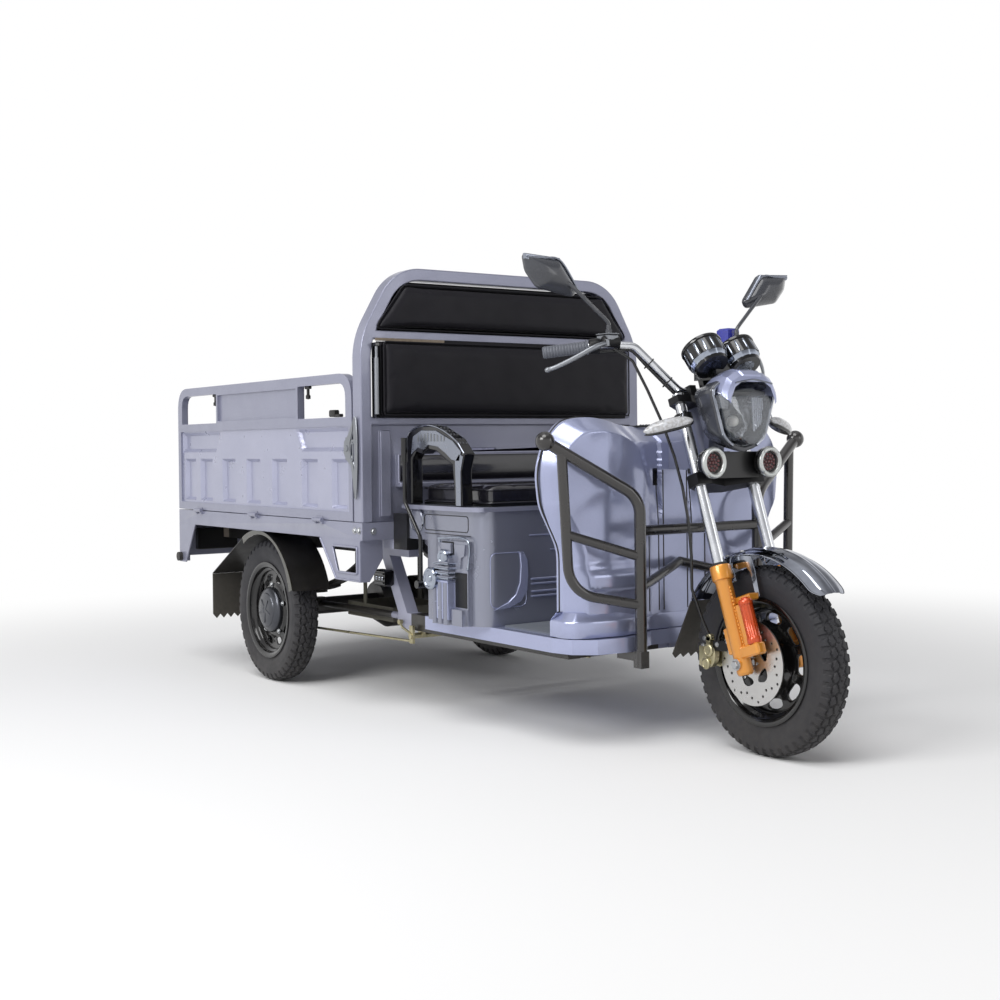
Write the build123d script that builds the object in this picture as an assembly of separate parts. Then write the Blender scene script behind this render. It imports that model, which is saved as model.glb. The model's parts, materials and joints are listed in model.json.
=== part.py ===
"""Electric cargo tricycle: one raked front fork, a bench seat and a drop-side load bed.

X points forward, Y to the rider's left and Z up, in millimetres. The sizes below count X from
the rear axle and Z from the ground; the written parts are moved so that the origin lies on the
ground under the middle of the machine's length.
"""
import math
import os

from build123d import *

# Wheels
WHEELBASE = 1951.0
TRACK = 936.0
TYRE_RADIUS = 248.0
TYRE_WIDTH = 95.0
TYRE_SHOULDER = 14.0
BEAD_RADIUS = 157.0
FLANGE_RADIUS = 168.0
RIM_WIDTH = 84.0
RIM_WALL = 5.0
HUB_CAP_RADIUS = 78.0
HUB_RADIUS = 30.0
RIM_WINDOWS = 10
AXLE_RADIUS = 8.0
STUB_RADIUS = 14.0
SEAT_GAP = 0.3
RUNNING_GAP = 0.05

# Load bed
BED_HALF = 550.0
BED_REAR = -690.0
BED_FRONT = 770.0
BED_BOTTOM = 529.0
BED_BEAM = 54.0
BEAM_WALL = 35.0
FLOOR_SHEET = 5.0
FLOOR_DROP = 2.0
SIDE_TOP = 1047.0
SIDE_THICKNESS = 25.0
PANEL_LIFT = 3.0
PANEL_GAP = 6.0
HINGE_OUT = 8.0
HINGE_PIN = 4.0
HINGE_KNUCKLE = 7.0
HINGE_LENGTH = 30.0
SIDE_HINGES = (-486.0, 0.0, 490.0)
TAIL_HINGES = (-350.0, 0.0, 350.0)

# Stampings of the drop sides: (start, length) of each rib along X
RIBS = ((-640.0, 105.0), (-493.0, 115.0), (-289.0, 115.0), (-80.0, 115.0), (128.0, 115.0),
        (352.0, 115.0), (562.0, 105.0))
RIB_Z = (624.0, 779.0)
MID_RAIL = (882.0, 910.0)
TOP_RAIL = 30.0
SIGN_X = (-325.0, 341.0)
UPRIGHT = 40.0
LAMP_Y = (145.0 - BED_HALF, BED_HALF - 145.0)
FLAP_X = -400.0
FENDER_TURN = 118.0

# Cab hoop and backrest
HOOP_TUBE = 38.0
HOOP_DEPTH = 54.0
HOOP_TOP = 1374.0
HOOP_KNEE = 1152.0
HOOP_SHOULDER = 424.0
HOOP_KNEE_BEND = 260.0
HOOP_SHOULDER_BEND = 160.0
CROSSBAR_LOW = (883.0, 908.0)
CROSSBAR_HIGH = (1148.0, 1175.0)
BOARD = 7.0
LOWER_CUSHION = (911.0, 1141.0)
LOWER_CUSHION_HALF = 488.0
LOWER_CUSHION_DEPTH = 34.0
UPPER_CUSHION_TOP = 1330.0
UPPER_CUSHION_DEPTH = 46.0

# Frame
RAIL_Y = BED_HALF - 190.0
RAIL_WIDTH = 40.0
RAIL_HEIGHT = 60.0
FLOOR_RAIL = (243.0, 293.0)
STRUT_TOP_X = 585.0
STRUT_FOOT_X = 723.0
DOWN_TUBE_X = WHEELBASE - 396.0
DOWN_TUBE = 50.0

# Floor pan and leg shield
PAN_REAR = 885.0
PAN_HALF = 400.0
PAN_BOTTOM = 258.0
PAN_TOP = 298.0
PAN_WALL = 5.0
MAT = 4.0
SHIELD_REAR = WHEELBASE - 431.0
SHIELD_FRONT = WHEELBASE - 331.0
SHIELD_WALL = 5.0
PEDAL_X = SHIELD_REAR - 20.0
PLINTH = 50.0
# Outline of the leg shield's left half from the front, as (y, z)
SHIELD_EDGE = [
    (372, PAN_TOP + 1), (371, 533), (400, 590), (432, 650), (444, 749), (412, 833), (367, 879),
    (310, 891), (250, 884), (178, 855), (60, 852),
]

# Seat
SEAT_REAR = 850.0
SEAT_FRONT = 1250.0
SEAT_HALF = 430.0
SEAT_TOP = 640.0
SEAT_WELL_REAR = 955.0
SEAT_WELL_TOP = 535.0
SEAT_WALL = 6.0
CUSHION_HALF = 392.0
CUSHION_FRONT = 1235.0
CUSHION_REAR = 862.0
CUSHION_THICKNESS = 52.0
SEAT_PAN = 6.0
SEAT_HINGE = (856.0, 644.5)
SEAT_KNUCKLE = 3.8
SEAT_PIN = 1.8
SEAT_HINGE_Y = 250.0
SEAT_HINGE_HALF = 28.0
ARMREST_OUT = SEAT_HALF + 10.0
ARMREST_WIDTH = 40.0

# Bull bar
BAR_RADIUS = 16.0
POST = (WHEELBASE - 263.0, 217.0)
BALL = (WHEELBASE - 350.0, 464.0, 825.0)
BALL_RADIUS = 26.0

# Fork, in a frame that leans back with the legs from the front axle
RAKE = 19.0
FORK_HALF = 97.0
TUBE_RADIUS = 16.0
SLIDER_RADIUS = 22.0
SLIDER_TOP = 262.0
STEM_BACK = 40.0
STEM_RADIUS = 17.0
HEAD_RADIUS = 30.0
YOKE_LOW = (480.0, 512.0)
YOKE_HIGH = (712.0, 732.0)
BAR_CENTRE = (-25.0, 757.0)
HANDLE_RADIUS = 11.0
GRIP_RADIUS = 17.0
DISC_RADIUS = 111.0
DISC_Y = 66.0
FENDER_CROWN = 296.0
FENDER_EDGE = 282.0
FENDER_HALF = 62.0
FRONT_FENDER_END = 153.0
FRONT_FENDER_ARC = 116.0
SHEET = 2.5

# Lamps and controls, with X from the front axle; the lamp's face is (y, z)
LAMP_FACE = [(0, 994), (88, 980), (120, 958), (100, 896), (80, 832), (46, 802), (0, 790)]
LAMP_X = WHEELBASE - 101.0
SPOT_X = WHEELBASE - 129.0
SPOT_Y = 102.0
SPOT_Z = 764.0
SPOT_RADIUS = 42.0
BAR_ROUTE = [(WHEELBASE - 336, 170, 1082), (WHEELBASE - 379, 240, 1086), (WHEELBASE - 468, 378, 1066)]

REAR_AXLE = (0.0, 0.0, TYRE_RADIUS)
FRONT_AXLE = (WHEELBASE, 0.0, TYRE_RADIUS)
HINGE_Z = BED_BOTTOM + BED_BEAM + PANEL_LIFT / 2
PANEL_BOTTOM = BED_BOTTOM + BED_BEAM + PANEL_LIFT
BED_FLOOR = BED_BOTTOM + BED_BEAM
HOOP_REAR = BED_FRONT - HOOP_DEPTH
PANEL_FRONT = HOOP_REAR - PANEL_GAP
FRONT_END = WHEELBASE + TYRE_RADIUS
REAR_END = BED_REAR - HINGE_OUT - HINGE_KNUCKLE
MID_X = (FRONT_END + REAR_END) / 2

FORK = Plane(
    origin=FRONT_AXLE,
    x_dir=(math.cos(math.radians(RAKE)), 0, math.sin(math.radians(RAKE))),
    z_dir=(-math.sin(math.radians(RAKE)), 0, math.cos(math.radians(RAKE))),
)


def block(x, y, z):
    """Box from its low and high values along each axis."""
    centre = Pos((x[0] + x[1]) / 2, (y[0] + y[1]) / 2, (z[0] + z[1]) / 2)
    return centre * Box(x[1] - x[0], y[1] - y[0], z[1] - z[0])


def rod(start, end, radius):
    """Round bar from one point to another."""
    along = Vector(*end) - Vector(*start)
    return extrude(Plane(origin=start, z_dir=along) * Circle(radius), along.length)


def bent(points, radius, bends):
    """Round bar along straight runs joined by arcs."""
    path = FilletPolyline(*points, radius=bends)
    return sweep(Plane(origin=path @ 0, z_dir=path % 0) * Circle(radius), path)


def across(y, radius, x, z):
    """Round bar along Y from low to high y, centred at x and z."""
    return rod((x, y[0], z), (x, y[1], z), radius)


def prism_y(points, y):
    """Polygon of (x, z) points carried along Y."""
    face = Plane.XZ * Polygon(*points, align=None)
    return extrude(face, y[1] - y[0], dir=(0, 1, 0)).moved(Pos(0, y[0], 0))


def prism_x(points, x, bends=()):
    """Polygon of (y, z) points carried along X, with rounded corners as (point index, radius)."""
    face = Polygon(*points, align=None)
    for index, radius in bends:
        corner = face.vertices().sort_by_distance(Vector(*points[index], 0))[0]
        face = fillet(corner, radius)
    return extrude(Plane.YZ * face, x[1] - x[0], dir=(1, 0, 0)).moved(Pos(x[0], 0, 0))


def prism_z(points, z, bends=()):
    """Polygon of (x, y) points carried up Z, with rounded corners as (point index, radius)."""
    face = Polygon(*points, align=None)
    for index, radius in bends:
        corner = face.vertices().sort_by_distance(Vector(*points[index], 0))[0]
        face = fillet(corner, radius)
    return extrude(face, z[1] - z[0], dir=(0, 0, 1)).moved(Pos(0, 0, z[0]))


def turned(profile, centre):
    """Ring about the Y axis through a centre, from (radius, y) points."""
    face = Plane.XY * Polygon(*profile, align=None)
    return Pos(*centre) * revolve(face, Axis.Y)


def other_side(shape):
    """The same piece on the other side of the machine."""
    return mirror(shape, about=Plane.XZ)


def both(shape):
    """A piece and its mirror image, as separate solids."""
    return [shape, other_side(shape)]


def fused_both(shape):
    """A piece joined with its mirror image."""
    return shape + other_side(shape)


def write(name, *shapes):
    """Write one sub-part, moved to the machine's origin."""
    solids = [Pos(-MID_X, 0, 0) * solid for shape in shapes for solid in shape.solids()]
    part = solids[0] if len(solids) == 1 else Compound(children=solids)
    export_step(part, f"parts/{name}.step")


# Wheels and tyres


def tyre(centre):
    """Tyre with a rounded tread shoulder, seated on the rim's bead."""
    half = TYRE_WIDTH / 2
    inner = BEAD_RADIUS + SEAT_GAP
    bead = RIM_WIDTH / 2 - RIM_WALL - SEAT_GAP
    side = (inner + TYRE_RADIUS) / 2 + 8
    profile = [
        (inner, -bead), (FLANGE_RADIUS + SEAT_GAP, -bead), (side, -half),
        (TYRE_RADIUS - TYRE_SHOULDER, -half + 4),
        (TYRE_RADIUS - 4, -half + 17), (TYRE_RADIUS, 0), (TYRE_RADIUS - 4, half - 17),
        (TYRE_RADIUS - TYRE_SHOULDER, half - 4), (side, half), (FLANGE_RADIUS + SEAT_GAP, bead),
        (inner, bead),
    ]
    return turned(profile, centre)


def rim_barrel():
    """Barrel and side flanges of a pressed steel rim, as one (radius, y) outline."""
    half = RIM_WIDTH / 2
    return [
        (BEAD_RADIUS - RIM_WALL, -half), (FLANGE_RADIUS, -half), (FLANGE_RADIUS, -half + RIM_WALL),
        (BEAD_RADIUS, -half + RIM_WALL), (BEAD_RADIUS, half - RIM_WALL),
        (FLANGE_RADIUS, half - RIM_WALL), (FLANGE_RADIUS, half), (BEAD_RADIUS - RIM_WALL, half),
    ]


def windows(centre, radius, y):
    """Oval openings round a rim's dish."""
    slot = Plane.XZ * SlotCenterToCenter(18, 18, rotation=90)
    cutter = extrude(slot, 30, both=True).moved(Pos(radius, 0, 0))
    ring = [Rot(0, 360 / RIM_WINDOWS * step, 0) * cutter for step in range(RIM_WINDOWS)]
    return [Pos(centre[0], centre[1] + y, centre[2]) * piece for piece in ring]


def rear_rim(side):
    """Rim, dish, drum and domed hub cap of a rear wheel; side is -1 for the right."""
    centre = (0, side * TRACK / 2, TYRE_RADIUS)
    barrel = turned(rim_barrel(), centre)
    inner = BEAD_RADIUS - RIM_WALL
    dish = [(inner + 1, 6), (HUB_CAP_RADIUS - 4, 16), (HUB_CAP_RADIUS - 4, 22), (inner + 1, 12)]
    cap = [
        (STUB_RADIUS + RUNNING_GAP, -56), (90, -56), (90, -18), (HUB_CAP_RADIUS - 4, -18),
        (HUB_CAP_RADIUS - 4, 16), (HUB_CAP_RADIUS, 18), (HUB_CAP_RADIUS - 3, 34),
        (HUB_CAP_RADIUS - 20, 44), (34, 50), (0, 51), (0, 34), (STUB_RADIUS + RUNNING_GAP, 34),
    ]
    dish = [(radius, side * y) for radius, y in dish]
    cap = [(radius, side * y) for radius, y in cap]
    rim = barrel + turned(dish, centre) + turned(cap, centre)
    for cutter in windows(centre, 116, side * 12):
        rim -= cutter
    return rim


def front_rim():
    """Rim, dish and hub of the front wheel."""
    inner = BEAD_RADIUS - RIM_WALL
    dish = [(HUB_RADIUS, -9), (inner + 1, -3), (inner + 1, 3), (HUB_RADIUS, 9)]
    hub = [
        (AXLE_RADIUS + RUNNING_GAP, -60), (HUB_RADIUS - 6, -60), (HUB_RADIUS + 6, -20),
        (HUB_RADIUS + 6, 20), (HUB_RADIUS - 6, 60), (AXLE_RADIUS + RUNNING_GAP, 60),
    ]
    rim = turned(rim_barrel(), FRONT_AXLE) + turned(dish, FRONT_AXLE) + turned(hub, FRONT_AXLE)
    for cutter in windows(FRONT_AXLE, 116, 0):
        rim -= cutter
    return rim


def brake_disc():
    """Brake disc bolted to the right end of the front hub, with spider openings."""
    disc = across((-DISC_Y - 2, -60), DISC_RADIUS, WHEELBASE, TYRE_RADIUS)
    disc -= across((-DISC_Y + 2, -50), DISC_RADIUS + 1, WHEELBASE, TYRE_RADIUS)
    disc += across((-DISC_Y, -60 - SEAT_GAP), HUB_RADIUS - 8, WHEELBASE, TYRE_RADIUS)
    disc -= across((-90, -50), AXLE_RADIUS + 3, WHEELBASE, TYRE_RADIUS)
    for step in range(5):
        angle = math.radians(72 * step + 36)
        hole = (WHEELBASE + 55 * math.cos(angle), TYRE_RADIUS + 55 * math.sin(angle))
        disc -= across((-90, -50), 20, *hole)
    return disc


# Load bed


def cargo_floor():
    """Edge beams round the load bed, floor sheet, and the fixed halves of the drop-side hinges."""
    outer = block((BED_REAR, BED_FRONT), (-BED_HALF, BED_HALF), (BED_BOTTOM, BED_FLOOR))
    inset = BED_HALF - BEAM_WALL
    inner = block((BED_REAR + BEAM_WALL, BED_FRONT - BEAM_WALL), (-inset, inset),
                  (BED_BOTTOM - 1, BED_FLOOR - FLOOR_SHEET))
    floor = outer - inner
    edge = BED_HALF - SIDE_THICKNESS - 5
    floor -= block((BED_REAR + SIDE_THICKNESS + 5, HOOP_REAR - 4), (-edge, edge),
                   (BED_FLOOR - FLOOR_DROP, BED_FLOOR + 1))
    for x in SIDE_HINGES:
        knuckles = fixed_knuckles()
        right = Pos(x, -BED_HALF - HINGE_OUT, HINGE_Z) * knuckles
        floor += fused_both(right)
    for y in TAIL_HINGES:
        floor += Pos(BED_REAR - HINGE_OUT, y, HINGE_Z) * Rot(0, 0, -90) * fixed_knuckles()
    return floor


def fixed_knuckles():
    """Pin and two outer knuckles of a hinge, about the local X axis, reaching towards +Y."""
    half = HINGE_LENGTH / 2
    pin = rod((-half - 1, 0, 0), (half + 1, 0, 0), HINGE_PIN)
    for side in (-1, 1):
        inner, outer = side * (half + 0.5), side * (half + 15)
        pin += rod((inner, 0, 0), (outer, 0, 0), HINGE_KNUCKLE)
        pin += block(sorted((inner, outer)), (0, HINGE_OUT), (-HINGE_KNUCKLE - 6, -2))
    return pin


def moving_knuckle():
    """Middle knuckle of a hinge with its leaf, about the local X axis."""
    half = HINGE_LENGTH / 2
    knuckle = rod((-half, 0, 0), (half, 0, 0), HINGE_KNUCKLE)
    knuckle += block((-half, half), (0, HINGE_OUT), (2, HINGE_KNUCKLE + 12))
    return knuckle - rod((-half - 1, 0, 0), (half + 1, 0, 0), HINGE_PIN + RUNNING_GAP)


def side_panel():
    """Right drop side: stamped sheet, mid rail, guard rail with its plain centre panel."""
    outside, inside = -BED_HALF, -BED_HALF + SIDE_THICKNESS
    front, rear = PANEL_FRONT, BED_REAR
    outline = [(rear, PANEL_BOTTOM), (rear, SIDE_TOP), (front, SIDE_TOP), (front, PANEL_BOTTOM)]
    face = Polygon(*outline, align=None)
    face = fillet(face.vertices().filter_by(lambda v: v.Y > SIDE_TOP - 1), 85)
    panel = extrude(Plane.XZ * face, SIDE_THICKNESS, dir=(0, 1, 0)).moved(Pos(0, outside, 0))
    gap = (MID_RAIL[1], SIDE_TOP - TOP_RAIL)
    for x in ((rear + UPRIGHT, SIGN_X[0]), (SIGN_X[1], front - UPRIGHT)):
        corners = [(x[0], gap[0]), (x[0], gap[1]), (x[1], gap[1]), (x[1], gap[0])]
        hole = Polygon(*corners, align=None)
        end = x[0] if x[0] < 0 else x[1]
        hole = fillet(hole.vertices().filter_by(
            lambda v, end=end: v.Y > gap[1] - 1 and abs(v.X - end) < 1), 50)
        panel -= extrude(Plane.XZ * hole, 60, dir=(0, 1, 0)).moved(Pos(0, outside - 20, 0))
    sheet_z = (PANEL_BOTTOM + 28, MID_RAIL[0])
    panel -= block((rear + 22, front - 22), (inside - 15, inside + 1), sheet_z)
    panel -= block((SIGN_X[0] + UPRIGHT, SIGN_X[1] - UPRIGHT), (inside - 18, inside + 1), gap)
    for x, width in RIBS:
        panel -= block((x, x + width), (outside - 1, outside + 5), RIB_Z)
    for points in (
        [(rear + 30, 803), (rear + 30, 878), (-300, 878), (-345, 803)],
        [(front - 30, 803), (front - 30, 878), (315, 878), (360, 803)],
    ):
        panel -= prism_y(points, (outside - 1, outside + 5))
    for x in SIDE_HINGES:
        panel += Pos(x, outside - HINGE_OUT, HINGE_Z) * moving_knuckle()
    panel += block((front - 13, front - 1), (outside - 3, outside), (650, 905))
    return panel


def tailgate():
    """Tailgate between the drop sides, with the same stamped sheet."""
    half = BED_HALF - SIDE_THICKNESS - PANEL_GAP
    rear, front = BED_REAR, BED_REAR + SIDE_THICKNESS
    corners = [(-half, PANEL_BOTTOM), (-half, MID_RAIL[1]), (half, MID_RAIL[1]), (half, PANEL_BOTTOM)]
    gate = prism_x(corners, (rear, front), ((1, 20), (2, 20)))
    gate -= block((front - 15, front + 1), (-half + 22, half - 22), (PANEL_BOTTOM + 28, MID_RAIL[0]))
    pitch = 2 * (half - 30) / 5
    for step in range(5):
        low = -half + 30 + pitch * step + pitch * 0.22
        gate -= block((rear - 1, rear + 5), (low, low + pitch * 0.56), RIB_Z)
    for y in TAIL_HINGES:
        gate += Pos(rear - HINGE_OUT, y, HINGE_Z) * Rot(0, 0, -90) * moving_knuckle()
    return gate


def hoop_face(extra):
    """Outline of the cab hoop in Y and Z, its legs longer by extra."""
    foot = BED_FLOOR - extra
    corners = [
        (BED_HALF, foot), (BED_HALF, HOOP_KNEE), (HOOP_SHOULDER, HOOP_TOP),
        (-HOOP_SHOULDER, HOOP_TOP), (-BED_HALF, HOOP_KNEE), (-BED_HALF, foot),
    ]
    face = Polygon(*corners, align=None)
    face = fillet(face.vertices().filter_by(lambda v: abs(v.Y - HOOP_KNEE) < 1), HOOP_KNEE_BEND)
    return fillet(face.vertices().filter_by(lambda v: v.Y > HOOP_TOP - 1), HOOP_SHOULDER_BEND)


def inner_hoop(clearance):
    """Space inside the hoop, less a clearance."""
    return offset(hoop_face(200), -HOOP_TUBE - clearance)


def cab_hoop():
    """Box-section hoop behind the seat with its two crossbars."""
    ring = extrude(Plane.YZ * hoop_face(200), HOOP_DEPTH, dir=(1, 0, 0))
    ring -= extrude(Plane.YZ * inner_hoop(0), HOOP_DEPTH, dir=(1, 0, 0))
    ring = ring.moved(Pos(HOOP_REAR, 0, 0))
    ring &= block((HOOP_REAR - 1, BED_FRONT + 1), (-600, 600), (BED_FLOOR, HOOP_TOP + 1))
    inside = BED_HALF - HOOP_TUBE
    for low, high in (CROSSBAR_LOW, CROSSBAR_HIGH):
        reach = inside + 4
        ring += block((HOOP_REAR + 14, BED_FRONT), (-reach, reach), (low, high))
    return ring


def headboard():
    """Front wall of the load bed, with ribs, four vent slots and a band over a ledge behind the seat."""
    half = BED_HALF - HOOP_TUBE
    wall = block((BED_FRONT - 30, BED_FRONT - 18), (-half, half), (BED_FLOOR, CROSSBAR_LOW[0]))
    for side in (-1, 1):
        centre = side * (half - 52)
        wall += block((BED_FRONT - 18, BED_FRONT - 8), (centre - 18, centre + 18), (600, 866))
    for y in (-300, -100, 100, 300):
        wall -= block((BED_FRONT - 40, BED_FRONT), (y - 60, y + 60), (800, 808))
    band = half - 92
    wall += block((BED_FRONT - 19, BED_FRONT), (-band, band), (704, 792))
    return wall + block((BED_FRONT - 19, BED_FRONT + 14), (-band, band), (690, 704))


def backrest_boards():
    """Plywood boards that carry the two backrest cushions."""
    height = (CROSSBAR_LOW[1] - 4, CROSSBAR_HIGH[1] - 24)
    lower = block((BED_FRONT, BED_FRONT + BOARD), (-LOWER_CUSHION_HALF - 8, LOWER_CUSHION_HALF), height)
    upper = upper_back(0, (BED_FRONT - HOOP_DEPTH + 14, BOARD))
    return [lower, upper]


def upper_back(inset, place):
    """Trapezoid of the upper backrest that follows the hoop, from x over a depth."""
    start, depth = place
    face = inner_hoop(SEAT_GAP + inset)
    body = extrude(Plane.YZ * face, depth, dir=(1, 0, 0)).moved(Pos(start, 0, 0))
    return body & block((start, start + depth), (-600, 600), (CROSSBAR_HIGH[1] + SEAT_GAP, HOOP_TOP))


def backrest_upper():
    """Upper backrest cushion, in the hoop above the high crossbar."""
    start = BED_FRONT - HOOP_DEPTH + 14 + BOARD
    body = upper_back(4, (start + SEAT_GAP, UPPER_CUSHION_DEPTH))
    return fillet(body.edges().filter_by(lambda e: e.center().X > start + UPPER_CUSHION_DEPTH - 1), 10)


def backrest_lower():
    """Lower backrest cushion, proud of the hoop."""
    start = BED_FRONT + BOARD + SEAT_GAP
    half = LOWER_CUSHION_HALF
    body = block((start, start + LOWER_CUSHION_DEPTH), (-half, half), LOWER_CUSHION)
    return fillet(body.faces().sort_by(Axis.X)[-1].edges(), 12)


def bed_brackets():
    """Boxed brackets under the front corners of the bed, and the rear corner brackets."""
    wall = 5.0
    front_points = [(489, BED_BOTTOM), (BED_FRONT - 13, BED_BOTTOM), (BED_FRONT - 13, 400), (595, 400)]
    plate = prism_y(front_points, (-BED_HALF, -BED_HALF + wall))
    plate -= prism_y([(577, 505), (734, 505), (734, 427), (612, 427)], (-BED_HALF - 5, -BED_HALF + 10))
    lip = prism_x([(-BED_HALF, BED_BOTTOM), (-BED_HALF + 78, BED_BOTTOM), (-BED_HALF + 78, 470),
                   (-BED_HALF + 31, 400), (-BED_HALF, 400)],
                  (BED_FRONT - 13 - wall, BED_FRONT - 13))
    foot = block((595, BED_FRONT - 13), (-BED_HALF, -BED_HALF + 31), (400, 405))
    rear_points = [(-691, BED_BOTTOM), (-537, BED_BOTTOM), (-631, 381), (-691, 381)]
    ear = prism_y(rear_points, (-BED_HALF, -BED_HALF + wall))
    back = block((BED_REAR, BED_REAR + wall), (-BED_HALF, -BED_HALF + 40), (381, BED_BOTTOM))
    return fused_both(plate + lip + foot), fused_both(ear + back)


def rear_plate():
    """Plate across the rear of the frame, with a seat for each tail lamp."""
    plate = block((BED_REAR, BED_REAR + 4), (-BED_HALF + 40, BED_HALF - 40), (402, BED_BOTTOM))
    for y in LAMP_Y:
        plate -= block((BED_REAR - 5, BED_REAR + 10), (y - 75, y + 75), (430, 500))
    return plate


def tail_lamps():
    """Tail lamps in the rear plate."""
    lamps = []
    for y in LAMP_Y:
        body = block((BED_REAR - 6, BED_REAR + 30), (y - 74.7, y + 74.7), (430.3, 499.7))
        body += block((BED_REAR + 4.3, BED_REAR + 30), (y - 82, y + 82), (424, 506))
        lamps.append(body)
    return lamps


def buffers():
    """Rubber buffers on the rear corner brackets."""
    ball = across((-BED_HALF - 14, -BED_HALF - SEAT_GAP), 17, -674, 401)
    return both(ball)


# Frame and running gear


def main_frame():
    """Welded frame: bed rails, cross members, struts, floor rails, down tube and head tube."""
    half = RAIL_WIDTH / 2
    rail_z = (BED_BOTTOM - RAIL_HEIGHT, BED_BOTTOM)
    side = (-RAIL_Y - half, -RAIL_Y + half)
    rail = block((BED_REAR + 30, BED_FRONT - 10), side, rail_z)
    low = FLOOR_RAIL
    strut = prism_y([(STRUT_TOP_X, rail_z[0] + 4), (STRUT_TOP_X + 52, rail_z[0] + 4),
                     (STRUT_FOOT_X + 52, low[0]), (STRUT_FOOT_X - 4, low[0])], side)
    floor_rail = block((STRUT_FOOT_X, DOWN_TUBE_X + DOWN_TUBE / 2), side, low)
    beam_y = (-BED_HALF + 110, -BED_HALF + 150)
    beam = block((BED_FRONT + SEAT_GAP, SEAT_REAR - SEAT_GAP), beam_y, (BED_BOTTOM - 30, 610))
    beam += block((BED_FRONT - 60, BED_FRONT + 20), (beam_y[0], side[1]), (BED_BOTTOM - 30, BED_BOTTOM))
    frame = fused_both(rail + strut + floor_rail + beam)
    reach = BED_HALF - BEAM_WALL
    for x in (-560.0, -300.0, 0.0, 330.0, 560.0, BED_FRONT - 70):
        frame += block((x - 20, x + 20), (-reach, reach), (BED_BOTTOM, BED_FLOOR - FLOOR_SHEET))
    for x in (STRUT_FOOT_X + 40, 1000.0, 1300.0, DOWN_TUBE_X):
        frame += block((x - 20, x + 20), (-RAIL_Y, RAIL_Y), (low[0], low[1] - 5))
    tube = DOWN_TUBE / 2
    frame += block((DOWN_TUBE_X - tube, DOWN_TUBE_X + tube), (-tube, tube), (low[0], 812))
    axis_x = WHEELBASE - STEM_BACK / math.cos(math.radians(RAKE))
    lean = math.tan(math.radians(RAKE))
    neck = [(DOWN_TUBE_X, 745), (axis_x - (730 - TYRE_RADIUS) * lean, 740),
            (axis_x - (820 - TYRE_RADIUS) * lean, 830), (DOWN_TUBE_X, 812)]
    frame += prism_y(neck, (-22, 22))
    stem_z = (YOKE_LOW[1] + SEAT_GAP, YOKE_HIGH[0] - SEAT_GAP)
    frame += FORK * Pos(-STEM_BACK, 0, stem_z[0]) * extrude(Circle(HEAD_RADIUS), stem_z[1] - stem_z[0])
    bore = Pos(-STEM_BACK, 0, stem_z[0] - 5) * extrude(Circle(STEM_RADIUS + RUNNING_GAP), 240)
    return frame - FORK * bore


def rear_axle():
    """Axle housing with the drive motor and gear case in its middle, and stubs for the wheels."""
    inner = TRACK / 2 - 76
    axle = across((-inner, inner), 30, 0, TYRE_RADIUS)
    axle += across((-inner - 60, inner + 60), STUB_RADIUS, 0, TYRE_RADIUS)
    axle += across((-TRACK / 2 - 30, TRACK / 2 + 30), STUB_RADIUS, 0, TYRE_RADIUS)
    for side in (-1, 1):
        axle += across(sorted((side * (inner - 6), side * inner)), 92, 0, TYRE_RADIUS)
        seat = sorted((side * (RAIL_Y - 25), side * (RAIL_Y + 25)))
        axle += block((-35, 35), seat, (TYRE_RADIUS + 20, TYRE_RADIUS + 52))
    axle += turned([(0, -75), (70, -75), (98, -30), (98, 30), (70, 75), (0, 75)], REAR_AXLE)
    axle += across((60, 250), 78, 92, TYRE_RADIUS)
    axle += across((40, 75), 92, 70, TYRE_RADIUS)
    return axle


def leaf_spring():
    """Right leaf spring: four leaves on the axle, the longest ending in eyes under hangers."""
    base, leaf = TYRE_RADIUS + 52, 7.0
    half, rise = 430.0, 110.0
    radius = (half * half + rise * rise) / (2 * rise)
    bottom = base + 3 * leaf
    centre_z = bottom + radius
    side = (-RAIL_Y - 22, -RAIL_Y + 22)
    spring = None
    for step, reach in enumerate((half, 330.0, 230.0, 130.0)):
        outer, inner = radius + step * leaf, radius - leaf + step * leaf
        band = Pos(0, centre_z) * (Circle(outer) - Circle(inner))
        band &= Pos(0, centre_z - radius) * Rectangle(2 * reach, 2 * radius)
        piece = extrude(Plane.XZ * band, side[1] - side[0], dir=(0, 1, 0)).moved(Pos(0, side[0], 0))
        piece &= block((-reach, reach), side, (base - 1, BED_BOTTOM - RAIL_HEIGHT - 1))
        spring = piece if spring is None else spring + piece
    top = BED_BOTTOM - RAIL_HEIGHT - SEAT_GAP
    for x in (-half, half):
        spring += block((x - 16, x + 16), side, (bottom + rise - 24, top))
    return spring + block((-24, 24), (side[0] - 4, side[1] + 4), (base + SEAT_GAP, base + 4 * leaf + 10))


def torque_arm():
    """Right torque arm from the axle housing to the foot of the strut, with its yoke."""
    y = -RAIL_Y + RAIL_WIDTH / 2 + 20
    arm = rod((33, y, TYRE_RADIUS + 14), (640, y, 268), 11)
    arm += block((22 + SEAT_GAP, 50), (y - 14, y + 14), (TYRE_RADIUS - 14, TYRE_RADIUS + 36))
    arm -= across((y - 20, y + 20), 30 + SEAT_GAP, 0, TYRE_RADIUS)
    arm += block((610, 660), (y - 15, y + 15), (254, 282))
    arm += block((650, STRUT_FOOT_X + 20), (y - 15, y - 15 + 29), (254, 262))
    return arm


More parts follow.
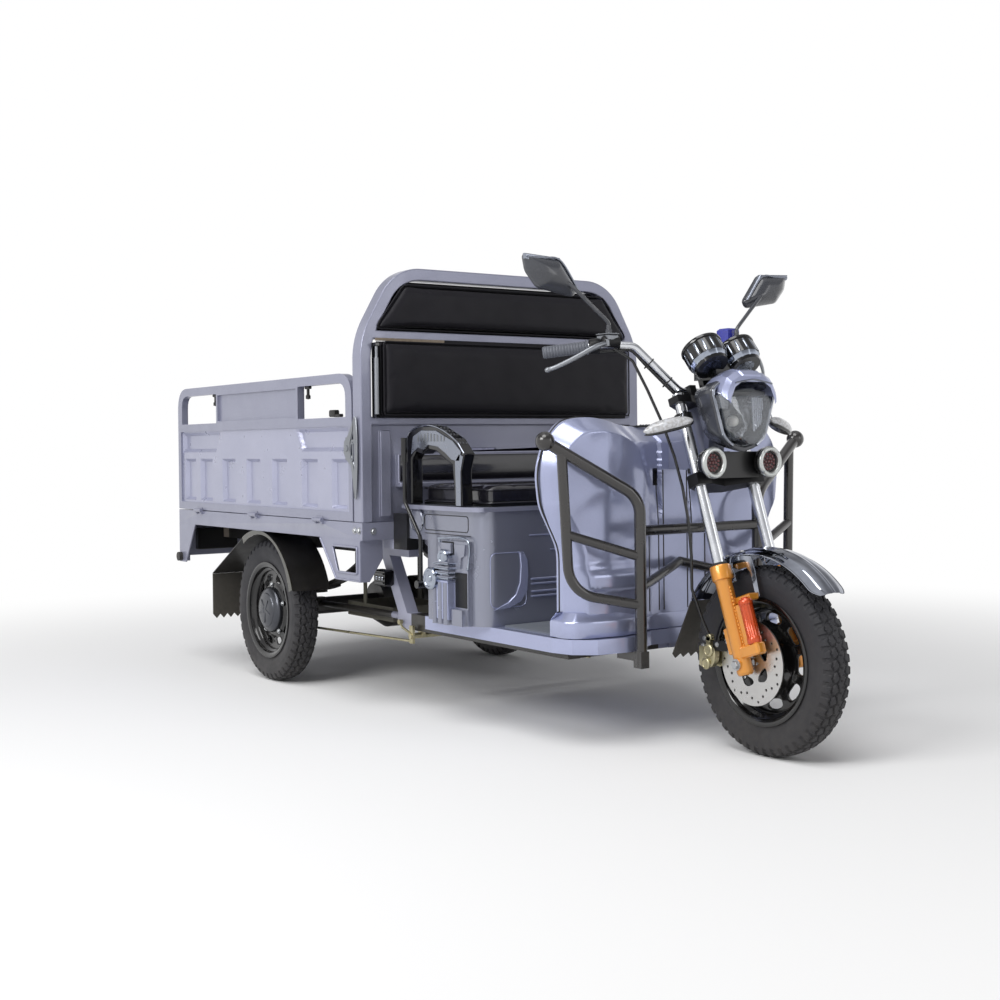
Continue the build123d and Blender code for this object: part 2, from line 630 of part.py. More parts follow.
def brake_linkage():
    """Cross shaft of the foot brake with a lever and rod each side, and the pedal."""
    shaft_x, shaft_z = 800.0, 228.0
    y = RAIL_Y + 36
    part = across((-y - 8, y + 8), 9, shaft_x, shaft_z)
    for side in (-1, 1):
        part += block((shaft_x - 10, shaft_x + 10), sorted((side * (y - 4), side * (y + 4))), (205, 260))
        part += rod((shaft_x, side * y, 212), (98, side * y, 190), 4)
        part += block((60, 100), sorted((side * (y - 4), side * (y + 4))), (182, 222))
        part += across(sorted((side * (y - 4 + SEAT_GAP), side * y)), 8, 78, 212)
        hanger = (side * (RAIL_Y - 6), side * (RAIL_Y + 6))
        part += block((shaft_x - 12, shaft_x + 12), sorted(hanger), (shaft_z, FLOOR_RAIL[0] - SEAT_GAP))
    part += block((shaft_x, PEDAL_X), (-250, -242), (226, 234))
    part += block((shaft_x - 12, shaft_x + 12), (-252, -240), (216, 242))
    part += block((PEDAL_X - 15, PEDAL_X), (-250, -242), (226, 360))
    return part + block((PEDAL_X - 30, PEDAL_X + 15), (-280, -212), (356, 366))


def under_tray():
    """Open tray hung under the bed between the rails."""
    x, y, z = (209.0, 520.0), (-300.0, -80.0), (236.0, 284.0)
    tray = block(x, y, z) - block((x[0] + 3, x[1] - 3), (y[0] + 3, y[1] - 3), (z[0] + 3, z[1] + 1))
    for edge in y:
        strap = sorted((edge, edge + (4 if edge < -200 else -4)))
        tray += block((320, 340), strap, (z[0], BED_BOTTOM - SEAT_GAP))
    return tray


def rear_fender():
    """Right rear mudguard: an arch under the bed that runs straight down to its flap."""
    outer = BED_BOTTOM - TYRE_RADIUS - SEAT_GAP
    y = (-BED_HALF + 10, -BED_HALF + 150)
    arc = turned([(outer - SHEET, y[0]), (outer, y[0]), (outer, y[1]), (outer - SHEET, y[1])], REAR_AXLE)
    front = math.radians(18)
    back = math.radians(FENDER_TURN)
    far = 700
    wedge = prism_y([(0, TYRE_RADIUS), (far * math.cos(front), TYRE_RADIUS + far * math.sin(front)),
                     (far, TYRE_RADIUS + far), (-0.3 * far, TYRE_RADIUS + far),
                     (far * math.cos(back), TYRE_RADIUS + far * math.sin(back))], (y[0] - 1, y[1] + 1))
    arch = arc & wedge
    along, out = (-math.sin(back), math.cos(back)), (math.cos(back), math.sin(back))
    reach = (outer * out[0] - FLAP_X) / -along[0]
    tail = []
    for run, radius in ((-2, outer), (reach, outer), (reach, outer - SHEET), (-2, outer - SHEET)):
        tail.append((radius * out[0] + run * along[0], TYRE_RADIUS + radius * out[1] + run * along[1]))
    return arch + prism_y(tail, y)


def rear_flap():
    """Right rubber mud flap with a toothed lower edge, hung from the mudguard's end."""
    bottom = 184.0
    outer = BED_BOTTOM - TYRE_RADIUS - SEAT_GAP - SHEET
    back = math.radians(FENDER_TURN)
    drop = (outer * math.cos(back) - FLAP_X) * math.cos(back) / math.sin(back)
    top = TYRE_RADIUS + outer * math.sin(back) + drop + SEAT_GAP
    inner, width = -BED_HALF + 150, 140
    points = [(inner - width, top), (inner, top)]
    teeth = 5
    for step in range(teeth * 2 + 1):
        points.append((inner - width * step / (teeth * 2), bottom + (0 if step % 2 else 16)))
    return prism_x(points, (FLAP_X, FLAP_X + 5))


# Cabin: seat, floor and shield


def seat_base():
    """Moulded seat box with rounded front corners, an open top and a recessed front."""
    corners = [(SEAT_REAR, -SEAT_HALF), (SEAT_FRONT, -SEAT_HALF), (SEAT_FRONT, SEAT_HALF),
               (SEAT_REAR, SEAT_HALF)]
    bottom = PAN_TOP + SEAT_GAP
    box = prism_z(corners, (bottom, SEAT_TOP - 12), ((1, 55), (2, 55)))
    box -= block((SEAT_REAR - 1, SEAT_WELL_REAR), (-600, 600), (bottom - 1, SEAT_WELL_TOP))
    rim = SEAT_HALF + 20
    ledge = [(SEAT_REAR - 12, -rim), (SEAT_FRONT - 55, -rim), (SEAT_FRONT + 6, -SEAT_HALF + 40),
             (SEAT_FRONT + 6, SEAT_HALF - 40), (SEAT_FRONT - 55, rim), (SEAT_REAR - 12, rim)]
    box += prism_z(ledge, (SEAT_TOP - 12, SEAT_TOP), ((1, 30), (2, 40), (3, 40), (4, 30)))
    wall = SEAT_WALL
    inner = SEAT_HALF - 40
    box -= block((SEAT_WELL_REAR + wall, SEAT_FRONT - 30), (-inner, inner), (bottom + wall, SEAT_TOP + 1))
    box -= block((SEAT_REAR + 25, SEAT_FRONT - 30), (-inner, inner), (SEAT_WELL_TOP + wall, SEAT_TOP + 1))
    box -= block((SEAT_FRONT - 16, SEAT_FRONT + 1), (-150, 350), (PAN_TOP + 40, 575))
    for z in (370, 395, 420, 445):
        box += block((SEAT_FRONT - 17, SEAT_FRONT - 8), (-120, 320), (z, z + 10))
    return box + fused_both(seat_hinge_fixed())


def seat_hinge_fixed():
    """Right seat hinge: pin and two eyes that stand on the seat box."""
    x, z = SEAT_HINGE
    ends = (-SEAT_HINGE_Y - SEAT_HINGE_HALF, -SEAT_HINGE_Y + SEAT_HINGE_HALF)
    hinge = across((ends[0] - 1, ends[1] + 1), SEAT_PIN, x, z)
    for eye in ((ends[0] - 14, ends[0] - 0.5), (ends[1] + 0.5, ends[1] + 14)):
        hinge += across(eye, SEAT_KNUCKLE, x, z)
        hinge += block((x - SEAT_KNUCKLE, x + 2), eye, (SEAT_TOP - 2, z))
    return hinge


def seat_hinge_moving():
    """Right seat hinge: the knuckle and its leaf under the cushion."""
    x, z = SEAT_HINGE
    span = (-SEAT_HINGE_Y - SEAT_HINGE_HALF, -SEAT_HINGE_Y + SEAT_HINGE_HALF)
    knuckle = across(span, SEAT_KNUCKLE, x, z)
    knuckle += block((x, CUSHION_REAR + 8), span, (z - 1.5, z + 1.2))
    return knuckle - across((span[0] - 1, span[1] + 1), SEAT_PIN + RUNNING_GAP, x, z)


def battery_block():
    """Battery pack as one plain block in the seat box."""
    bottom = PAN_TOP + SEAT_WALL + 2 * SEAT_GAP
    return block((SEAT_WELL_REAR + 15, SEAT_FRONT - 45), (-350, 350), (bottom, 505))


def side_cover():
    """Right moulded cover in the form of a finned cylinder on a crankcase."""
    face = -SEAT_HALF - SEAT_GAP
    bottom = PAN_TOP + SEAT_GAP
    cover = block((1035, 1195), (face - 14, face), (bottom, 540))
    cover += block((1040, 1120), (face - 34, face - 10), (bottom, 425))
    for x in (1050, 1080, 1110):
        cover += rod((x, face - 34, bottom), (x, face - 34, 420), 9)
    for z in (432, 446, 460, 474):
        cover += block((1052, 1128), (face - 40, face - 10), (z, z + 7))
    cover += block((1062, 1118), (face - 30, face - 10), (425, 490))
    cover += across((face - 46, face - 10), 30, 1030 + 8, 428)
    cover += across((face - 34, face - 10), 22, 1090, 492)
    cover += block((1050, 1120), (face - 24, face - 10), (505, 534))
    cover += prism_y([(1132, 532), (1190, 532), (1184, 500), (1168, 494), (1160, 462), (1150, 494),
                      (1138, 500)], (face - 20, face - 10))
    return cover + block((1130, 1185), (face - 30, face - 10), (bottom, 345))


def armrest():
    """Right armrest: a moulded arch on two feet."""
    outer = [(822, SEAT_TOP), (826, 800), (850, 858), (920, 878), (1010, 874), (1110, 836), (1160, 792),
             (1140, 740), (1146, SEAT_TOP)]
    hole = [(868, SEAT_TOP - 1), (868, 778), (892, 800), (930, 792), (960, 806), (1010, 800), (1052, 780),
            (1096, 760), (1104, 700), (1108, SEAT_TOP - 1)]
    side = (-ARMREST_OUT, -ARMREST_OUT + ARMREST_WIDTH)
    shape = prism_y(outer, side) - prism_y(hole, (side[0] - 1, side[1] + 1))
    return shape.moved(Pos(15, 0, SEAT_GAP))


def parking_brake():
    """Hand lever beside the seat with its pivot bracket on the seat box."""
    out, low = -SEAT_HALF - 48, -SEAT_HALF - 32
    lever = bent([(904, out, 838), (904, out, 650), (966, low, 545), (966, low, 395)], 6, 40)
    lever += rod((904, out, 770), (904, out, 842), 10)
    lever += across((out, -SEAT_HALF - SEAT_GAP), 12, 966, 405)
    return lever


def pan_outline(inset):
    """Plan of the floor pan, hollowed at its front for the wheel."""
    half = PAN_HALF - inset
    front = [(SHIELD_REAR + 15, half), (SHIELD_REAR + 82, 385 - inset),
             (SHIELD_REAR + 128 - inset, 333 - inset), (SHIELD_REAR + 140 - inset, 240),
             (SHIELD_REAR + 130 - inset, 196), (SHIELD_REAR + 70 - inset, 100),
             (SHIELD_REAR + 66 - inset, 0)]
    left = [(PAN_REAR + inset, half)] + front
    return left + [(x, -y) for x, y in reversed(left[:-1])]


def floor_pan():
    """Pressed floor with a deep skirt, notched for the down tube."""
    rounds = tuple((index, 20) for index in (2, 3, 4, 8, 9, 10))
    pan = prism_z(pan_outline(0), (PAN_BOTTOM, PAN_TOP), rounds)
    inner = prism_z(pan_outline(PAN_WALL), (PAN_BOTTOM - 1, PAN_TOP - PAN_WALL))
    tube = DOWN_TUBE / 2 + SEAT_GAP
    hole = block((DOWN_TUBE_X - tube, DOWN_TUBE_X + tube), (-tube, tube), (PAN_BOTTOM - 5, PAN_TOP + 5))
    pan = pan - inner - hole - pedal_slot()
    half = RAIL_WIDTH / 2 + SEAT_GAP
    for y in (-RAIL_Y, RAIL_Y):
        pan -= block((PAN_REAR - 1, PAN_REAR + PAN_WALL + 1), (y - half, y + half),
                     (PAN_BOTTOM - 1, FLOOR_RAIL[1] + SEAT_GAP))
    return pan


def pedal_slot():
    """Slot through the floor for the brake pedal's arm."""
    return block((PEDAL_X - 22, PEDAL_X + 7), (-256, -236), (PAN_BOTTOM, PAN_TOP + 20))


def floor_mat():
    """Ribbed rubber mat in the foot space."""
    mat = block((SEAT_FRONT + 6, SHIELD_REAR - 2), (-360, 360), (PAN_TOP, PAN_TOP + MAT))
    return mat.moved(Pos(0, 0, SEAT_GAP / 3)) - pedal_slot()


def shield_outline(inset):
    """Front view of the leg shield, both humps, drawn in by an inset."""
    face = Polygon(*SHIELD_EDGE, *[(-y, z) for y, z in reversed(SHIELD_EDGE)], align=None)
    rounds = {1: 60, 4: 50, 5: 40, 7: 40, 9: 40}
    for index, radius in rounds.items():
        for side in (1, -1):
            spot = Vector(side * SHIELD_EDGE[index][0], SHIELD_EDGE[index][1], 0)
            face = fillet(face.vertices().sort_by_distance(spot)[0], radius)
    return offset(face, -inset) if inset else face


def shield_plan(inset):
    """Plan of the shield: side walls, a bulged front each side and a hollow centre."""
    front = SHIELD_FRONT - inset
    left = [(SHIELD_REAR - 2 * inset, 470), (front - 58, 462), (front - 20, 380), (front, 260),
            (front - 4, 170), (front - 30, 90), (front - 34, 0)]
    return left + [(x, -y) for x, y in reversed(left[:-1])]


def leg_shield():
    """Moulded leg shield: hollow behind, waisted, on a plinth, open at the neck."""
    shells = []
    for inset in (0, SHIELD_WALL):
        face = extrude(Plane.YZ * shield_outline(inset), 250, dir=(1, 0, 0))
        face = face.moved(Pos(SHIELD_REAR - 20, 0, 0))
        rounds = () if inset else ((2, 40), (3, 60), (9, 60), (10, 40))
        shells.append(face & prism_z(shield_plan(inset), (PAN_TOP - 20, 920), rounds))
    tub = shells[0] & block((SHIELD_REAR, SHIELD_FRONT + 80), (-600, 600), (PAN_TOP + SEAT_GAP, 920))
    low, high = PAN_TOP + SEAT_GAP, PAN_TOP + PLINTH
    base = prism_z(plinth_outline(0), (low, high), tuple((i, 18) for i in (1, 2, 3, 8, 9, 10)))
    tub += base
    tub -= shells[1]
    tub -= prism_z(plinth_outline(SHIELD_WALL), (low - 1, high - SHIELD_WALL))
    tube = DOWN_TUBE / 2 + SEAT_GAP
    tub -= block((SHIELD_REAR - 50, DOWN_TUBE_X + tube), (-tube, tube), (low - 1, 900))
    return tub - block((DOWN_TUBE_X, SHIELD_FRONT + 80), (-24, 24), (700, 920))


def plinth_outline(inset):
    """Plan of the shield's plinth, a little inside the floor pan."""
    half = 396 - inset
    front = SHIELD_FRONT - inset
    left = [(SHIELD_REAR - 2 * inset, half), (front - 45, half), (front, 372 - inset), (front + 20, 240),
            (front + 12, 200), (SHIELD_FRONT - 35 - inset / 2, 104), (SHIELD_FRONT - 36 - inset / 2, 0)]
    return left + [(x, -y) for x, y in reversed(left[:-1])]


def bar_point(t, z):
    """Point of the bull bar's side frame, from the ball (0) to the post (1) in plan."""
    return (BALL[0] + (POST[0] - BALL[0]) * t, -(BALL[1] + (POST[1] - BALL[1]) * t), z)


def bull_bar():
    """Bent tube guard: two side frames with inner loops, joined across the shield."""
    top = bent([bar_point(0, BALL[2]), bar_point(1, 672), bar_point(1, 222)], BAR_RADIUS, 75)
    side = top + Pos(BALL[0], -BALL[1], BALL[2]) * Sphere(BALL_RADIUS)
    loop = [bar_point(0.17, 800), bar_point(0.24, 425), bar_point(0.99, 386)]
    side += bent(loop, BAR_RADIUS - 2, 90)
    side += rod(bar_point(0.22, 579), bar_point(0.99, 515), BAR_RADIUS - 3)
    side += rod(bar_point(1, 430), (POST[0] - 88, 0, 486), BAR_RADIUS - 3)
    side += block((POST[0] - 16, POST[0] + 16), (-POST[1] - 14, -POST[1] + 14), (218, 262))
    side += block((POST[0] - 88, POST[0]), (-POST[1] - 12, -POST[1] + 12), (236, PAN_BOTTOM - SEAT_GAP))
    bar = fused_both(side)
    return bar + rod(bar_point(1, 584), (POST[0], POST[1], 584), BAR_RADIUS - 2)


# Fork and controls


def leg(y, w, radius, u=0.0):
    """Round bar parallel to the fork legs."""
    return FORK * Pos(u, y, w[0]) * extrude(Circle(radius), w[1] - w[0])


def fork_yokes():
    """Lower and upper yokes on the steering stem, with the handlebar clamps."""
    parts = []
    half = FORK_HALF
    for low, high in (YOKE_LOW, YOKE_HIGH):
        plan = [(-STEM_BACK - 28, -40), (-18, -half - 24), (22, -half - 24), (22, -half + 24), (-8, 0),
                (22, half - 24), (22, half + 24), (-18, half + 24), (-STEM_BACK - 28, 40)]
        plate = extrude(Polygon(*plan, align=None), high - low, dir=(0, 0, 1))
        parts.append(FORK * Pos(0, 0, low) * plate)
    stem = FORK * Pos(-STEM_BACK, 0, YOKE_LOW[0]) * extrude(Circle(STEM_RADIUS), YOKE_HIGH[1] - YOKE_LOW[0])
    yokes = parts[0] + parts[1] + stem
    for y in (-28, 28):
        riser = Pos(BAR_CENTRE[0], y, (YOKE_HIGH[1] + BAR_CENTRE[1]) / 2)
        yokes += FORK * riser * Box(34, 22, BAR_CENTRE[1] - YOKE_HIGH[1] + 30)
    centre = Pos(BAR_CENTRE[0], 0, BAR_CENTRE[1]) * Rot(90, 0, 0)
    hole = FORK * centre * Cylinder(HANDLE_RADIUS + SEAT_GAP, 400)
    yokes -= hole
    for y in (-half, half):
        yokes -= leg(y, (0, 900), TUBE_RADIUS + SEAT_GAP)
    return yokes


def fork_tubes():
    """Chrome fork tubes."""
    return [leg(side * FORK_HALF, (SLIDER_TOP - 20, YOKE_HIGH[1] + 8), TUBE_RADIUS) for side in (-1, 1)]


def fork_sliders():
    """Painted sliders with collars, damper reservoirs and the axle between them."""
    slider = leg(-FORK_HALF, (-30, SLIDER_TOP), SLIDER_RADIUS)
    slider += leg(-FORK_HALF, (SLIDER_TOP - 34, SLIDER_TOP), SLIDER_RADIUS + 4)
    slider += leg(-FORK_HALF, (66, 170), 15, 42)
    for low in (78, 150):
        bridge = Pos(21, -FORK_HALF, low) * Box(44, 14, 12)
        slider += FORK * bridge
    slider += across((-FORK_HALF - SLIDER_RADIUS - 8, -FORK_HALF), 14, WHEELBASE, TYRE_RADIUS)
    slider -= leg(-FORK_HALF, (SLIDER_TOP - 20 - SEAT_GAP, SLIDER_TOP + 5), TUBE_RADIUS + SEAT_GAP)
    pair = fused_both(slider)
    return pair + across((-FORK_HALF, FORK_HALF), AXLE_RADIUS, WHEELBASE, TYRE_RADIUS)


def front_fender():
    """Crowned front mudguard with a bracket to each slider."""
    half, crown, edge = FENDER_HALF, FENDER_CROWN, FENDER_EDGE
    arc = ThreePointArc((edge, -half), (crown, 0), (edge, half))
    low = ThreePointArc((edge - SHEET, -half), (crown - SHEET, 0), (edge - SHEET, half))
    ends = [Line(arc @ 0, low @ 0), Line(arc @ 1, low @ 1)]
    face = make_face([arc, low] + ends)
    shell = revolve(face, Axis.Y, revolution_arc=FRONT_FENDER_ARC)
    shell = Pos(*FRONT_AXLE) * Rot(0, -FRONT_FENDER_END, 0) * shell
    bracket = Pos(0, -half - 4, 0) * block((-12, 12), (-5, 5), (215, 285))
    bracket += Pos(0, -half - 6, 0) * block((-12, 12), (-8, 6), (215, 235))
    shell = shell + fused_both(FORK * bracket)
    for side in (-1, 1):
        shell -= leg(side * FORK_HALF, (0, 400), SLIDER_RADIUS + 4 + SEAT_GAP)
    return shell


def front_flap():
    """Rubber flap at the rear end of the front mudguard, with a toothed edge."""
    turn = math.radians(FRONT_FENDER_END)
    down = (math.cos(turn + math.pi / 2), math.sin(turn + math.pi / 2))
    start_radius = FENDER_EDGE - SHEET - 3 - 2 * SEAT_GAP
    top = (WHEELBASE + start_radius * math.cos(turn) - 14 * down[0],
           TYRE_RADIUS + start_radius * math.sin(turn) - 14 * down[1])
    plane = Plane(origin=(top[0], 0, top[1]), x_dir=(0, 1, 0), z_dir=(math.cos(turn), 0, math.sin(turn)))
    points = [(-58, 0), (58, 0)]
    sign = 1 if plane.y_dir.Z < 0 else -1
    for step in range(9):
        points.append((58 - 116 * step / 8, sign * (185 - (14 if step % 2 == 0 else 0))))
    return extrude(plane * Polygon(*points, align=None), 3)


def brake_caliper():
    """Caliper over the rear edge of the disc, on an arm from the right slider."""
    body = block((-176, -92), (-98, -52), (-34, 44))
    body -= block((-118, -80), (-DISC_Y - 6, -DISC_Y + 6), (-60, 60))
    body += across((-104, -90), 20, -140, 8)
    body += block((-100, -SLIDER_RADIUS + 6), (-98, -82), (36, 52))
    body += block((-110, -92), (-98, -82), (20, 52))
    body = Pos(*FRONT_AXLE) * body
    return body - leg(-FORK_HALF, (-60, 200), SLIDER_RADIUS + SEAT_GAP)


def lamp_section(x, grow, drop=0.0):
    """Outline of the headlamp at one x, scaled about its middle."""
    middle = 900.0
    half = [(y * grow, middle + (z - middle) * grow - drop) for y, z in LAMP_FACE]
    ring = half + [(-y, z) for y, z in reversed(half[1:-1])]
    return Plane(origin=(x, 0, 0), x_dir=(0, 1, 0), z_dir=(1, 0, 0)) * Polygon(*ring, align=None)


def headlamp_shell():
    """Deep headlamp housing that tapers a little back to its bracket."""
    shell = loft([lamp_section(LAMP_X - 78, 0.84), lamp_section(LAMP_X, 1.0)], ruled=True)
    shell += loft([lamp_section(LAMP_X, 1.0), lamp_section(LAMP_X + 12, 0.97)], ruled=True)
    pocket = loft([lamp_section(LAMP_X - 50, 0.74), lamp_section(LAMP_X + 13, 0.88)], ruled=True)
    arm = block((LAMP_X - 95, LAMP_X - 65), (-30, 30), (850, 930))
    return shell - pocket + arm


def headlamp_lens():
    """Clear lens, fuller towards its lower edge."""
    return loft([lamp_section(LAMP_X + 2, 0.844), lamp_section(LAMP_X + 34, 0.80, 4),
                 lamp_section(LAMP_X + 54, 0.56, 34)], ruled=True)


def spot_lamps():
    """Round auxiliary lamps below the headlamp."""
    lamps = []
    for side in (-1, 1):
        y = side * SPOT_Y
        body = rod((SPOT_X, y, SPOT_Z), (SPOT_X + 40, y, SPOT_Z), SPOT_RADIUS)
        body -= rod((SPOT_X + 34, y, SPOT_Z), (SPOT_X + 41, y, SPOT_Z), SPOT_RADIUS - 11)
        lamps.append(body)
    return lamps


def lamp_bracket():
    """Pressed bracket from the lower yoke and the legs to the lamps."""
    rear, seat = LAMP_X - 115, LAMP_X - 95 - SEAT_GAP
    plate = block((SPOT_X - 32, SPOT_X - SEAT_GAP), (-92, 92), (722, 792))
    plate += block((rear, SPOT_X - 27), (-88, 88), (735, 748))
    plate += block((rear, LAMP_X - 72), (-28, 28), (740, 870))
    plate += block((rear, seat), (-28, 28), (800, 925))
    plate -= block((seat, LAMP_X - 50), (-80, 80), (793, 960))
    for y in (-FORK_HALF, FORK_HALF):
        plate -= leg(y, (0, 900), TUBE_RADIUS + SEAT_GAP)
    cut = FORK * block((-200, 24 + SEAT_GAP), (-200, 200), (YOKE_LOW[0] - 5, YOKE_LOW[1] + SEAT_GAP))
    plate -= cut
    top = FORK * block((-200, 24 + SEAT_GAP), (-200, 200), (YOKE_HIGH[0] - 30, YOKE_HIGH[1] + 60))
    plate -= top
    return plate - FORK * Pos(-STEM_BACK, 0, 400) * extrude(Circle(HEAD_RADIUS + 6), 400)


def gauges():
    """Twin instrument pods with their dials towards the rider."""
    pods = None
    for side in (-1, 1):
        base = Plane(origin=(WHEELBASE - 145, side * 60, 1018), z_dir=(-0.62, 0, 0.78))
        pod = extrude(base * Circle(46), 22, taper=-14)
        pod += base.offset(22) * extrude(Circle(55), 50)
        pod -= base.offset(66) * extrude(Circle(48), 10)
        pods = pod if pods is None else pods + pod
    pods += block((WHEELBASE - 239, WHEELBASE - 151), (-40, 40), (985, 1030))
    seat = YOKE_HIGH[1] + SEAT_GAP
    foot = FORK * block((4, 22), (-16, 16), (seat, seat + 85))
    return pods + foot + FORK * block((-40, 22), (-16, 16), (seat, seat + 8))


def bar_middle(y):
    """Point of the handlebar's straight middle."""
    point = FORK.from_local_coords(Vector(BAR_CENTRE[0], y, BAR_CENTRE[1]))
    return (point.X, point.Y, point.Z)


def handlebar(radius):
    """Handlebar: a low middle, two rising bends and swept-back ends."""
    left = [bar_middle(62)] + BAR_ROUTE
    points = [(x, -y, z) for x, y, z in reversed(left)] + left
    return bent(points, radius, 34)


def along_bar(start, end):
    """Two points on the swept part of the left handlebar, by fraction of its length."""
    a, b = Vector(*BAR_ROUTE[1]), Vector(*BAR_ROUTE[2])
    return a + (b - a) * start, a + (b - a) * end


def grips():
    """Rubber grips on the bar ends."""
    low, high = along_bar(0.26, 1.02)
    grip = rod(tuple(low), tuple(high), GRIP_RADIUS)
    inner, outer = along_bar(0.0, 1.0)
    end = rod(tuple(outer + (outer - inner).normalized() * SEAT_GAP), tuple(high), GRIP_RADIUS)
    return both(grip - rod(tuple(inner), tuple(outer), HANDLE_RADIUS + SEAT_GAP) + end)


def hand_controls():
    """Switch blocks with brake master cylinders and hand levers."""
    low, high = along_bar(0.08, 0.25)
    grip = rod(tuple(low), tuple(high), 21)
    x = BAR_ROUTE[1][0]
    grip += rod((x + 30, 215, 1092), (x + 16, 262, 1094), 16)
    grip += block((x - 12, x + 40), (222, 254), (1098, 1116))
    grip += bent([(x + 26, 250, 1088), (x + 30, 300, 1074), (x - 27, 392, 1022), (x - 42, 402, 1016)], 6, 14)
    return both(grip - handlebar(HANDLE_RADIUS + SEAT_GAP))


def mirror_arm():
    """Left mirror: stem from the switch block and a faceted head."""
    x = BAR_ROUTE[1][0]
    foot = (x + 18, 238, 1116 + SEAT_GAP)
    stem = bent([foot, (x + 18, 238, 1150), (x, 345, 1238), (x - 12, 385, 1268)], 6, 18)
    outline = [(310, 1234), (324, 1214), (441, 1234), (479, 1277), (488, 1321), (373, 1315)]
    back = prism_x(outline, (x - 38, x - 24))
    face = Polygon(*outline, align=None)
    centre = Vector(403, 1270)
    small = [(centre.X + (y - centre.X) * 0.45, centre.Y + (z - centre.Y) * 0.45) for y, z in outline]
    wide = Plane(origin=(x - 24, 0, 0), x_dir=(0, 1, 0), z_dir=(1, 0, 0)) * face
    narrow = Plane(origin=(x + 4, 0, 0), x_dir=(0, 1, 0), z_dir=(1, 0, 0)) * Polygon(*small, align=None)
    return stem + back + loft([wide, narrow], ruled=True)


def turn_signals():
    """Leaf-shaped turn signals on short stalks from the fork tubes."""
    x = WHEELBASE - 151
    body = Pos(x, 220, 871) * Rot(-20, 0, -12) * scale(Sphere(30), by=(0.75, 2.6, 0.65))
    stalk = rod((x - 56, FORK_HALF + 20, 878), (x - 10, 165, 884), 7)
    clamp = leg(FORK_HALF, (655, 682), TUBE_RADIUS + 8)
    clamp -= leg(FORK_HALF, (640, 700), TUBE_RADIUS + SEAT_GAP)
    stalk -= leg(FORK_HALF, (500, 700), TUBE_RADIUS + 4)
    return both(body + stalk + clamp)


def brake_hose():
    """Front brake hose from the right master cylinder down to the caliper."""
    route = [(-348, -230, 1074.1), (-311, -196, 1040), (-279, -172, 960), (-245, -150, 870),
             (-209, -140, 780), (-183, -136, 700), (-163, -134, 610), (-155, -132, 520),
             (-161, -126, 430), (-151, -100, 350), (-142, -78, 296)]
    return bent([(WHEELBASE + x, y, z) for x, y, z in route], 4, 25)


def seat_cushion():
    """Bench cushion."""
    low = SEAT_TOP + SEAT_PAN + 2 * SEAT_GAP
    body = block((CUSHION_REAR, CUSHION_FRONT), (-CUSHION_HALF, CUSHION_HALF),
                 (low, low + CUSHION_THICKNESS))
    return fillet(body.faces().sort_by(Axis.Z)[-1].edges(), 14)


def seat_pan():
    """Board under the cushion that lies on the seat box."""
    inset = 6
    pan = block((CUSHION_REAR + inset, CUSHION_FRONT - inset),
                (-CUSHION_HALF + inset, CUSHION_HALF - inset),
                (SEAT_TOP + SEAT_GAP, SEAT_TOP + SEAT_GAP + SEAT_PAN))
    return pan + fused_both(seat_hinge_moving())


def main():
    """Write every sub-part."""
    os.makedirs("parts", exist_ok=True)
    right, left = (0, -TRACK / 2, TYRE_RADIUS), (0, TRACK / 2, TYRE_RADIUS)
    write("rear_tyre_right", tyre(right))
    write("rear_tyre_left", tyre(left))
    write("front_tyre", tyre(FRONT_AXLE))
    write("rear_rim_right", rear_rim(-1))
    write("rear_rim_left", rear_rim(1))
    write("front_rim", front_rim())
    write("brake_disc", brake_disc())
    write("cargo_floor", cargo_floor())
    write("side_panel_right", side_panel())
    write("side_panel_left", other_side(side_panel()))
    write("tailgate", tailgate())
    write("cab_hoop", cab_hoop())
    write("headboard", headboard())
    write("backrest_boards", *backrest_boards())
    write("backrest_upper", backrest_upper())
    write("backrest_lower", backrest_lower())
    write("bed_brackets", *bed_brackets())
    write("rear_plate", rear_plate())
    write("tail_lamps", *tail_lamps())
    write("buffers", *buffers())
    write("main_frame", main_frame())
    write("rear_axle", rear_axle())
    write("leaf_springs", *both(leaf_spring()))
    write("torque_arms", *both(torque_arm()))
    write("brake_linkage", brake_linkage())
    write("under_tray", under_tray())
    write("rear_fenders", *both(rear_fender()))
    write("rear_flaps", *both(rear_flap()))
    write("seat_base", seat_base())
    write("battery_block", battery_block())
    write("side_covers", *both(side_cover()))
    write("armrests", *both(armrest()))
    write("parking_brake", parking_brake())
    write("floor_pan", floor_pan())
    write("floor_mat", floor_mat())
    write("leg_shield", leg_shield())
    write("bull_bar", bull_bar())
    write("fork_yokes", fork_yokes())
    write("fork_tubes", *fork_tubes())
    write("fork_sliders", fork_sliders())
    write("front_fender", front_fender())
    write("front_flap", front_flap())
    write("brake_caliper", brake_caliper())
    write("headlamp_shell", headlamp_shell())
    write("headlamp_lens", headlamp_lens())
    write("spot_lamps", *spot_lamps())
    write("lamp_bracket", lamp_bracket())
    write("gauges", gauges())
    write("handlebar", handlebar(HANDLE_RADIUS))
    write("grips", *grips())
    write("hand_controls", *hand_controls())
    write("mirrors", *both(mirror_arm()))
    write("turn_signals", *turn_signals())
    write("brake_hose", brake_hose())
    write("seat_cushion", seat_cushion())
    write("seat_pan", seat_pan())


main()
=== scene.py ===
"""Looks of an electric cargo tricycle: finishes, tyres, cushions, fasteners, light and camera.

Sizes are in millimetres in the machine's own frame: X forward from the rear axle, Y to the
rider's left, Z up from the ground. One function turns them into metres in the shared frame.
"""

import json
import logging
import math
from dataclasses import dataclass, field
from enum import Enum
from typing import Any, Iterable, Optional, Sequence

import bmesh
import bpy
import numpy as np
from mathutils import Matrix, Vector

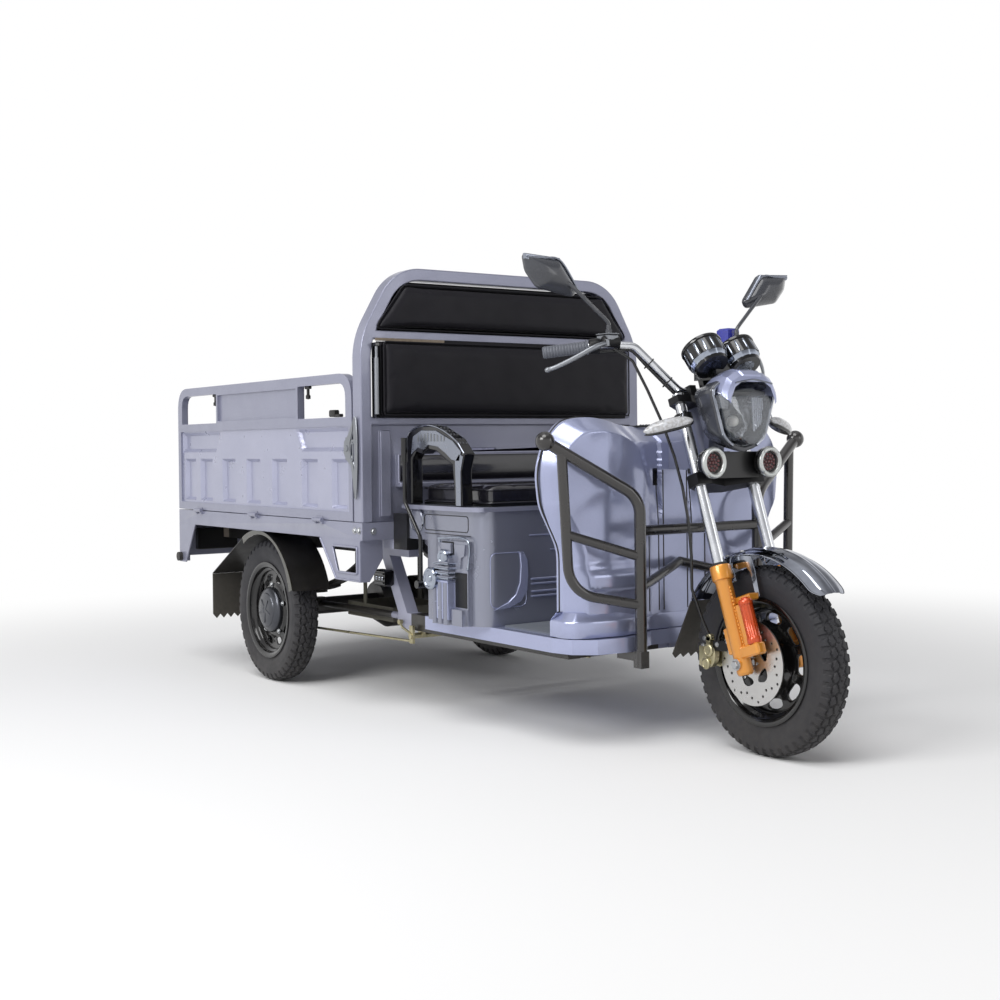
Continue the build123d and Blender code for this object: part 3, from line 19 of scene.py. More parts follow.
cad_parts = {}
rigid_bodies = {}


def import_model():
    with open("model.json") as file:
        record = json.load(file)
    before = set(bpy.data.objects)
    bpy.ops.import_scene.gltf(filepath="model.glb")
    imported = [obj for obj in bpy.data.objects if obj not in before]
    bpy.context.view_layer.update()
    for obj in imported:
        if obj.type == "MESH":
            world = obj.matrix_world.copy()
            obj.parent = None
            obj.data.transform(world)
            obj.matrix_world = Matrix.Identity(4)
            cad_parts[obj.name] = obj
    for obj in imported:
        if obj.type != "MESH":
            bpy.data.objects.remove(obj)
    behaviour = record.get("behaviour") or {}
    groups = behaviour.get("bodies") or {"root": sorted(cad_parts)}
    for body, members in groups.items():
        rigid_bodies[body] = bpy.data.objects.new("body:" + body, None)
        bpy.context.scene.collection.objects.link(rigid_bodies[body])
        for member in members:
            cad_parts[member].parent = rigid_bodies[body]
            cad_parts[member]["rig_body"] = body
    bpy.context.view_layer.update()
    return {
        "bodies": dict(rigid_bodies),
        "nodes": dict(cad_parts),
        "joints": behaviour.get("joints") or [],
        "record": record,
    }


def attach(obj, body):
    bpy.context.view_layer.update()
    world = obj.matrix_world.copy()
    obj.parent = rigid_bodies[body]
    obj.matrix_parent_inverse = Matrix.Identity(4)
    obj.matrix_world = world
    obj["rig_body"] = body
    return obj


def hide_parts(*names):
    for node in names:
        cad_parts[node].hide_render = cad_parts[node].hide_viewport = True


LOG = logging.getLogger("cargo_tricycle")

MM = 0.001
MIDDLE_X = 747.0

# Named sizes shared by several pieces, in mm
WHEELBASE = 1951.0
HALF_TRACK = 468.0
AXLE_Z = 248.0
BED_HALF = 550.0
BED_REAR = -690.0
BED_FRONT = 770.0
RAKE = math.radians(19.0)
FORK_HALF = 97.0


def linear(code: str) -> tuple[float, float, float, float]:
    """Turn an sRGB hex colour into the linear values that the shader takes.

    Args:
        code: Six hex digits, with or without a leading hash.

    Returns:
        Linear red, green and blue with an alpha of 1.
    """
    digits = code.lstrip("#")
    parts = np.array([int(digits[i:i + 2], 16) for i in (0, 2, 4)], float) / 255.0
    low = parts / 12.92
    high = ((parts + 0.055) / 1.055) ** 2.4
    values = np.where(parts <= 0.04045, low, high)
    return (float(values[0]), float(values[1]), float(values[2]), 1.0)


def metres(points: np.ndarray) -> np.ndarray:
    """Machine millimetres to metres in the shared frame."""
    return (np.asarray(points, float) - np.array([MIDDLE_X, 0.0, 0.0])) * MM


def per_metre(size_mm: float) -> float:
    """Scale of a pattern on Object coordinates whose feature is size_mm long."""
    return 1.0 / (size_mm * MM)


# Node helper


def add_node(tree: bpy.types.NodeTree, kind: str, settings: Optional[dict] = None,
             links: Optional[dict] = None) -> bpy.types.Node:
    """Add one node with its settings and incoming links.

    Args:
        tree: The node tree.
        kind: Blender's node type.
        settings: Properties by name, or socket values by socket name or number.
        links: Output sockets by the name or number of the input they go into.

    Returns:
        The new node.
    """
    node = tree.nodes.new(kind)
    for key, value in (settings or {}).items():
        if isinstance(key, int) or key in node.inputs:
            node.inputs[key].default_value = value
        else:
            setattr(node, key, value)
    for key, source in (links or {}).items():
        tree.links.new(source, node.inputs[key])
    return node


class Pattern(Enum):
    """Surface relief that a finish can carry."""

    ORANGE_PEEL = "orange_peel"
    GRAIN = "grain"
    BRUSHED = "brushed"
    WEAVE = "weave"
    PLY = "ply"
    SMOOTH = "smooth"


@dataclass(frozen=True)
class Finish:
    """A surface as the maker would order it.

    Attributes:
        name: Material name, after the real material.
        slot: The record's slot; not used.
        colour: Main sRGB colour.
        second: Colour of the darker or dusty patches; on chrome and fluted acrylic, of painted reflection.
        metallic: 0 for paint and plastic, 1 for bare metal.
        rough: Middle roughness.
        spread: How far the roughness strays, from finger marks and haze.
        coat: Strength of a clear coat.
        grain_mm: Size of the relief in mm.
        relief_mm: Height of the relief in mm.
        pattern: Kind of relief.
        cloud_mm: Size of the slow colour change.
        cloud: Share of the second colour.
        dust: Share of road dust low on the machine.
        ior: Index of refraction, where it isn't a metal.
        transmission: How clear it is.
        flakes: Share of metal flake in a paint.
        sheen: Sheen weight of leathercloth and rubber.
        glow: Emission strength, as painted light on a lit or reflecting face.
        alpha: Share of light that a thin clear moulding holds back.
        zones: Parts painted in another colour, each as (X range, |Y| range, colour), in mm.
    """

    name: str
    slot: str
    colour: str
    second: str
    metallic: float = 0.0
    rough: float = 0.4
    spread: float = 0.08
    coat: float = 0.0
    grain_mm: float = 3.0
    relief_mm: float = 0.05
    pattern: Pattern = Pattern.ORANGE_PEEL
    cloud_mm: float = 180.0
    cloud: float = 0.25
    dust: float = 0.0
    ior: float = 1.5
    transmission: float = 0.0
    flakes: float = 0.0
    sheen: float = 0.0
    glow: float = 0.0
    zones: tuple = ()
    alpha: float = 1.0

    def build(self) -> bpy.types.Material:
        """Make the material, or fetch it if it is there already."""
        found = bpy.data.materials.get(self.name)
        if found:
            return found
        material = bpy.data.materials.new(self.name)
        material.use_nodes = True
        material.diffuse_color = linear(self.colour)
        tree = material.node_tree
        tree.nodes.clear()
        out = add_node(tree, "ShaderNodeOutputMaterial")
        shader = add_node(tree, "ShaderNodeBsdfPrincipled", {
            "Metallic": self.metallic, "IOR": self.ior, "Coat Weight": self.coat,
            "Coat Roughness": 0.06, "Transmission Weight": self.transmission, "Alpha": self.alpha,
            "Sheen Weight": self.sheen, "Sheen Roughness": 0.45,
        })
        tree.links.new(shader.outputs[0], out.inputs[0])
        place = add_node(tree, "ShaderNodeTexCoord").outputs["Object"]
        colour = self._colour(tree, place)
        tree.links.new(colour, shader.inputs["Base Color"])
        tree.links.new(self._roughness(tree, place), shader.inputs["Roughness"])
        height = self._relief(tree, place)
        if height is not None:
            bump = add_node(tree, "ShaderNodeBump", {"Strength": 1.0, "Distance": self.relief_mm * MM},
                            {"Height": height})
            tree.links.new(bump.outputs[0], shader.inputs["Normal"])
        if self.glow:
            shader.inputs["Emission Color"].default_value = linear(self.colour)
            shader.inputs["Emission Strength"].default_value = self.glow
        return material

    def _colour(self, tree: bpy.types.NodeTree, place: Any) -> Any:
        """Main colour with slow clouds, metal flake and road dust."""
        cloud = add_node(tree, "ShaderNodeTexNoise", {"Scale": per_metre(self.cloud_mm), "Detail": 4.0},
                         {"Vector": place})
        share = add_node(tree, "ShaderNodeMapRange",
                         {"From Min": 0.35, "From Max": 0.75, "To Min": 0.0, "To Max": self.cloud},
                         {"Value": cloud.outputs["Fac"]})
        mixed = add_node(tree, "ShaderNodeMix",
                         {"data_type": "RGBA", 6: linear(self.colour), 7: linear(self.second)},
                         {0: share.outputs[0]}).outputs[2]
        for across, aside, paint in self.zones:
            inside = self._zone(tree, place, across, aside)
            mixed = add_node(tree, "ShaderNodeMix", {"data_type": "RGBA", 7: linear(paint)},
                             {0: inside, 6: mixed}).outputs[2]
        if self.flakes:
            # Real flake is under 0.1 mm; 1.2 mm cells are as fine as the picture can hold
            cells = add_node(tree, "ShaderNodeTexVoronoi", {"Scale": per_metre(1.2)}, {"Vector": place})
            spark = add_node(tree, "ShaderNodeMapRange",
                             {"From Min": 0.0, "From Max": 1.0, "To Min": 1.0 - self.flakes,
                              "To Max": 1.0 + self.flakes}, {"Value": cells.outputs["Color"]})
            mixed = add_node(tree, "ShaderNodeVectorMath", {"operation": "SCALE"},
                             {0: mixed, "Scale": spark.outputs[0]}).outputs[0]
        if self.dust:
            height = add_node(tree, "ShaderNodeSeparateXYZ", None, {0: place}).outputs[2]
            low = add_node(tree, "ShaderNodeMapRange",
                           {"From Min": 0.05, "From Max": 0.55, "To Min": 1.0, "To Max": 0.0},
                           {"Value": height})
            speck = add_node(tree, "ShaderNodeTexNoise",
                             {"Scale": per_metre(22.0), "Detail": 8.0, "Roughness": 0.65},
                             {"Vector": place})
            both = add_node(tree, "ShaderNodeMath", {"operation": "MULTIPLY"},
                            {0: low.outputs[0], 1: speck.outputs["Fac"]})
            amount = add_node(tree, "ShaderNodeMath", {"operation": "MULTIPLY", 1: self.dust},
                              {0: both.outputs[0]})
            mixed = add_node(tree, "ShaderNodeMix", {"data_type": "RGBA", 7: linear("8d8578")},
                             {0: amount.outputs[0], 6: mixed}).outputs[2]
        return mixed

    def _zone(self, tree: bpy.types.NodeTree, place: Any, across: tuple, aside: tuple) -> Any:
        """1 inside an X range and a |Y| range, and 0 outside.

        Args:
            tree: The material's nodes.
            place: Socket of the Object coordinates.
            across: X from and to, in mm.
            aside: |Y| from and to, in mm.

        Returns:
            The socket with the share.
        """
        axes = add_node(tree, "ShaderNodeSeparateXYZ", None, {0: place})
        away = add_node(tree, "ShaderNodeMath", {"operation": "ABSOLUTE"}, {0: axes.outputs[1]})
        share = None
        for socket, (low, high), origin in ((axes.outputs[0], across, MIDDLE_X), (away.outputs[0], aside, 0.0)):
            for kind, bound in (("GREATER_THAN", low), ("LESS_THAN", high)):
                test = add_node(tree, "ShaderNodeMath", {"operation": kind, 1: (bound - origin) * MM},
                                {0: socket}).outputs[0]
                if share is not None:
                    test = add_node(tree, "ShaderNodeMath", {"operation": "MULTIPLY"},
                                    {0: share, 1: test}).outputs[0]
                share = test
        return share

    def _roughness(self, tree: bpy.types.NodeTree, place: Any) -> Any:
        """Roughness that strays with wiping and haze."""
        haze = add_node(tree, "ShaderNodeTexNoise", {"Scale": per_metre(60.0), "Detail": 5.0},
                        {"Vector": place})
        return add_node(tree, "ShaderNodeMapRange",
                        {"From Min": 0.3, "From Max": 0.7, "To Min": max(self.rough - self.spread, 0.02),
                         "To Max": min(self.rough + self.spread, 1.0)},
                        {"Value": haze.outputs["Fac"]}).outputs[0]

    def _relief(self, tree: bpy.types.NodeTree, place: Any) -> Any:
        """Height of the fine relief, by the finish's pattern."""
        scale = per_metre(self.grain_mm)
        if self.pattern is Pattern.SMOOTH:
            return None
        if self.pattern is Pattern.GRAIN:
            return add_node(tree, "ShaderNodeTexVoronoi", {"Scale": scale, "feature": "SMOOTH_F1"},
                            {"Vector": place}).outputs["Distance"]
        if self.pattern is Pattern.BRUSHED:
            drawn = add_node(tree, "ShaderNodeMapping", {"Scale": (scale, scale * 0.03, scale)},
                             {"Vector": place})
            return add_node(tree, "ShaderNodeTexNoise", {"Scale": 1.0, "Detail": 3.0},
                            {"Vector": drawn.outputs[0]}).outputs["Fac"]
        if self.pattern is Pattern.WEAVE:
            cross = []
            for axis in ("Y", "Z"):
                wave = add_node(tree, "ShaderNodeTexWave",
                                {"bands_direction": axis, "Scale": scale / 20.0, "Distortion": 0.4},
                                {"Vector": place})
                cross.append(wave.outputs["Fac"])
            return add_node(tree, "ShaderNodeMath", {"operation": "MULTIPLY"},
                            {0: cross[0], 1: cross[1]}).outputs[0]
        if self.pattern is Pattern.PLY:
            return add_node(tree, "ShaderNodeTexWave",
                            {"bands_direction": "X", "Scale": scale / 20.0, "Distortion": 2.0},
                            {"Vector": place}).outputs["Fac"]
        return add_node(tree, "ShaderNodeTexNoise", {"Scale": scale, "Detail": 2.0},
                        {"Vector": place}).outputs["Fac"]


# Finishes, named for the real material and how its surface was made

# Baked metallic enamel on pressed steel: a soft silver lavender that lifts at grazing light
PANEL_ENAMEL = Finish("baked_metallic_enamel_on_steel", "body_paint", "9092a5", "828498", metallic=0.35,
                      rough=0.34, spread=0.06, coat=0.35, grain_mm=5.0, relief_mm=0.06, flakes=0.08,
                      cloud=0.5, dust=0.05)
# The same enamel on moulded ABS, glossier because the plastic is smoother than the sheet; its colour is painted
# lighter than the frame's, as painted light on the stamped sheet
PRESSED_ENAMEL = Finish("baked_metallic_enamel_on_pressed_sheet", "body_paint", "a5a7bc", "979ab1",
                        metallic=0.35, rough=0.32, spread=0.06, coat=0.4, grain_mm=5.0, relief_mm=0.06,
                        flakes=0.08, cloud=0.5, dust=0.05)
SHELL_LACQUER = Finish("metallic_lacquer_on_moulded_abs", "shield_plastic", "a6accb", "979ebd",
                       metallic=0.45, rough=0.24, spread=0.03, coat=0.6, grain_mm=9.0, relief_mm=0.03,
                       flakes=0.05, cloud=0.4, dust=0.05)
SEAT_LACQUER = Finish("grey_lacquer_on_moulded_abs", "seat_plastic", "868998", "7f8291", metallic=0.4,
                      rough=0.26, spread=0.02, coat=0.5, grain_mm=9.0, relief_mm=0.01, flakes=0.02,
                      cloud=0.2)
# Black stove enamel on the welded frame: dips and runs give a broad dull gloss
FRAME_ENAMEL = Finish("black_stove_enamel_on_welded_steel", "frame_paint", "101012", "1c1b1a", rough=0.38,
                      spread=0.1, coat=0.2, grain_mm=6.0, relief_mm=0.12, dust=0.2,
                      zones=(((560.0, 770.0), (320.0, 600.0), "9a9cb0"),
                             ((-700.0, -610.0), (0.0, 600.0), "8c8378"),
                             ((1480.0, 1762.0), (0.0, 60.0), "71758c")))
# Dark powder coat on bent tube, with a smooth satin shine
GUARD_COAT = Finish("gunmetal_powder_coat_on_tube", "gunmetal", "2a2827", "3a3635", metallic=0.5,
                    rough=0.3, coat=1.0, grain_mm=2.5, relief_mm=0.03)
# Decorative chrome plate: a mirror that picks up black and white from the room; its colour is painted darker, in
# dark clouds, as painted reflection
CHROME = Finish("decorative_chrome_plate", "chrome", "a8acb6", "6a6e78", metallic=1.0, rough=0.07,
                spread=0.03, pattern=Pattern.SMOOTH, cloud_mm=70.0, cloud=0.9)
# Anodised aluminium sliders: orange dye under a clear oxide skin
ORANGE_ANODISE = Finish("orange_anodised_aluminium", "orange", "d98f2d", "c67e24", metallic=0.4,
                        rough=0.34, spread=0.03, coat=1.0, grain_mm=3.0, relief_mm=0.005, cloud=0.2)
# Yellow zinc passivation: olive and brass tints drift over the casting
YELLOW_ZINC = Finish("yellow_passivated_zinc_casting", "gold", "b9b192", "8d8868", metallic=0.85,
                     rough=0.34, spread=0.1, grain_mm=1.6, relief_mm=0.12, cloud_mm=25.0, cloud=0.8)
# Ground stainless steel: fine rings from the grinder
GROUND_STEEL = Finish("ground_stainless_steel", "steel", "c9c8c6", "a9a8a6", metallic=1.0, rough=0.32,
                      grain_mm=0.8, relief_mm=0.02, pattern=Pattern.BRUSHED)
# Galvanised fasteners: dull silver
ZINC_BOLT = Finish("bright_zinc_fastener", "steel", "b4b6b8", "7e7f80", metallic=1.0, rough=0.36,
                   grain_mm=2.0, relief_mm=0.03)
# Black wheel enamel over pressed steel: deep gloss
WHEEL_ENAMEL = Finish("black_gloss_wheel_enamel", "rim", "08080a", "101012", rough=0.14, spread=0.04,
                      coat=0.3, grain_mm=8.0, relief_mm=0.05, dust=0.04)
HUB_CAP_ENAMEL = Finish("grey_hub_cap_enamel", "rim", "4d4f55", "3a3c41", metallic=0.85, rough=0.3,
                        coat=0.3, relief_mm=0.05)
# Tyre compound: carbon black with a grey bloom and dust in the grooves
TYRE_COMPOUND = Finish("carbon_black_tyre_compound", "tyre", "202127", "2b2b31", rough=0.6, ior=1.4, spread=0.1,
                       grain_mm=1.5, relief_mm=0.10, pattern=Pattern.GRAIN, cloud=0.5, dust=0.16,
                       sheen=0.05)
# Moulded rubber: flaps, hoses and buffers
MOULDED_RUBBER = Finish("moulded_black_rubber", "rubber", "1c1b1a", "2b2927", rough=0.55, grain_mm=2.0,
                        relief_mm=0.08, dust=0.2, sheen=0.05)
MAT_RUBBER = Finish("ribbed_floor_mat_rubber", "mat", "626974", "6d747e", rough=0.62, grain_mm=2.0,
                    relief_mm=0.1, cloud=0.6, dust=0.5)
# Coated leathercloth: embossed pebble grain under a soft shine
LEATHERCLOTH = Finish("embossed_black_leathercloth", "leather", "17161b", "1f1e25", rough=0.5, ior=1.28,
                      spread=0.07, grain_mm=2.2, relief_mm=0.16, pattern=Pattern.GRAIN, sheen=0.04)
SEAT_HIDE = Finish("glossy_black_leathercloth", "leather", "1a191f", "24232a", rough=0.2, spread=0.07,
                   coat=0.9, grain_mm=2.2, relief_mm=0.12, pattern=Pattern.GRAIN)
# Birch plywood: the tan edge shows its plies
PLYWOOD = Finish("birch_plywood_edge", "board", "8f8272", "6e6252", rough=0.62, grain_mm=1.4,
                 relief_mm=0.12, pattern=Pattern.PLY, cloud_mm=12.0, cloud=0.8)
# Injection moulded plastics, with an eroded grain or a polish from the tool
GRAINED_PLASTIC = Finish("grained_black_polypropylene", "black_plastic", "101012", "18181b", rough=0.42, ior=1.4,
                         grain_mm=1.3, relief_mm=0.08, pattern=Pattern.GRAIN)
POLISHED_PLASTIC = Finish("polished_black_abs", "black_plastic", "0b0b0d", "141417", rough=0.16, coat=0.3,
                          grain_mm=12.0, relief_mm=0.05)
GRIP_RUBBER = Finish("silver_grey_grip_rubber", "grip", "63666f", "50535b", rough=0.42, grain_mm=1.2,
                     relief_mm=0.08, pattern=Pattern.GRAIN)
# Clear polycarbonate moulding: thin enough to see straight through, with a mirror-like skin
CLEAR_LENS = Finish("clear_polycarbonate", "clear", "dfe3e8", "c3c8cf", metallic=1.0, rough=0.05,
                    spread=0.02, alpha=0.11, pattern=Pattern.SMOOTH, cloud=0.3)
RED_LENS = Finish("red_acrylic_lens", "red_lens", "8c0f12", "6d090c", rough=0.12, coat=0.6,
                  grain_mm=3.0, relief_mm=0.3, pattern=Pattern.WEAVE)
BATTERY_CASE = Finish("battery_case_polypropylene", "battery", "1e1f22", "292a2d", rough=0.5)
# Dark grey moulding with a polished face, as on lamp and mirror housings
HOUSING_PLASTIC = Finish("dark_grey_polished_abs", "black_plastic", "3f4147", "323338", rough=0.22, coat=0.35,
                         grain_mm=10.0, relief_mm=0.04)
# Satin paint over plastic that reads as brushed silver
SATIN_SILVER = Finish("satin_silver_paint_on_abs", "chrome", "8d929e", "767b87", metallic=0.75, rough=0.26,
                      coat=0.3, grain_mm=4.0, relief_mm=0.03)
# Pressure die castings: levers and reservoirs
CAST_ALUMINIUM = Finish("die_cast_aluminium", "chrome", "8f9297", "75787d", metallic=0.9, rough=0.36,
                        grain_mm=1.2, relief_mm=0.06)
# Bright aluminium ring, blasted before it is polished
LAMP_RING = Finish("blasted_bright_aluminium", "chrome", "c3c6c4", "a9aca8", metallic=0.9, rough=0.3,
                   grain_mm=1.5, relief_mm=0.04)
# Frosted bulb glass
FROSTED_GLASS = Finish("frosted_bulb_glass", "clear", "f3f1ea", "e4e2da", rough=0.35, transmission=0.2)
# Clear acrylic with moulded flutes: its white, with small darker clouds, is painted light and painted reflection
# from the flutes' many faces
FLUTED_ACRYLIC = Finish("fluted_clear_acrylic", "clear", "cfd1d6", "8b8680", rough=0.12, spread=0.05,
                        coat=0.8, grain_mm=3.5, relief_mm=0.9, pattern=Pattern.WEAVE, cloud_mm=9.0,
                        cloud=0.9)
# Unlit red diodes under their domes
RED_CELLS = Finish("red_diode_domes", "red_lens", "5a161c", "34090d", rough=0.12, coat=0.7, grain_mm=5.0,
                   relief_mm=0.05)
DIAL_INK = Finish("matt_black_dial_ink", "black_plastic", "0f1012", "17181b", rough=0.6, relief_mm=0.01)
DIAL_WHITE = Finish("white_dial_print", "clear", "e9e9e6", "dcdcd8", rough=0.5, relief_mm=0.01)
# Smoked chrome over plastic, as on gauge cups and mock engine parts
SMOKED_CHROME = Finish("smoked_chrome_on_abs", "chrome", "abb2bf", "838a97", metallic=1.0, rough=0.16,
                       grain_mm=5.0, relief_mm=0.04, cloud_mm=30.0, cloud=0.8)
# Deeper orange dye on the small cylinders
DEEP_ORANGE = Finish("deep_orange_anodised_aluminium", "orange", "c9480f", "a83b0b", metallic=0.3,
                     rough=0.28, coat=0.6, grain_mm=3.0, relief_mm=0.003, cloud=0.2)
AMBER_LENS = Finish("amber_acrylic_lens", "red_lens", "c9731a", "a85a10", rough=0.12, coat=0.6,
                    grain_mm=3.0, relief_mm=0.3, pattern=Pattern.WEAVE)
# Vacuum-metallised bowl, a little dull behind its lens
REFLECTOR = Finish("metallised_lamp_bowl", "chrome", "787b80", "46494f", metallic=1.0, rough=0.13,
                   grain_mm=6.0, relief_mm=0.3, cloud_mm=25.0, cloud=0.7)
# Hard chrome, centreless-ground, on the legs and the bar
TUBE_CHROME = Finish("hard_chrome_on_ground_tube", "chrome", "dcdee2", "b9bcc2", metallic=1.0, rough=0.16,
                     grain_mm=2.5, relief_mm=0.03, cloud_mm=40.0, cloud=0.5)
EDGE_PAINT = Finish("olive_gloss_paint_on_flange", "frame_paint", "3f3d33", "2b2a24", metallic=0.4, rough=0.2,
                    coat=0.7, cloud_mm=50.0, cloud=0.8)
FLAP_RUBBER = Finish("grey_dusty_sheet_rubber", "rubber", "3b3935", "312f2d", rough=0.6, grain_mm=2.5,
                     relief_mm=0.1, dust=0.3)
BLUE_CAP = Finish("blue_translucent_cap", "clear", "3a3fa8", "2a2e86", rough=0.2, coat=0.6, relief_mm=0.03)
# Dark olive paint with dust, as on the tray and the motor
CASE_PAINT = Finish("olive_grey_case_paint", "frame_paint", "4a4a42", "3a3a35", rough=0.45, relief_mm=0.1,
                    dust=0.5)


# Shapes


@dataclass
class Shape:
    """Points in machine millimetres with their faces.

    Attributes:
        points: An n by 3 array.
        faces: Lists of point numbers.
    """

    points: np.ndarray
    faces: list

    def __add__(self, other: "Shape") -> "Shape":
        """Both shapes as one."""
        shift = len(self.points)
        moved = [[i + shift for i in face] for face in other.faces]
        return Shape(np.vstack([self.points, other.points]), self.faces + moved)

    def moved(self, x: float, y: float, z: float) -> "Shape":
        """The shape, shifted."""
        return Shape(self.points + np.array([x, y, z]), self.faces)

    def placed(self, matrix: np.ndarray, origin: Sequence[float]) -> "Shape":
        """The shape with its axes turned to a matrix's columns, about an origin."""
        return Shape(self.points @ np.asarray(matrix, float).T + np.asarray(origin, float), self.faces)

    def other_side(self) -> "Shape":
        """The shape mirrored in Y, with its faces turned to stay outwards."""
        return Shape(self.points * np.array([1.0, -1.0, 1.0]), [face[::-1] for face in self.faces])

    def both(self) -> "Shape":
        """The shape and its mirror image."""
        return self + self.other_side()


def grid(points: np.ndarray, wrap_rows: bool = False, wrap_columns: bool = True,
         caps: bool = False) -> Shape:
    """Quads over a rows by columns grid of points.

    Args:
        points: Array of rows, columns and 3.
        wrap_rows: Join the last row to the first.
        wrap_columns: Join the last column to the first.
        caps: Close the first and last row with one polygon each.

    Returns:
        The surface.
    """
    rows, columns = points.shape[:2]
    number = np.arange(rows * columns).reshape(rows, columns)
    down = np.roll(number, -1, axis=0)
    right = np.roll(number, -1, axis=1)
    cross = np.roll(down, -1, axis=1)
    last_row = rows if wrap_rows else rows - 1
    last_column = columns if wrap_columns else columns - 1
    quads = np.stack([number, right, cross, down], axis=-1)[:last_row, :last_column]
    faces = quads.reshape(-1, 4).tolist()
    if caps:
        faces.append(number[0][::-1].tolist())
        faces.append(number[-1].tolist())
    return Shape(points.reshape(-1, 3), faces)


def lathe(profile: Sequence[tuple], start: Sequence[float], axis: Sequence[float], sides: int = 32,
          closed: bool = False) -> Shape:
    """Surface of revolution: every (radius, height) of the profile is carried round the axis.

    Args:
        profile: (radius, height) pairs, from the start upwards along the axis.
        start: Point on the axis at height 0.
        axis: Direction of the axis.
        sides: Number of steps round.
        closed: The profile is itself a closed ring.

    Returns:
        The surface, with its open ends capped.
    """
    outline = np.array(profile, float)
    along = np.array(axis, float) / np.linalg.norm(axis)
    helper = np.array([0.0, 0.0, 1.0]) if abs(along[2]) < 0.9 else np.array([1.0, 0.0, 0.0])
    first = np.cross(helper, along)
    first /= np.linalg.norm(first)
    second = np.cross(along, first)
    turn = np.linspace(0.0, 2 * math.pi, sides, endpoint=False)
    ring = np.cos(turn)[:, None] * first + np.sin(turn)[:, None] * second
    points = outline[:, 0][:, None, None] * ring[None] + outline[:, 1][:, None, None] * along
    return grid(points + np.array(start, float), wrap_rows=closed, caps=not closed)


def tube(path: Sequence[Sequence[float]], radius: float, sides: int = 12, ends: bool = True) -> Shape:
    """Circle of one radius carried along a path, square to its direction at each point.

    Args:
        path: Points of the path.
        radius: Radius in mm.
        sides: Points round the circle.
        ends: Close the two ends.

    Returns:
        The tube.
    """
    line = np.array(path, float)
    way = np.gradient(line, axis=0)
    way /= np.linalg.norm(way, axis=1)[:, None]
    flat = np.array([0.0, 0.0, 1.0]) if np.abs(way[:, 2]).max() < 0.95 else np.array([0.3, 1.0, 0.1])
    across = np.cross(way, flat)
    across /= np.linalg.norm(across, axis=1)[:, None]
    over = np.cross(across, way)
    turn = np.linspace(0.0, 2 * math.pi, sides, endpoint=False)
    points = (line[:, None] + radius * (np.cos(turn)[None, :, None] * across[:, None]
                                        + np.sin(turn)[None, :, None] * over[:, None]))
    return grid(points[:, ::-1], caps=ends)


def prism(outline: Sequence[tuple], depth: float, edge: float = 1.0) -> Shape:
    """Flat outline carried up local Z, its two rims drawn in by a small edge.

    The rim points move along the mean of their two edge normals, so the block gets a chamfer.

    Args:
        outline: (x, y) points, anticlockwise.
        depth: Thickness in mm.
        edge: Size of the chamfer in mm.

    Returns:
        The block, from z 0 to depth.
    """
    flat = np.array(outline, float)
    ahead = np.roll(flat, -1, axis=0) - flat
    ahead /= np.linalg.norm(ahead, axis=1)[:, None] + 1e-9
    outward = np.stack([ahead[:, 1], -ahead[:, 0]], axis=1)
    mean = outward + np.roll(outward, 1, axis=0)
    mean /= np.maximum((mean ** 2).sum(axis=1), 0.4)[:, None] / 2.0
    inner = flat - mean * edge
    rows = [np.c_[shape, np.full(len(flat), z)]
            for shape, z in ((inner, 0.0), (flat, edge), (flat, depth - edge), (inner, depth))]
    return grid(np.stack(rows), caps=True)


def box_shape(x: tuple, y: tuple, z: tuple, edge: float = 1.0) -> Shape:
    """Block between low and high values along each axis, with chamfered rims."""
    outline = [(x[0], y[0]), (x[1], y[0]), (x[1], y[1]), (x[0], y[1])]
    return prism(outline, z[1] - z[0], edge).moved(0, 0, z[0])


def bolt(at: Sequence[float], axis: Sequence[float], size: float = 6.0, washer: bool = True) -> Shape:
    """Hexagon bolt head on a washer: a six-sided lathe with a chamfered crown.

    Args:
        at: Point on the surface it is screwed into.
        axis: Direction in which the head stands out.
        size: Radius across the head's corners.
        washer: Put a washer under it.

    Returns:
        The head.
    """
    head = lathe([(size, 0.4), (size, size * 0.7), (size * 0.86, size * 0.85), (0.3, size * 0.85)],
                 at, axis, 6)
    if not washer:
        return head
    return head + lathe([(size * 1.35, 0.0), (size * 1.35, 1.2), (size * 0.9, 1.3)], at, axis, 20)


def curve_through(points: Sequence[Sequence[float]], steps: int = 60) -> np.ndarray:
    """Catmull-Rom curve: each span is the cubic that joins its two points smoothly.

    Args:
        points: Points that the curve passes through.
        steps: Number of points given back.

    Returns:
        A steps by 3 array.
    """
    line = np.array(points, float)
    padded = np.vstack([2 * line[0] - line[1], line, 2 * line[-1] - line[-2]])
    place = np.linspace(0, len(line) - 1 - 1e-9, steps)
    span = place.astype(int)
    t = (place - span)[:, None]
    a, b, c, d = (padded[span + k] for k in range(4))
    return 0.5 * (2 * b + (c - a) * t + (2 * a - 5 * b + 4 * c - d) * t ** 2
                  + (3 * b - a - 3 * c + d) * t ** 3)


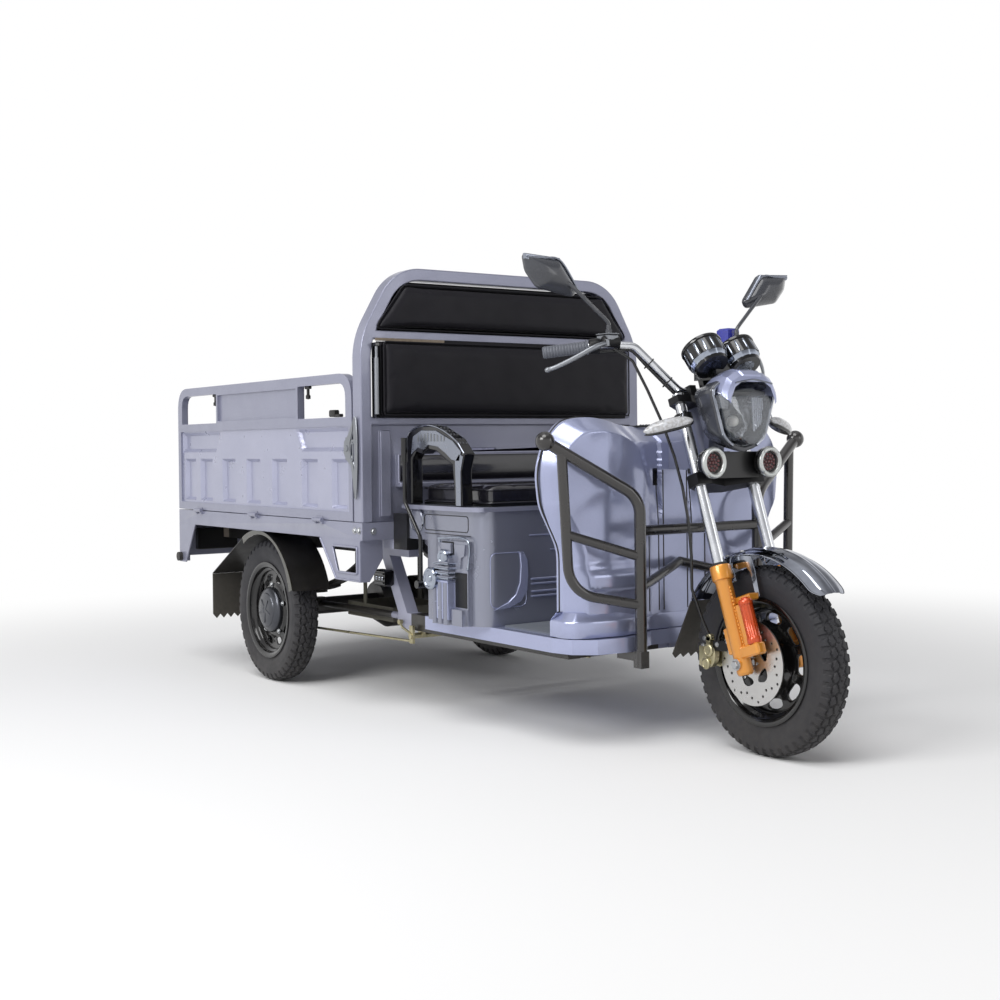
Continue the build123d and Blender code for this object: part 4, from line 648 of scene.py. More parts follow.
class Workshop:
    """Turns shapes into pieces of the scene and keeps the frame's nodes at hand."""

    def __init__(self, frame: dict) -> None:
        """Keep the frame that the pieces are fitted to."""
        self.nodes: dict = frame["nodes"]

    def piece(self, name: str, shape: Shape, finish: Finish, body: str, smooth: float = 35.0,
              replaces: Iterable[str] = ()) -> bpy.types.Object:
        """Make a mesh object from a shape, finish it and let it ride on a body.

        Args:
            name: Plain name of the piece.
            shape: Its points and faces, in machine millimetres.
            finish: Its finish.
            body: The CAD body it moves with.
            smooth: Edges flatter than this many degrees are shaded smooth.
            replaces: CAD nodes that it stands for.

        Returns:
            The object.
        """
        mesh = bpy.data.meshes.new(name)
        mesh.from_pydata(metres(shape.points).tolist(), [], shape.faces)
        mesh.validate()
        mesh.update()
        made = bpy.data.objects.new(name, mesh)
        bpy.context.scene.collection.objects.link(made)
        self.dress(made, finish, smooth)
        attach(made, body)
        for node in replaces:
            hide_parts(node)
        LOG.info("piece %s: %d faces on %s", name, len(mesh.polygons), body)
        return made

    def dress(self, made: bpy.types.Object, finish: Finish, smooth: float = 35.0) -> None:
        """Give an object one finish and smooth shading up to an angle."""
        made.data.materials.clear()
        made.data.materials.append(finish.build())
        made.data.polygons.foreach_set("use_smooth", np.ones(len(made.data.polygons), bool))
        made.data.set_sharp_from_angle(angle=math.radians(smooth))

    def finish_node(self, node: str, finish: Finish) -> None:
        """Give a CAD node a finish in place of its plain colour."""
        made = self.nodes[node]
        material = finish.build()
        made.data.materials.clear()
        made.data.materials.append(material)
        LOG.info("finish %s on %s", finish.name, node)

    def softened(self, node: str, finish: Finish, width: float, segments: int = 2) -> bpy.types.Object:
        """Stand a copy of a CAD node with rounded edges in for it.

        The copy is merged, its flat regions are dissolved, and a bevel rounds every edge sharper
        than 30 degrees.

        Args:
            node: The CAD node.
            finish: Its finish.
            width: Width of the rounding in mm.
            segments: Steps across the rounding.

        Returns:
            The new piece.
        """
        source = self.nodes[node]
        body = source["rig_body"]
        mesh = source.data.copy()
        mesh.name = node + "_edged"
        work = bmesh.new()
        work.from_mesh(mesh)
        bmesh.ops.remove_doubles(work, verts=work.verts, dist=0.00001)
        bmesh.ops.dissolve_limit(work, angle_limit=math.radians(1.0), verts=work.verts, edges=work.edges)
        work.to_mesh(mesh)
        work.free()
        made = bpy.data.objects.new(node + "_edged", mesh)
        bpy.context.scene.collection.objects.link(made)
        self.dress(made, finish, 30.0)
        bevel = made.modifiers.new("edges", "BEVEL")
        bevel.width = width * MM
        bevel.segments = segments
        bevel.limit_method = "ANGLE"
        bevel.angle_limit = math.radians(30.0)
        bevel.use_clamp_overlap = True
        bevel.harden_normals = False
        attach(made, body)
        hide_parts(node)
        LOG.info("edged copy of %s", node)
        return made


def plate(loops: Sequence[Sequence[tuple]], depth: float) -> Shape:
    """Flat plate with holes: a filled 2-D curve turned into a mesh, from z 0 to depth.

    Args:
        loops: Outlines in mm; the first is the rim and the others are holes.
        depth: Thickness in mm.

    Returns:
        The plate.
    """
    curve = bpy.data.curves.new("plate", "CURVE")
    curve.dimensions = "2D"
    curve.fill_mode = "BOTH"
    curve.extrude = depth / 2
    for loop in loops:
        flat = np.array(loop, float)
        spline = curve.splines.new("POLY")
        spline.points.add(len(flat) - 1)
        rows = np.c_[flat, np.zeros(len(flat)), np.ones(len(flat))]
        spline.points.foreach_set("co", rows.ravel())
        spline.use_cyclic_u = True
    holder = bpy.data.objects.new("plate", curve)
    mesh = bpy.data.meshes.new_from_object(holder)
    points = np.empty(len(mesh.vertices) * 3)
    mesh.vertices.foreach_get("co", points)
    faces = [list(face.vertices) for face in mesh.polygons]
    bpy.data.objects.remove(holder)
    bpy.data.meshes.remove(mesh)
    bpy.data.curves.remove(curve)
    return Shape(points.reshape(-1, 3) + np.array([0.0, 0.0, depth / 2]), faces)


def ring_of(radius: float, count: int, centre: tuple = (0.0, 0.0), start: float = 0.0) -> np.ndarray:
    """Points evenly spaced on a circle, in degrees from start."""
    turn = math.radians(start) + np.linspace(0.0, 2 * math.pi, count, endpoint=False)
    return np.c_[centre[0] + radius * np.cos(turn), centre[1] + radius * np.sin(turn)]


def smooth_step(low: float, high: float, value: np.ndarray) -> np.ndarray:
    """0 below low and 1 above high, with a soft cubic between."""
    t = np.clip((value - low) / (high - low), 0.0, 1.0)
    return t * t * (3 - 2 * t)


# Axes of a piece whose own Z looks out of the right side, at -Y
RIGHT_SIDE = np.array([[1.0, 0.0, 0.0], [0.0, 0.0, -1.0], [0.0, 1.0, 0.0]])
OUT_FRONT = np.array([[0.0, 0.0, 1.0], [1.0, 0.0, 0.0], [0.0, 1.0, 0.0]])
LEFT_SIDE = np.array([[1.0, 0.0, 0.0], [0.0, 0.0, 1.0], [0.0, 1.0, 0.0]])


@dataclass
class Tyre:
    """Block-tread tyre: a rounded section carried round the wheel, with its grooves pressed in.

    The tread height is 1 on a block and 0 in a groove. Grooves are two zigzags that follow a
    triangle wave round the tyre, slanted sipes between them, and broad slots in the shoulders.
    """

    node: str
    body: str
    centre: tuple
    pitches: int = 46
    depth: float = 4.6
    steps_per_pitch: int = 16
    half_section: tuple = (
        (157.5, 36.5), (168.0, 36.8), (173.0, 38.6), (186.0, 42.0), (200.0, 43.6), (211.0, 43.8),
        (222.0, 43.0), (229.0, 41.6), (235.0, 39.4), (240.0, 35.6), (243.9, 29.0), (246.6, 16.0),
        (247.8, 0.0),
    )

    def section(self) -> np.ndarray:
        """Radius and Y of the section from the right bead over the crown to the left bead."""
        half = np.array([(radius, -y, 0.0) for radius, y in self.half_section])
        line = curve_through(np.vstack([half, (half * [1, -1, 1])[-2::-1]]), 400)[:, :2]
        length = np.r_[0.0, np.cumsum(np.linalg.norm(np.diff(line, axis=0), axis=1))]
        middle = length[-1] / 2
        tread = np.linspace(-62.0, 62.0, 53) + middle
        side = np.linspace(0.0, middle - 64.0, 13)
        place = np.r_[side, tread, length[-1] - side[::-1]]
        return np.c_[np.interp(place, length, line[:, 0]), np.interp(place, length, line[:, 1]),
                     place - middle]

    def grooves(self, turn: np.ndarray, across: np.ndarray) -> np.ndarray:
        """Depth share of the grooves over the tread, from 0 to 1."""
        pitch_mm = 2 * math.pi * 247.0 / self.pitches
        side = np.abs(across)
        round_it = turn + 0.5 * (across > 0)
        zigzag = 4 * np.abs((round_it % 1.0) - 0.5) - 1
        inner = 1 - smooth_step(1.6, 3.2, np.abs(side - 11.5 - 3.5 * zigzag))
        outer = 1 - smooth_step(1.8, 3.4, np.abs(side - 29.0 + 3.0 * zigzag))
        sipe = np.abs(((round_it + 0.25 + 0.012 * across) % 1.0) - 0.5) * pitch_mm
        sipes = (1 - smooth_step(1.4, 2.6, sipe)) * (side < 11.0) * 0.7
        cross = np.abs(((round_it + 0.02 * side) % 1.0) - 0.5) * pitch_mm
        crosses = (1 - smooth_step(2.4, 4.0, cross)) * (side > 11.0) * (side < 30.0)
        slot = np.abs(((round_it + 0.5) % 1.0) - 0.5) * pitch_mm
        width = 4.2 + 0.05 * (side - 30.0)
        slots = (1 - smooth_step(0.0, 1.8, slot - width)) * (side > 29.0)
        return np.maximum.reduce([inner, outer, sipes, crosses, slots])

    def build(self, shop: "Workshop") -> None:
        """Make the tyre in place of its CAD ring."""
        radius, y, across = self.section().T
        tangent = np.gradient(np.c_[radius, y], axis=0)
        tangent /= np.linalg.norm(tangent, axis=1)[:, None]
        outward = np.c_[tangent[:, 1], -tangent[:, 0]]
        count = self.pitches * self.steps_per_pitch
        step = np.arange(count)
        depth = self.grooves((step / self.steps_per_pitch)[:, None], across[None])
        reach = 1 - smooth_step(50.0, 58.0, np.abs(across))
        drop = -self.depth * depth * reach[None]
        rings = 0.5 * np.exp(-((radius - 205.0) / 1.3) ** 2) + 0.5 * np.exp(-((radius - 180.0) / 1.3) ** 2)
        drop = drop + (rings * (np.abs(across) > 60))[None]
        r = radius[None] + drop * outward[None, :, 0]
        w = y[None] + np.clip(drop * outward[None, :, 1], -6, 6)
        angle = (2 * math.pi * step / count)[:, None]
        points = np.stack([r * np.cos(angle), np.broadcast_to(w, r.shape), r * np.sin(angle)], axis=-1)
        closed = np.concatenate([points, self.bore(angle)], axis=1)
        tyre = grid(closed + np.array(self.centre), wrap_rows=True)
        shop.piece(self.node + "_tread", tyre, TYRE_COMPOUND, self.body, 28.0, [self.node])

    def bore(self, angle: np.ndarray) -> np.ndarray:
        """Two rings that close the tyre along the rim."""
        rings = []
        for y in (34.0, -34.0):
            rings.append(np.stack([157.5 * np.cos(angle), np.full_like(angle, y), 157.5 * np.sin(angle)],
                                  axis=-1))
        return np.concatenate(rings, axis=1)


@dataclass
class PressedDish:
    """Pressed wheel disc with oval windows.

    Each window lies in a cell of the ring. A cell's points slide in straight lines from the
    window's edge to the cell's border, and a ring of cells closes without seams.
    """

    inner: float
    outer: float
    profile: tuple
    windows: int = 10
    window_radius: float = 114.0
    half_long: float = 23.0
    half_wide: float = 12.0
    thick: float = 3.0
    lip: float = 3.0

    def build(self) -> Shape:
        """Both faces of the disc and the walls of its windows, about local Z."""
        corner = np.linspace(0.0, 2 * math.pi, 48, endpoint=False) + math.pi / 4
        cos, sin = np.cos(corner), np.sin(corner)
        hole_across = self.half_long * np.sign(cos) * np.abs(cos) ** 0.75
        hole_up = self.half_wide * np.sign(sin) * np.abs(sin) ** 0.75
        reach = np.maximum(np.abs(cos), np.abs(sin))
        edge_turn = math.pi / self.windows * cos / reach
        edge_up = np.where(sin > 0, self.outer - self.window_radius, self.window_radius - self.inner)
        edge_up = edge_up * sin / reach
        t = np.array([1.0, 0.8, 0.6, 0.4, 0.24, 0.12, 0.04, 0.0])[:, None]
        turn = t * edge_turn + (1 - t) * hole_across / self.window_radius
        radius = self.window_radius + t * edge_up + (1 - t) * hole_up
        rise = np.interp(radius, *np.array(self.profile, float).T)
        rise = rise + self.lip * np.clip(1 - t / 0.24, 0, 1) ** 2
        cell = np.stack([turn, radius, rise], axis=-1)
        back = cell[::-1] - np.array([0.0, 0.0, self.thick])
        sheet = np.concatenate([cell, back])
        shape = None
        for step in range(self.windows):
            angle = sheet[..., 0] + 2 * math.pi * step / self.windows
            points = np.stack([sheet[..., 1] * np.cos(angle), sheet[..., 1] * np.sin(angle),
                               sheet[..., 2]], axis=-1)
            piece = grid(points[:, ::-1])
            shape = piece if shape is None else shape + piece
        return shape


@dataclass
class FrontWheel:
    """Front wheel's stepped rim, hub and drilled brake disc."""

    centre: tuple = (WHEELBASE, 0.0, AXLE_Z)
    disc_y: float = -66.0
    disc_radius: float = 111.0

    def rim(self) -> Shape:
        """Closed ring of the rim: a lip, two steps each side and the well."""
        inside = [(167.5, -42.0), (163.0, -42.6), (155.0, -40.5), (151.0, -38.0), (149.5, -30.0),
                  (147.0, -25.0), (139.0, -20.0), (136.5, -15.0), (135.5, -10.0)]
        outside = [(168.3, -40.5), (167.3, -38.0), (158.0, -37.4), (156.6, -35.0), (154.0, -28.0),
                   (151.0, -23.0), (143.0, -17.0), (140.0, -12.0)]
        left_in = [(r, -y) for r, y in reversed(inside)]
        left_out = [(r, -y) for r, y in outside]
        loop = inside + left_in + left_out + outside[::-1]
        return lathe(loop, (0, 0, 0), (0, 1, 0), 120, closed=True)

    def hub(self) -> Shape:
        """Turned hub with flanges and a web of small ribs."""
        profile = [(8.2, -62), (22, -62), (24, -60), (24, -52), (34, -50), (36, -47), (30, -42), (27, -30),
                   (30, -12), (44, -9), (46, -6), (46, 6), (44, 9), (30, 12), (27, 30), (30, 42),
                   (24, 52), (24, 60), (22, 62), (8.2, 62)]
        return lathe(profile, (0, 0, 0), (0, 1, 0), 48, closed=True)

    def disc(self) -> Shape:
        """Disc with a scalloped spider and drilled holes in slanting rows."""
        turn = np.linspace(0, 2 * math.pi, 180, endpoint=False)
        rim = np.c_[self.disc_radius * np.cos(turn), self.disc_radius * np.sin(turn)]
        loops = [rim]
        for step in range(5):
            middle = math.radians(72 * step + 36)
            lobe = np.linspace(0, 2 * math.pi, 40, endpoint=False)
            reach = 1 + 0.12 * np.cos(3 * lobe)
            local = np.c_[13 * reach * np.cos(lobe), 21 * reach * np.sin(lobe)]
            spin = np.array([[math.cos(middle), math.sin(middle)], [-math.sin(middle), math.cos(middle)]])
            loops.append(((local + [50.0, 0.0]) @ spin)[::-1])
        for step in range(28):
            angle = 2 * math.pi * step / 28
            middle = (82.0, 91.0, 101.0, 91.0)[step % 4] * np.array([math.cos(angle), math.sin(angle)])
            loops.append(ring_of(3.7, 12, tuple(middle))[::-1])
        loops.append(ring_of(11.0, 24)[::-1])
        return plate(loops, 4.0)

    def build(self, shop: "Workshop") -> None:
        """Make the rim, hub and disc in place of the CAD ones."""
        dish = PressedDish(42.0, 137.5, ((40, 4), (60, 9), (84, 7), (100, 0), (128, 0), (138, 3)),
                           windows=9, window_radius=112.0, half_long=25.0, half_wide=13.0)
        wheel = self.rim() + self.hub() + dish.build().placed(LEFT_SIDE, (0, -2, 0))
        shop.piece("front_rim_pressed", wheel.moved(*self.centre), WHEEL_ENAMEL, "front_wheel", 30.0,
                   ["front_rim"])
        disc = self.disc().placed(RIGHT_SIDE, (WHEELBASE, self.disc_y + 2, AXLE_Z))
        carrier = lathe([(11, -64.5), (22, -64.5), (22, -60.2), (11, -60.2)], (WHEELBASE, 0, AXLE_Z),
                        (0, 1, 0), 40, closed=True)
        shop.piece("brake_disc_drilled", disc + carrier, GROUND_STEEL, "front_wheel", 30.0,
                   ["brake_disc"])
        bolts = None
        for step in range(5):
            angle = math.radians(72 * step)
            at = (WHEELBASE + 17 * math.cos(angle), self.disc_y - 2, AXLE_Z + 17 * math.sin(angle))
            head = bolt(at, (0, -1, 0), 4.5, False)
            bolts = head if bolts is None else bolts + head
        shop.piece("disc_bolts", bolts, ZINC_BOLT, "front_wheel")


@dataclass
class RearWheel:
    """Rear wheel's stepped rim, pressed dish, wheel nuts, drum and domed hub cap."""

    side: int = -1

    def build(self, shop: "Workshop") -> None:
        """Make the wheel in place of the CAD rim."""
        name = "right" if self.side < 0 else "left"
        body = "rear_wheel_" + name
        dish = PressedDish(76.0, 137.5, ((74, 20), (88, 19), (98, 12), (118, 9), (138, 12)),
                           windows=10, window_radius=112.0, half_long=17.0, half_wide=12.0)
        axes = RIGHT_SIDE if self.side < 0 else LEFT_SIDE
        rim = FrontWheel().rim()
        drum = lathe([(14.2, -56), (88, -56), (90, -54), (90, -20), (88, -18), (74, -18), (74, 18),
                      (78, 20), (14.2, 20)], (0, 0, 0), (0, self.side, 0), 64, closed=True)
        wheel = rim + drum + dish.build().placed(axes, (0, 0, 0))
        place = (0.0, self.side * HALF_TRACK, AXLE_Z)
        shop.piece("rear_rim_pressed_" + name, wheel.moved(*place), WHEEL_ENAMEL, body, 30.0,
                   ["rear_rim_" + name])
        dome = [(79, 17), (80, 20), (79, 30), (75, 36), (64, 42), (60, 43), (58, 46), (48, 49), (30, 50.5),
                (12, 51), (0.3, 51)]
        cap = lathe([(70, 16)] + dome, place, (0, self.side, 0), 64)
        for step in range(5):
            turned = math.radians(72 * step + 54)
            spin = np.array([[math.cos(turned), -math.sin(turned), 0], [math.sin(turned), math.cos(turned), 0],
                             [0, 0, 1.0]])
            rib = prism([(8, -8), (40, -3), (44, 0), (40, 3), (8, 8)], 4.0, 1.5).placed(spin, (0, 0, 48.6))
            cap = cap + rib.placed(axes, place)
        shop.piece("hub_cap_" + name, cap, HUB_CAP_ENAMEL, body)
        nuts = None
        for step in range(5):
            angle = math.radians(72 * step + 18)
            at = (88 * math.cos(angle), self.side * (HALF_TRACK + 20), AXLE_Z + 88 * math.sin(angle))
            nut = bolt(at, (0, self.side, 0), 7.0)
            nuts = nut if nuts is None else nuts + nut
        shop.piece("wheel_nuts_" + name, nuts, ZINC_BOLT, body)


@dataclass
class Cushion:
    """Padded cushion, blown up as cloth from a slightly smaller block, with piping on its seams.

    Attributes:
        node: CAD solid that it stands for.
        body: Body it moves with.
        outline: Corners of the sewn panel as (across, up) points, anticlockwise.
        depth: Start and end of the block along the padding's direction.
        axes: Matrix from (across, up, out) to the machine's axes.
        inset: How much smaller the block starts.
        cap: Farthest that a point may move, in mm.
    """

    node: str
    body: str
    outline: tuple
    depth: tuple
    axes: np.ndarray
    finish: Finish
    inset: float = 4.0
    cap: float = 8.0
    fill: float = 0.7
    voxel: float = 6.0
    rounding: float = 9.0
    pressure: float = 4.0
    piping: float = 2.4

    def rounded(self, inset: float) -> np.ndarray:
        """Outline drawn in by an inset and with its corners rounded by a quadratic arc."""
        flat = np.array(self.outline, float)
        ahead = np.roll(flat, -1, axis=0) - flat
        ahead /= np.linalg.norm(ahead, axis=1)[:, None]
        outward = np.stack([ahead[:, 1], -ahead[:, 0]], axis=1)
        before = np.roll(outward, 1, axis=0)
        mean = outward + before
        mean /= (mean * outward).sum(axis=1)[:, None]
        flat = flat - mean * inset
        back = np.roll(ahead, 1, axis=0)
        t = np.linspace(0, 1, 6)[None, :, None]
        start = (flat - back * self.rounding)[:, None]
        end = (flat + ahead * self.rounding)[:, None]
        corner = flat[:, None]
        return ((1 - t) ** 2 * start + 2 * t * (1 - t) * corner + t ** 2 * end).reshape(-1, 2)

    def block(self) -> Shape:
        """Starting block whose front rim is drawn in and rounded."""
        low, high = self.depth
        rows = []
        for inset, place in ((0.5, low), (0.0, low + 3), (0.0, high - self.inset - 9),
                             (1.5, high - self.inset - 4), (5.0, high - self.inset - 0.8),
                             (10.0, high - self.inset)):
            line = self.rounded(self.inset + inset)
            rows.append(np.c_[line, np.full(len(line), place)])
        return grid(np.stack(rows), caps=True).placed(self.axes, (0, 0, 0))

    def seam(self, inset: float, out: float) -> Shape:
        """Piping along the panel's outline, at a height over its back."""
        line = self.rounded(inset)
        loop = np.c_[line, np.full(len(line), out)]
        closed = np.vstack([loop, loop[:1]])
        length = np.r_[0.0, np.cumsum(np.linalg.norm(np.diff(closed, axis=0), axis=1))]
        place = np.linspace(0.0, length[-1], 260)
        even = np.stack([np.interp(place, length, closed[:, k]) for k in range(3)], axis=1)
        return tube(even @ self.axes.T, self.piping, 8, ends=False)

    def blow(self, made: bpy.types.Object) -> None:
        """Remesh the block, run the cloth for twenty frames and cap how far each point moved."""
        even = made.modifiers.new("even", "REMESH")
        even.mode = "VOXEL"
        even.voxel_size = self.voxel * MM
        self.bake(made)
        rest = np.empty(len(made.data.vertices) * 3)
        made.data.vertices.foreach_get("co", rest)
        cloth = made.modifiers.new("air", "CLOTH")
        cloth.settings.use_pressure = True
        cloth.settings.uniform_pressure_force = self.pressure
        cloth.settings.effector_weights.gravity = 0.0
        cloth.settings.tension_stiffness = 12.0
        cloth.settings.compression_stiffness = 12.0
        cloth.settings.bending_stiffness = 0.6
        cloth.point_cache.frame_end = 20
        scene = bpy.context.scene
        for frame in range(1, 21):
            scene.frame_set(frame)
        self.bake(made)
        scene.frame_set(1)
        blown = np.empty_like(rest)
        made.data.vertices.foreach_get("co", blown)
        move = (blown - rest).reshape(-1, 3)
        length = np.linalg.norm(move, axis=1)[:, None]
        limit = self.cap * MM
        move *= limit * np.tanh(length / limit) / np.maximum(length, 1e-9)
        local = (rest.reshape(-1, 3) + move) / MM + np.array([MIDDLE_X, 0, 0])
        local = local @ self.axes
        local[:, 2] = np.clip(local[:, 2], self.depth[0], self.depth[1] + 5.0)
        made.data.vertices.foreach_set("co", metres(local @ self.axes.T).ravel())
        made.data.update()

    def bake(self, made: bpy.types.Object) -> None:
        """Turn the object's modifiers into its mesh."""
        bpy.context.view_layer.update()
        graph = bpy.context.evaluated_depsgraph_get()
        mesh = bpy.data.meshes.new_from_object(made.evaluated_get(graph))
        old = made.data
        made.modifiers.clear()
        made.data = mesh
        bpy.data.meshes.remove(old)

    def build(self, shop: "Workshop") -> None:
        """Make the cushion and its piping in place of the CAD solid."""
        made = shop.piece(self.node + "_padded", self.block(), self.finish, self.body, 180.0, [self.node])
        self.blow(made)
        shop.dress(made, self.finish, 180.0)
        fine = made.modifiers.new("fine", "SUBSURF")
        fine.levels = 1
        fine.render_levels = 1
        seams = self.seam(self.inset - 1.5, self.depth[1] - 10.0)
        seams += self.seam(self.inset - 1.5, self.depth[0] + 4.0)
        shop.piece(self.node + "_piping", seams, self.finish, self.body, 60.0)


def round_corners(points: Sequence[tuple], cuts: Sequence[float], steps: int = 6) -> np.ndarray:
    """Closed outline whose corners are quadratic arcs that start a cut's length before them."""
    flat = np.array(points, float)
    ahead = np.roll(flat, -1, axis=0) - flat
    ahead /= np.linalg.norm(ahead, axis=1)[:, None]
    back = np.roll(ahead, 1, axis=0)
    cut = np.broadcast_to(np.array(cuts, float), (len(flat),))[:, None]
    t = np.linspace(0, 1, steps)[None, :, None]
    start = (flat - back * cut)[:, None]
    end = (flat + ahead * cut)[:, None]
    return ((1 - t) ** 2 * start + 2 * t * (1 - t) * flat[:, None] + t ** 2 * end).reshape(-1, 2)


def even_loop(loop: np.ndarray, count: int) -> np.ndarray:
    """The same closed outline with its points evenly spaced."""
    closed = np.vstack([loop, loop[:1]])
    length = np.r_[0.0, np.cumsum(np.linalg.norm(np.diff(closed, axis=0), axis=1))]
    place = np.linspace(0.0, length[-1], count, endpoint=False)
    return np.stack([np.interp(place, length, closed[:, k]) for k in range(closed.shape[1])], axis=1)


def mirrored_outline(half: Sequence[tuple]) -> list:
    """Right half of an outline, from bottom to top, followed by its mirror image back down."""
    ends = (0 if half[0][0] else 1, len(half) if half[-1][0] else len(half) - 1)
    return list(half) + [(-y, z) for y, z in reversed(half[ends[0]:ends[1]])]


# Axes of the raked fork: across the legs, along Y and up the legs
FORK_AXES = np.array([[math.cos(RAKE), 0.0, -math.sin(RAKE)], [0.0, 1.0, 0.0],
                      [math.sin(RAKE), 0.0, math.cos(RAKE)]])
FRONT_AXLE = (WHEELBASE, 0.0, AXLE_Z)


@dataclass
class LegShield:
    """Moulded leg shield: a sculpted front with two humps over a waist, on a rounded plinth.

    A point is C + s (O - C), with O on the outline, C the middle and s from 0 to 1. Its depth is
    the plan's bulge less a chamfer near the rim, a hollow below each hump, and a drum low down.
    """

    edge: tuple = ((372, 299), (371, 533), (400, 590), (432, 650), (444, 749), (412, 833), (367, 879),
                   (310, 891), (250, 886), (178, 866), (60, 864))
    cuts: tuple = (4, 30, 22, 24, 42, 30, 24, 28, 30, 34, 20)
    plan: tuple = ((0, 1586), (60, 1586), (95, 1591), (130, 1604), (170, 1614), (215, 1619), (265, 1619),
                   (325, 1610), (380, 1597), (420, 1583), (462, 1562))
    rear: float = 1520.5
    wall: float = 5.0
    chamfer: tuple = (42.0, 50.0)
    middle: tuple = (0.0, 600.0)

    def outline(self, count: int = 320) -> np.ndarray:
        """Even points of the outline in Y and Z."""
        full = mirrored_outline(self.edge)
        cuts = list(self.cuts) + list(self.cuts)[::-1]
        return even_loop(round_corners(full, cuts), count)

    def front(self, y: np.ndarray, z: np.ndarray) -> np.ndarray:
        """X of the sculpted front at points of Y and Z, away from the rim."""
        side = np.abs(y)
        fine = np.linspace(0, 470, 471)
        rough = np.interp(fine, *np.array(self.plan, float).T)
        kernel = np.hanning(41) / np.hanning(41).sum()
        smooth = np.convolve(np.r_[rough[40:0:-1], rough, np.full(40, rough[-1])], kernel, "same")[40:-40]
        x = np.interp(side, fine, smooth)
        valley = 70 + 85 * smooth_step(620, 880, z)
        x = x - 9 * (1 - smooth_step(valley - 26, valley + 26, side)) * smooth_step(560, 700, z)
        crown = smooth_step(0.0, 1.0, 1.15 - ((side - 285) / 150) ** 2 - ((z - 800) / 120) ** 2)
        hollow = smooth_step(0.0, 1.0, 1.1 - ((side - 262) / 128) ** 2 - ((z - 598) / 96) ** 2)
        drum = smooth_step(418, 430, z) * (1 - smooth_step(462, 482, z))
        drum = drum * smooth_step(128, 158, side) * (1 - smooth_step(318, 350, side))
        waist = smooth_step(484, 500, z) * (1 - smooth_step(500, 560, z)) * smooth_step(110, 170, side)
        x = x - 3 + 3 * crown - 10 * hollow + 12 * drum - 5 * waist
        return np.where(side < 52, np.maximum(x, 1583.5), x)

    def shell(self) -> Shape:
        """Outer and inner skins joined along the rear rim."""
        rim = self.outline()
        centre = np.array(self.middle)
        reach = rim - centre
        ahead = np.roll(rim, -1, axis=0) - np.roll(rim, 1, axis=0)
        ahead /= np.linalg.norm(ahead, axis=1)[:, None]
        square = np.abs(reach[:, 0] * ahead[:, 1] - reach[:, 1] * ahead[:, 0])
        share = np.r_[np.linspace(0.02, 0.80, 40), np.linspace(0.815, 0.985, 22), 0.992, 0.997, 1.0]
        flat = centre + share[:, None, None] * reach[None]
        away = (1 - share)[:, None] * square[None]
        width, drop = self.chamfer
        lean = drop * np.clip(1 - away / width, 0, 1) ** 1.06
        x = self.front(flat[..., 0], flat[..., 1]) - lean
        outer = np.stack([x, flat[..., 0], flat[..., 1]], axis=-1)
        edge = np.stack([np.full(len(rim), self.rear), rim[:, 0], rim[:, 1]], axis=-1)[None]
        inside = centre + reach * (1 - self.wall / np.maximum(square, 60.0))[:, None]
        lip = np.stack([np.full(len(rim), self.rear), inside[:, 0], inside[:, 1]], axis=-1)[None]
        inner_share = share[::-3]
        deep = centre + inner_share[:, None, None] * (inside - centre)[None]
        depth_x = np.stack([np.interp(inner_share, share, x[:, k]) for k in range(0, x.shape[1])], axis=1)
        inner = np.stack([depth_x - self.wall, deep[..., 0], deep[..., 1]], axis=-1)
        rows = np.concatenate([outer, edge, lip, inner])
        return grid(rows[:, ::-1], caps=True)

    def plinth(self) -> Shape:
        """Ring round the foot: its profile slopes out from the shell and drops to the floor."""
        half = [(self.rear + 0.5, -396), (1575, -396), (1612, -378), (1626, -340), (1640, -240), (1630, -196),
                (1585, -104), (1584, 0)]
        loop = half + [(x, -y) for x, y in reversed(half[:-1])]
        cuts = [0.5, 12, 14, 16, 20, 22, 16, 1, 16, 22, 20, 16, 14, 12, 0.5]
        plan = round_corners(loop, cuts)
        ahead = np.roll(plan, -1, axis=0) - np.roll(plan, 1, axis=0)
        ahead /= np.linalg.norm(ahead, axis=1)[:, None] + 1e-9
        outward = np.stack([ahead[:, 1], -ahead[:, 0]], axis=1)
        profile = ((-26, 366), (-22, 362), (-3, 346), (-1, 343), (0, 339), (0, 302), (-1.5, 300), (-30, 300))
        rows = [np.c_[np.maximum(plan[:, 0] + out * outward[:, 0], self.rear), plan[:, 1] + out * outward[:, 1],
                      np.full(len(plan), z)] for out, z in profile]
        return grid(np.stack(rows)[::-1], caps=True)

    def trim(self) -> Shape:
        """Rubber edging between the front skin and the rear skin."""
        rim = self.outline(260)
        keep = rim[(rim[:, 1] > 345)]
        start = int(np.argmax(np.linalg.norm(np.diff(np.vstack([keep, keep[:1]]), axis=0), axis=1))) + 1
        run = np.roll(keep, -start, axis=0)
        path = np.c_[np.full(len(run), self.rear + 12.0), run]
        return tube(path, 2.6, 8)

    def seams(self) -> Shape:
        """Dark joints down the middle of the shield, laid on its surface."""
        shape = None
        for y, low, high in ((44, 352, 742), (62, 352, 700), (104, 352, 560), (126, 352, 470)):
            z = np.linspace(low, high, 40)
            line = np.full(40, float(y))
            path = np.stack([self.front(line, z) - 0.6, line, z], axis=1)
            seam = tube(path, 2.2, 8).both()
            shape = seam if shape is None else shape + seam
        return shape

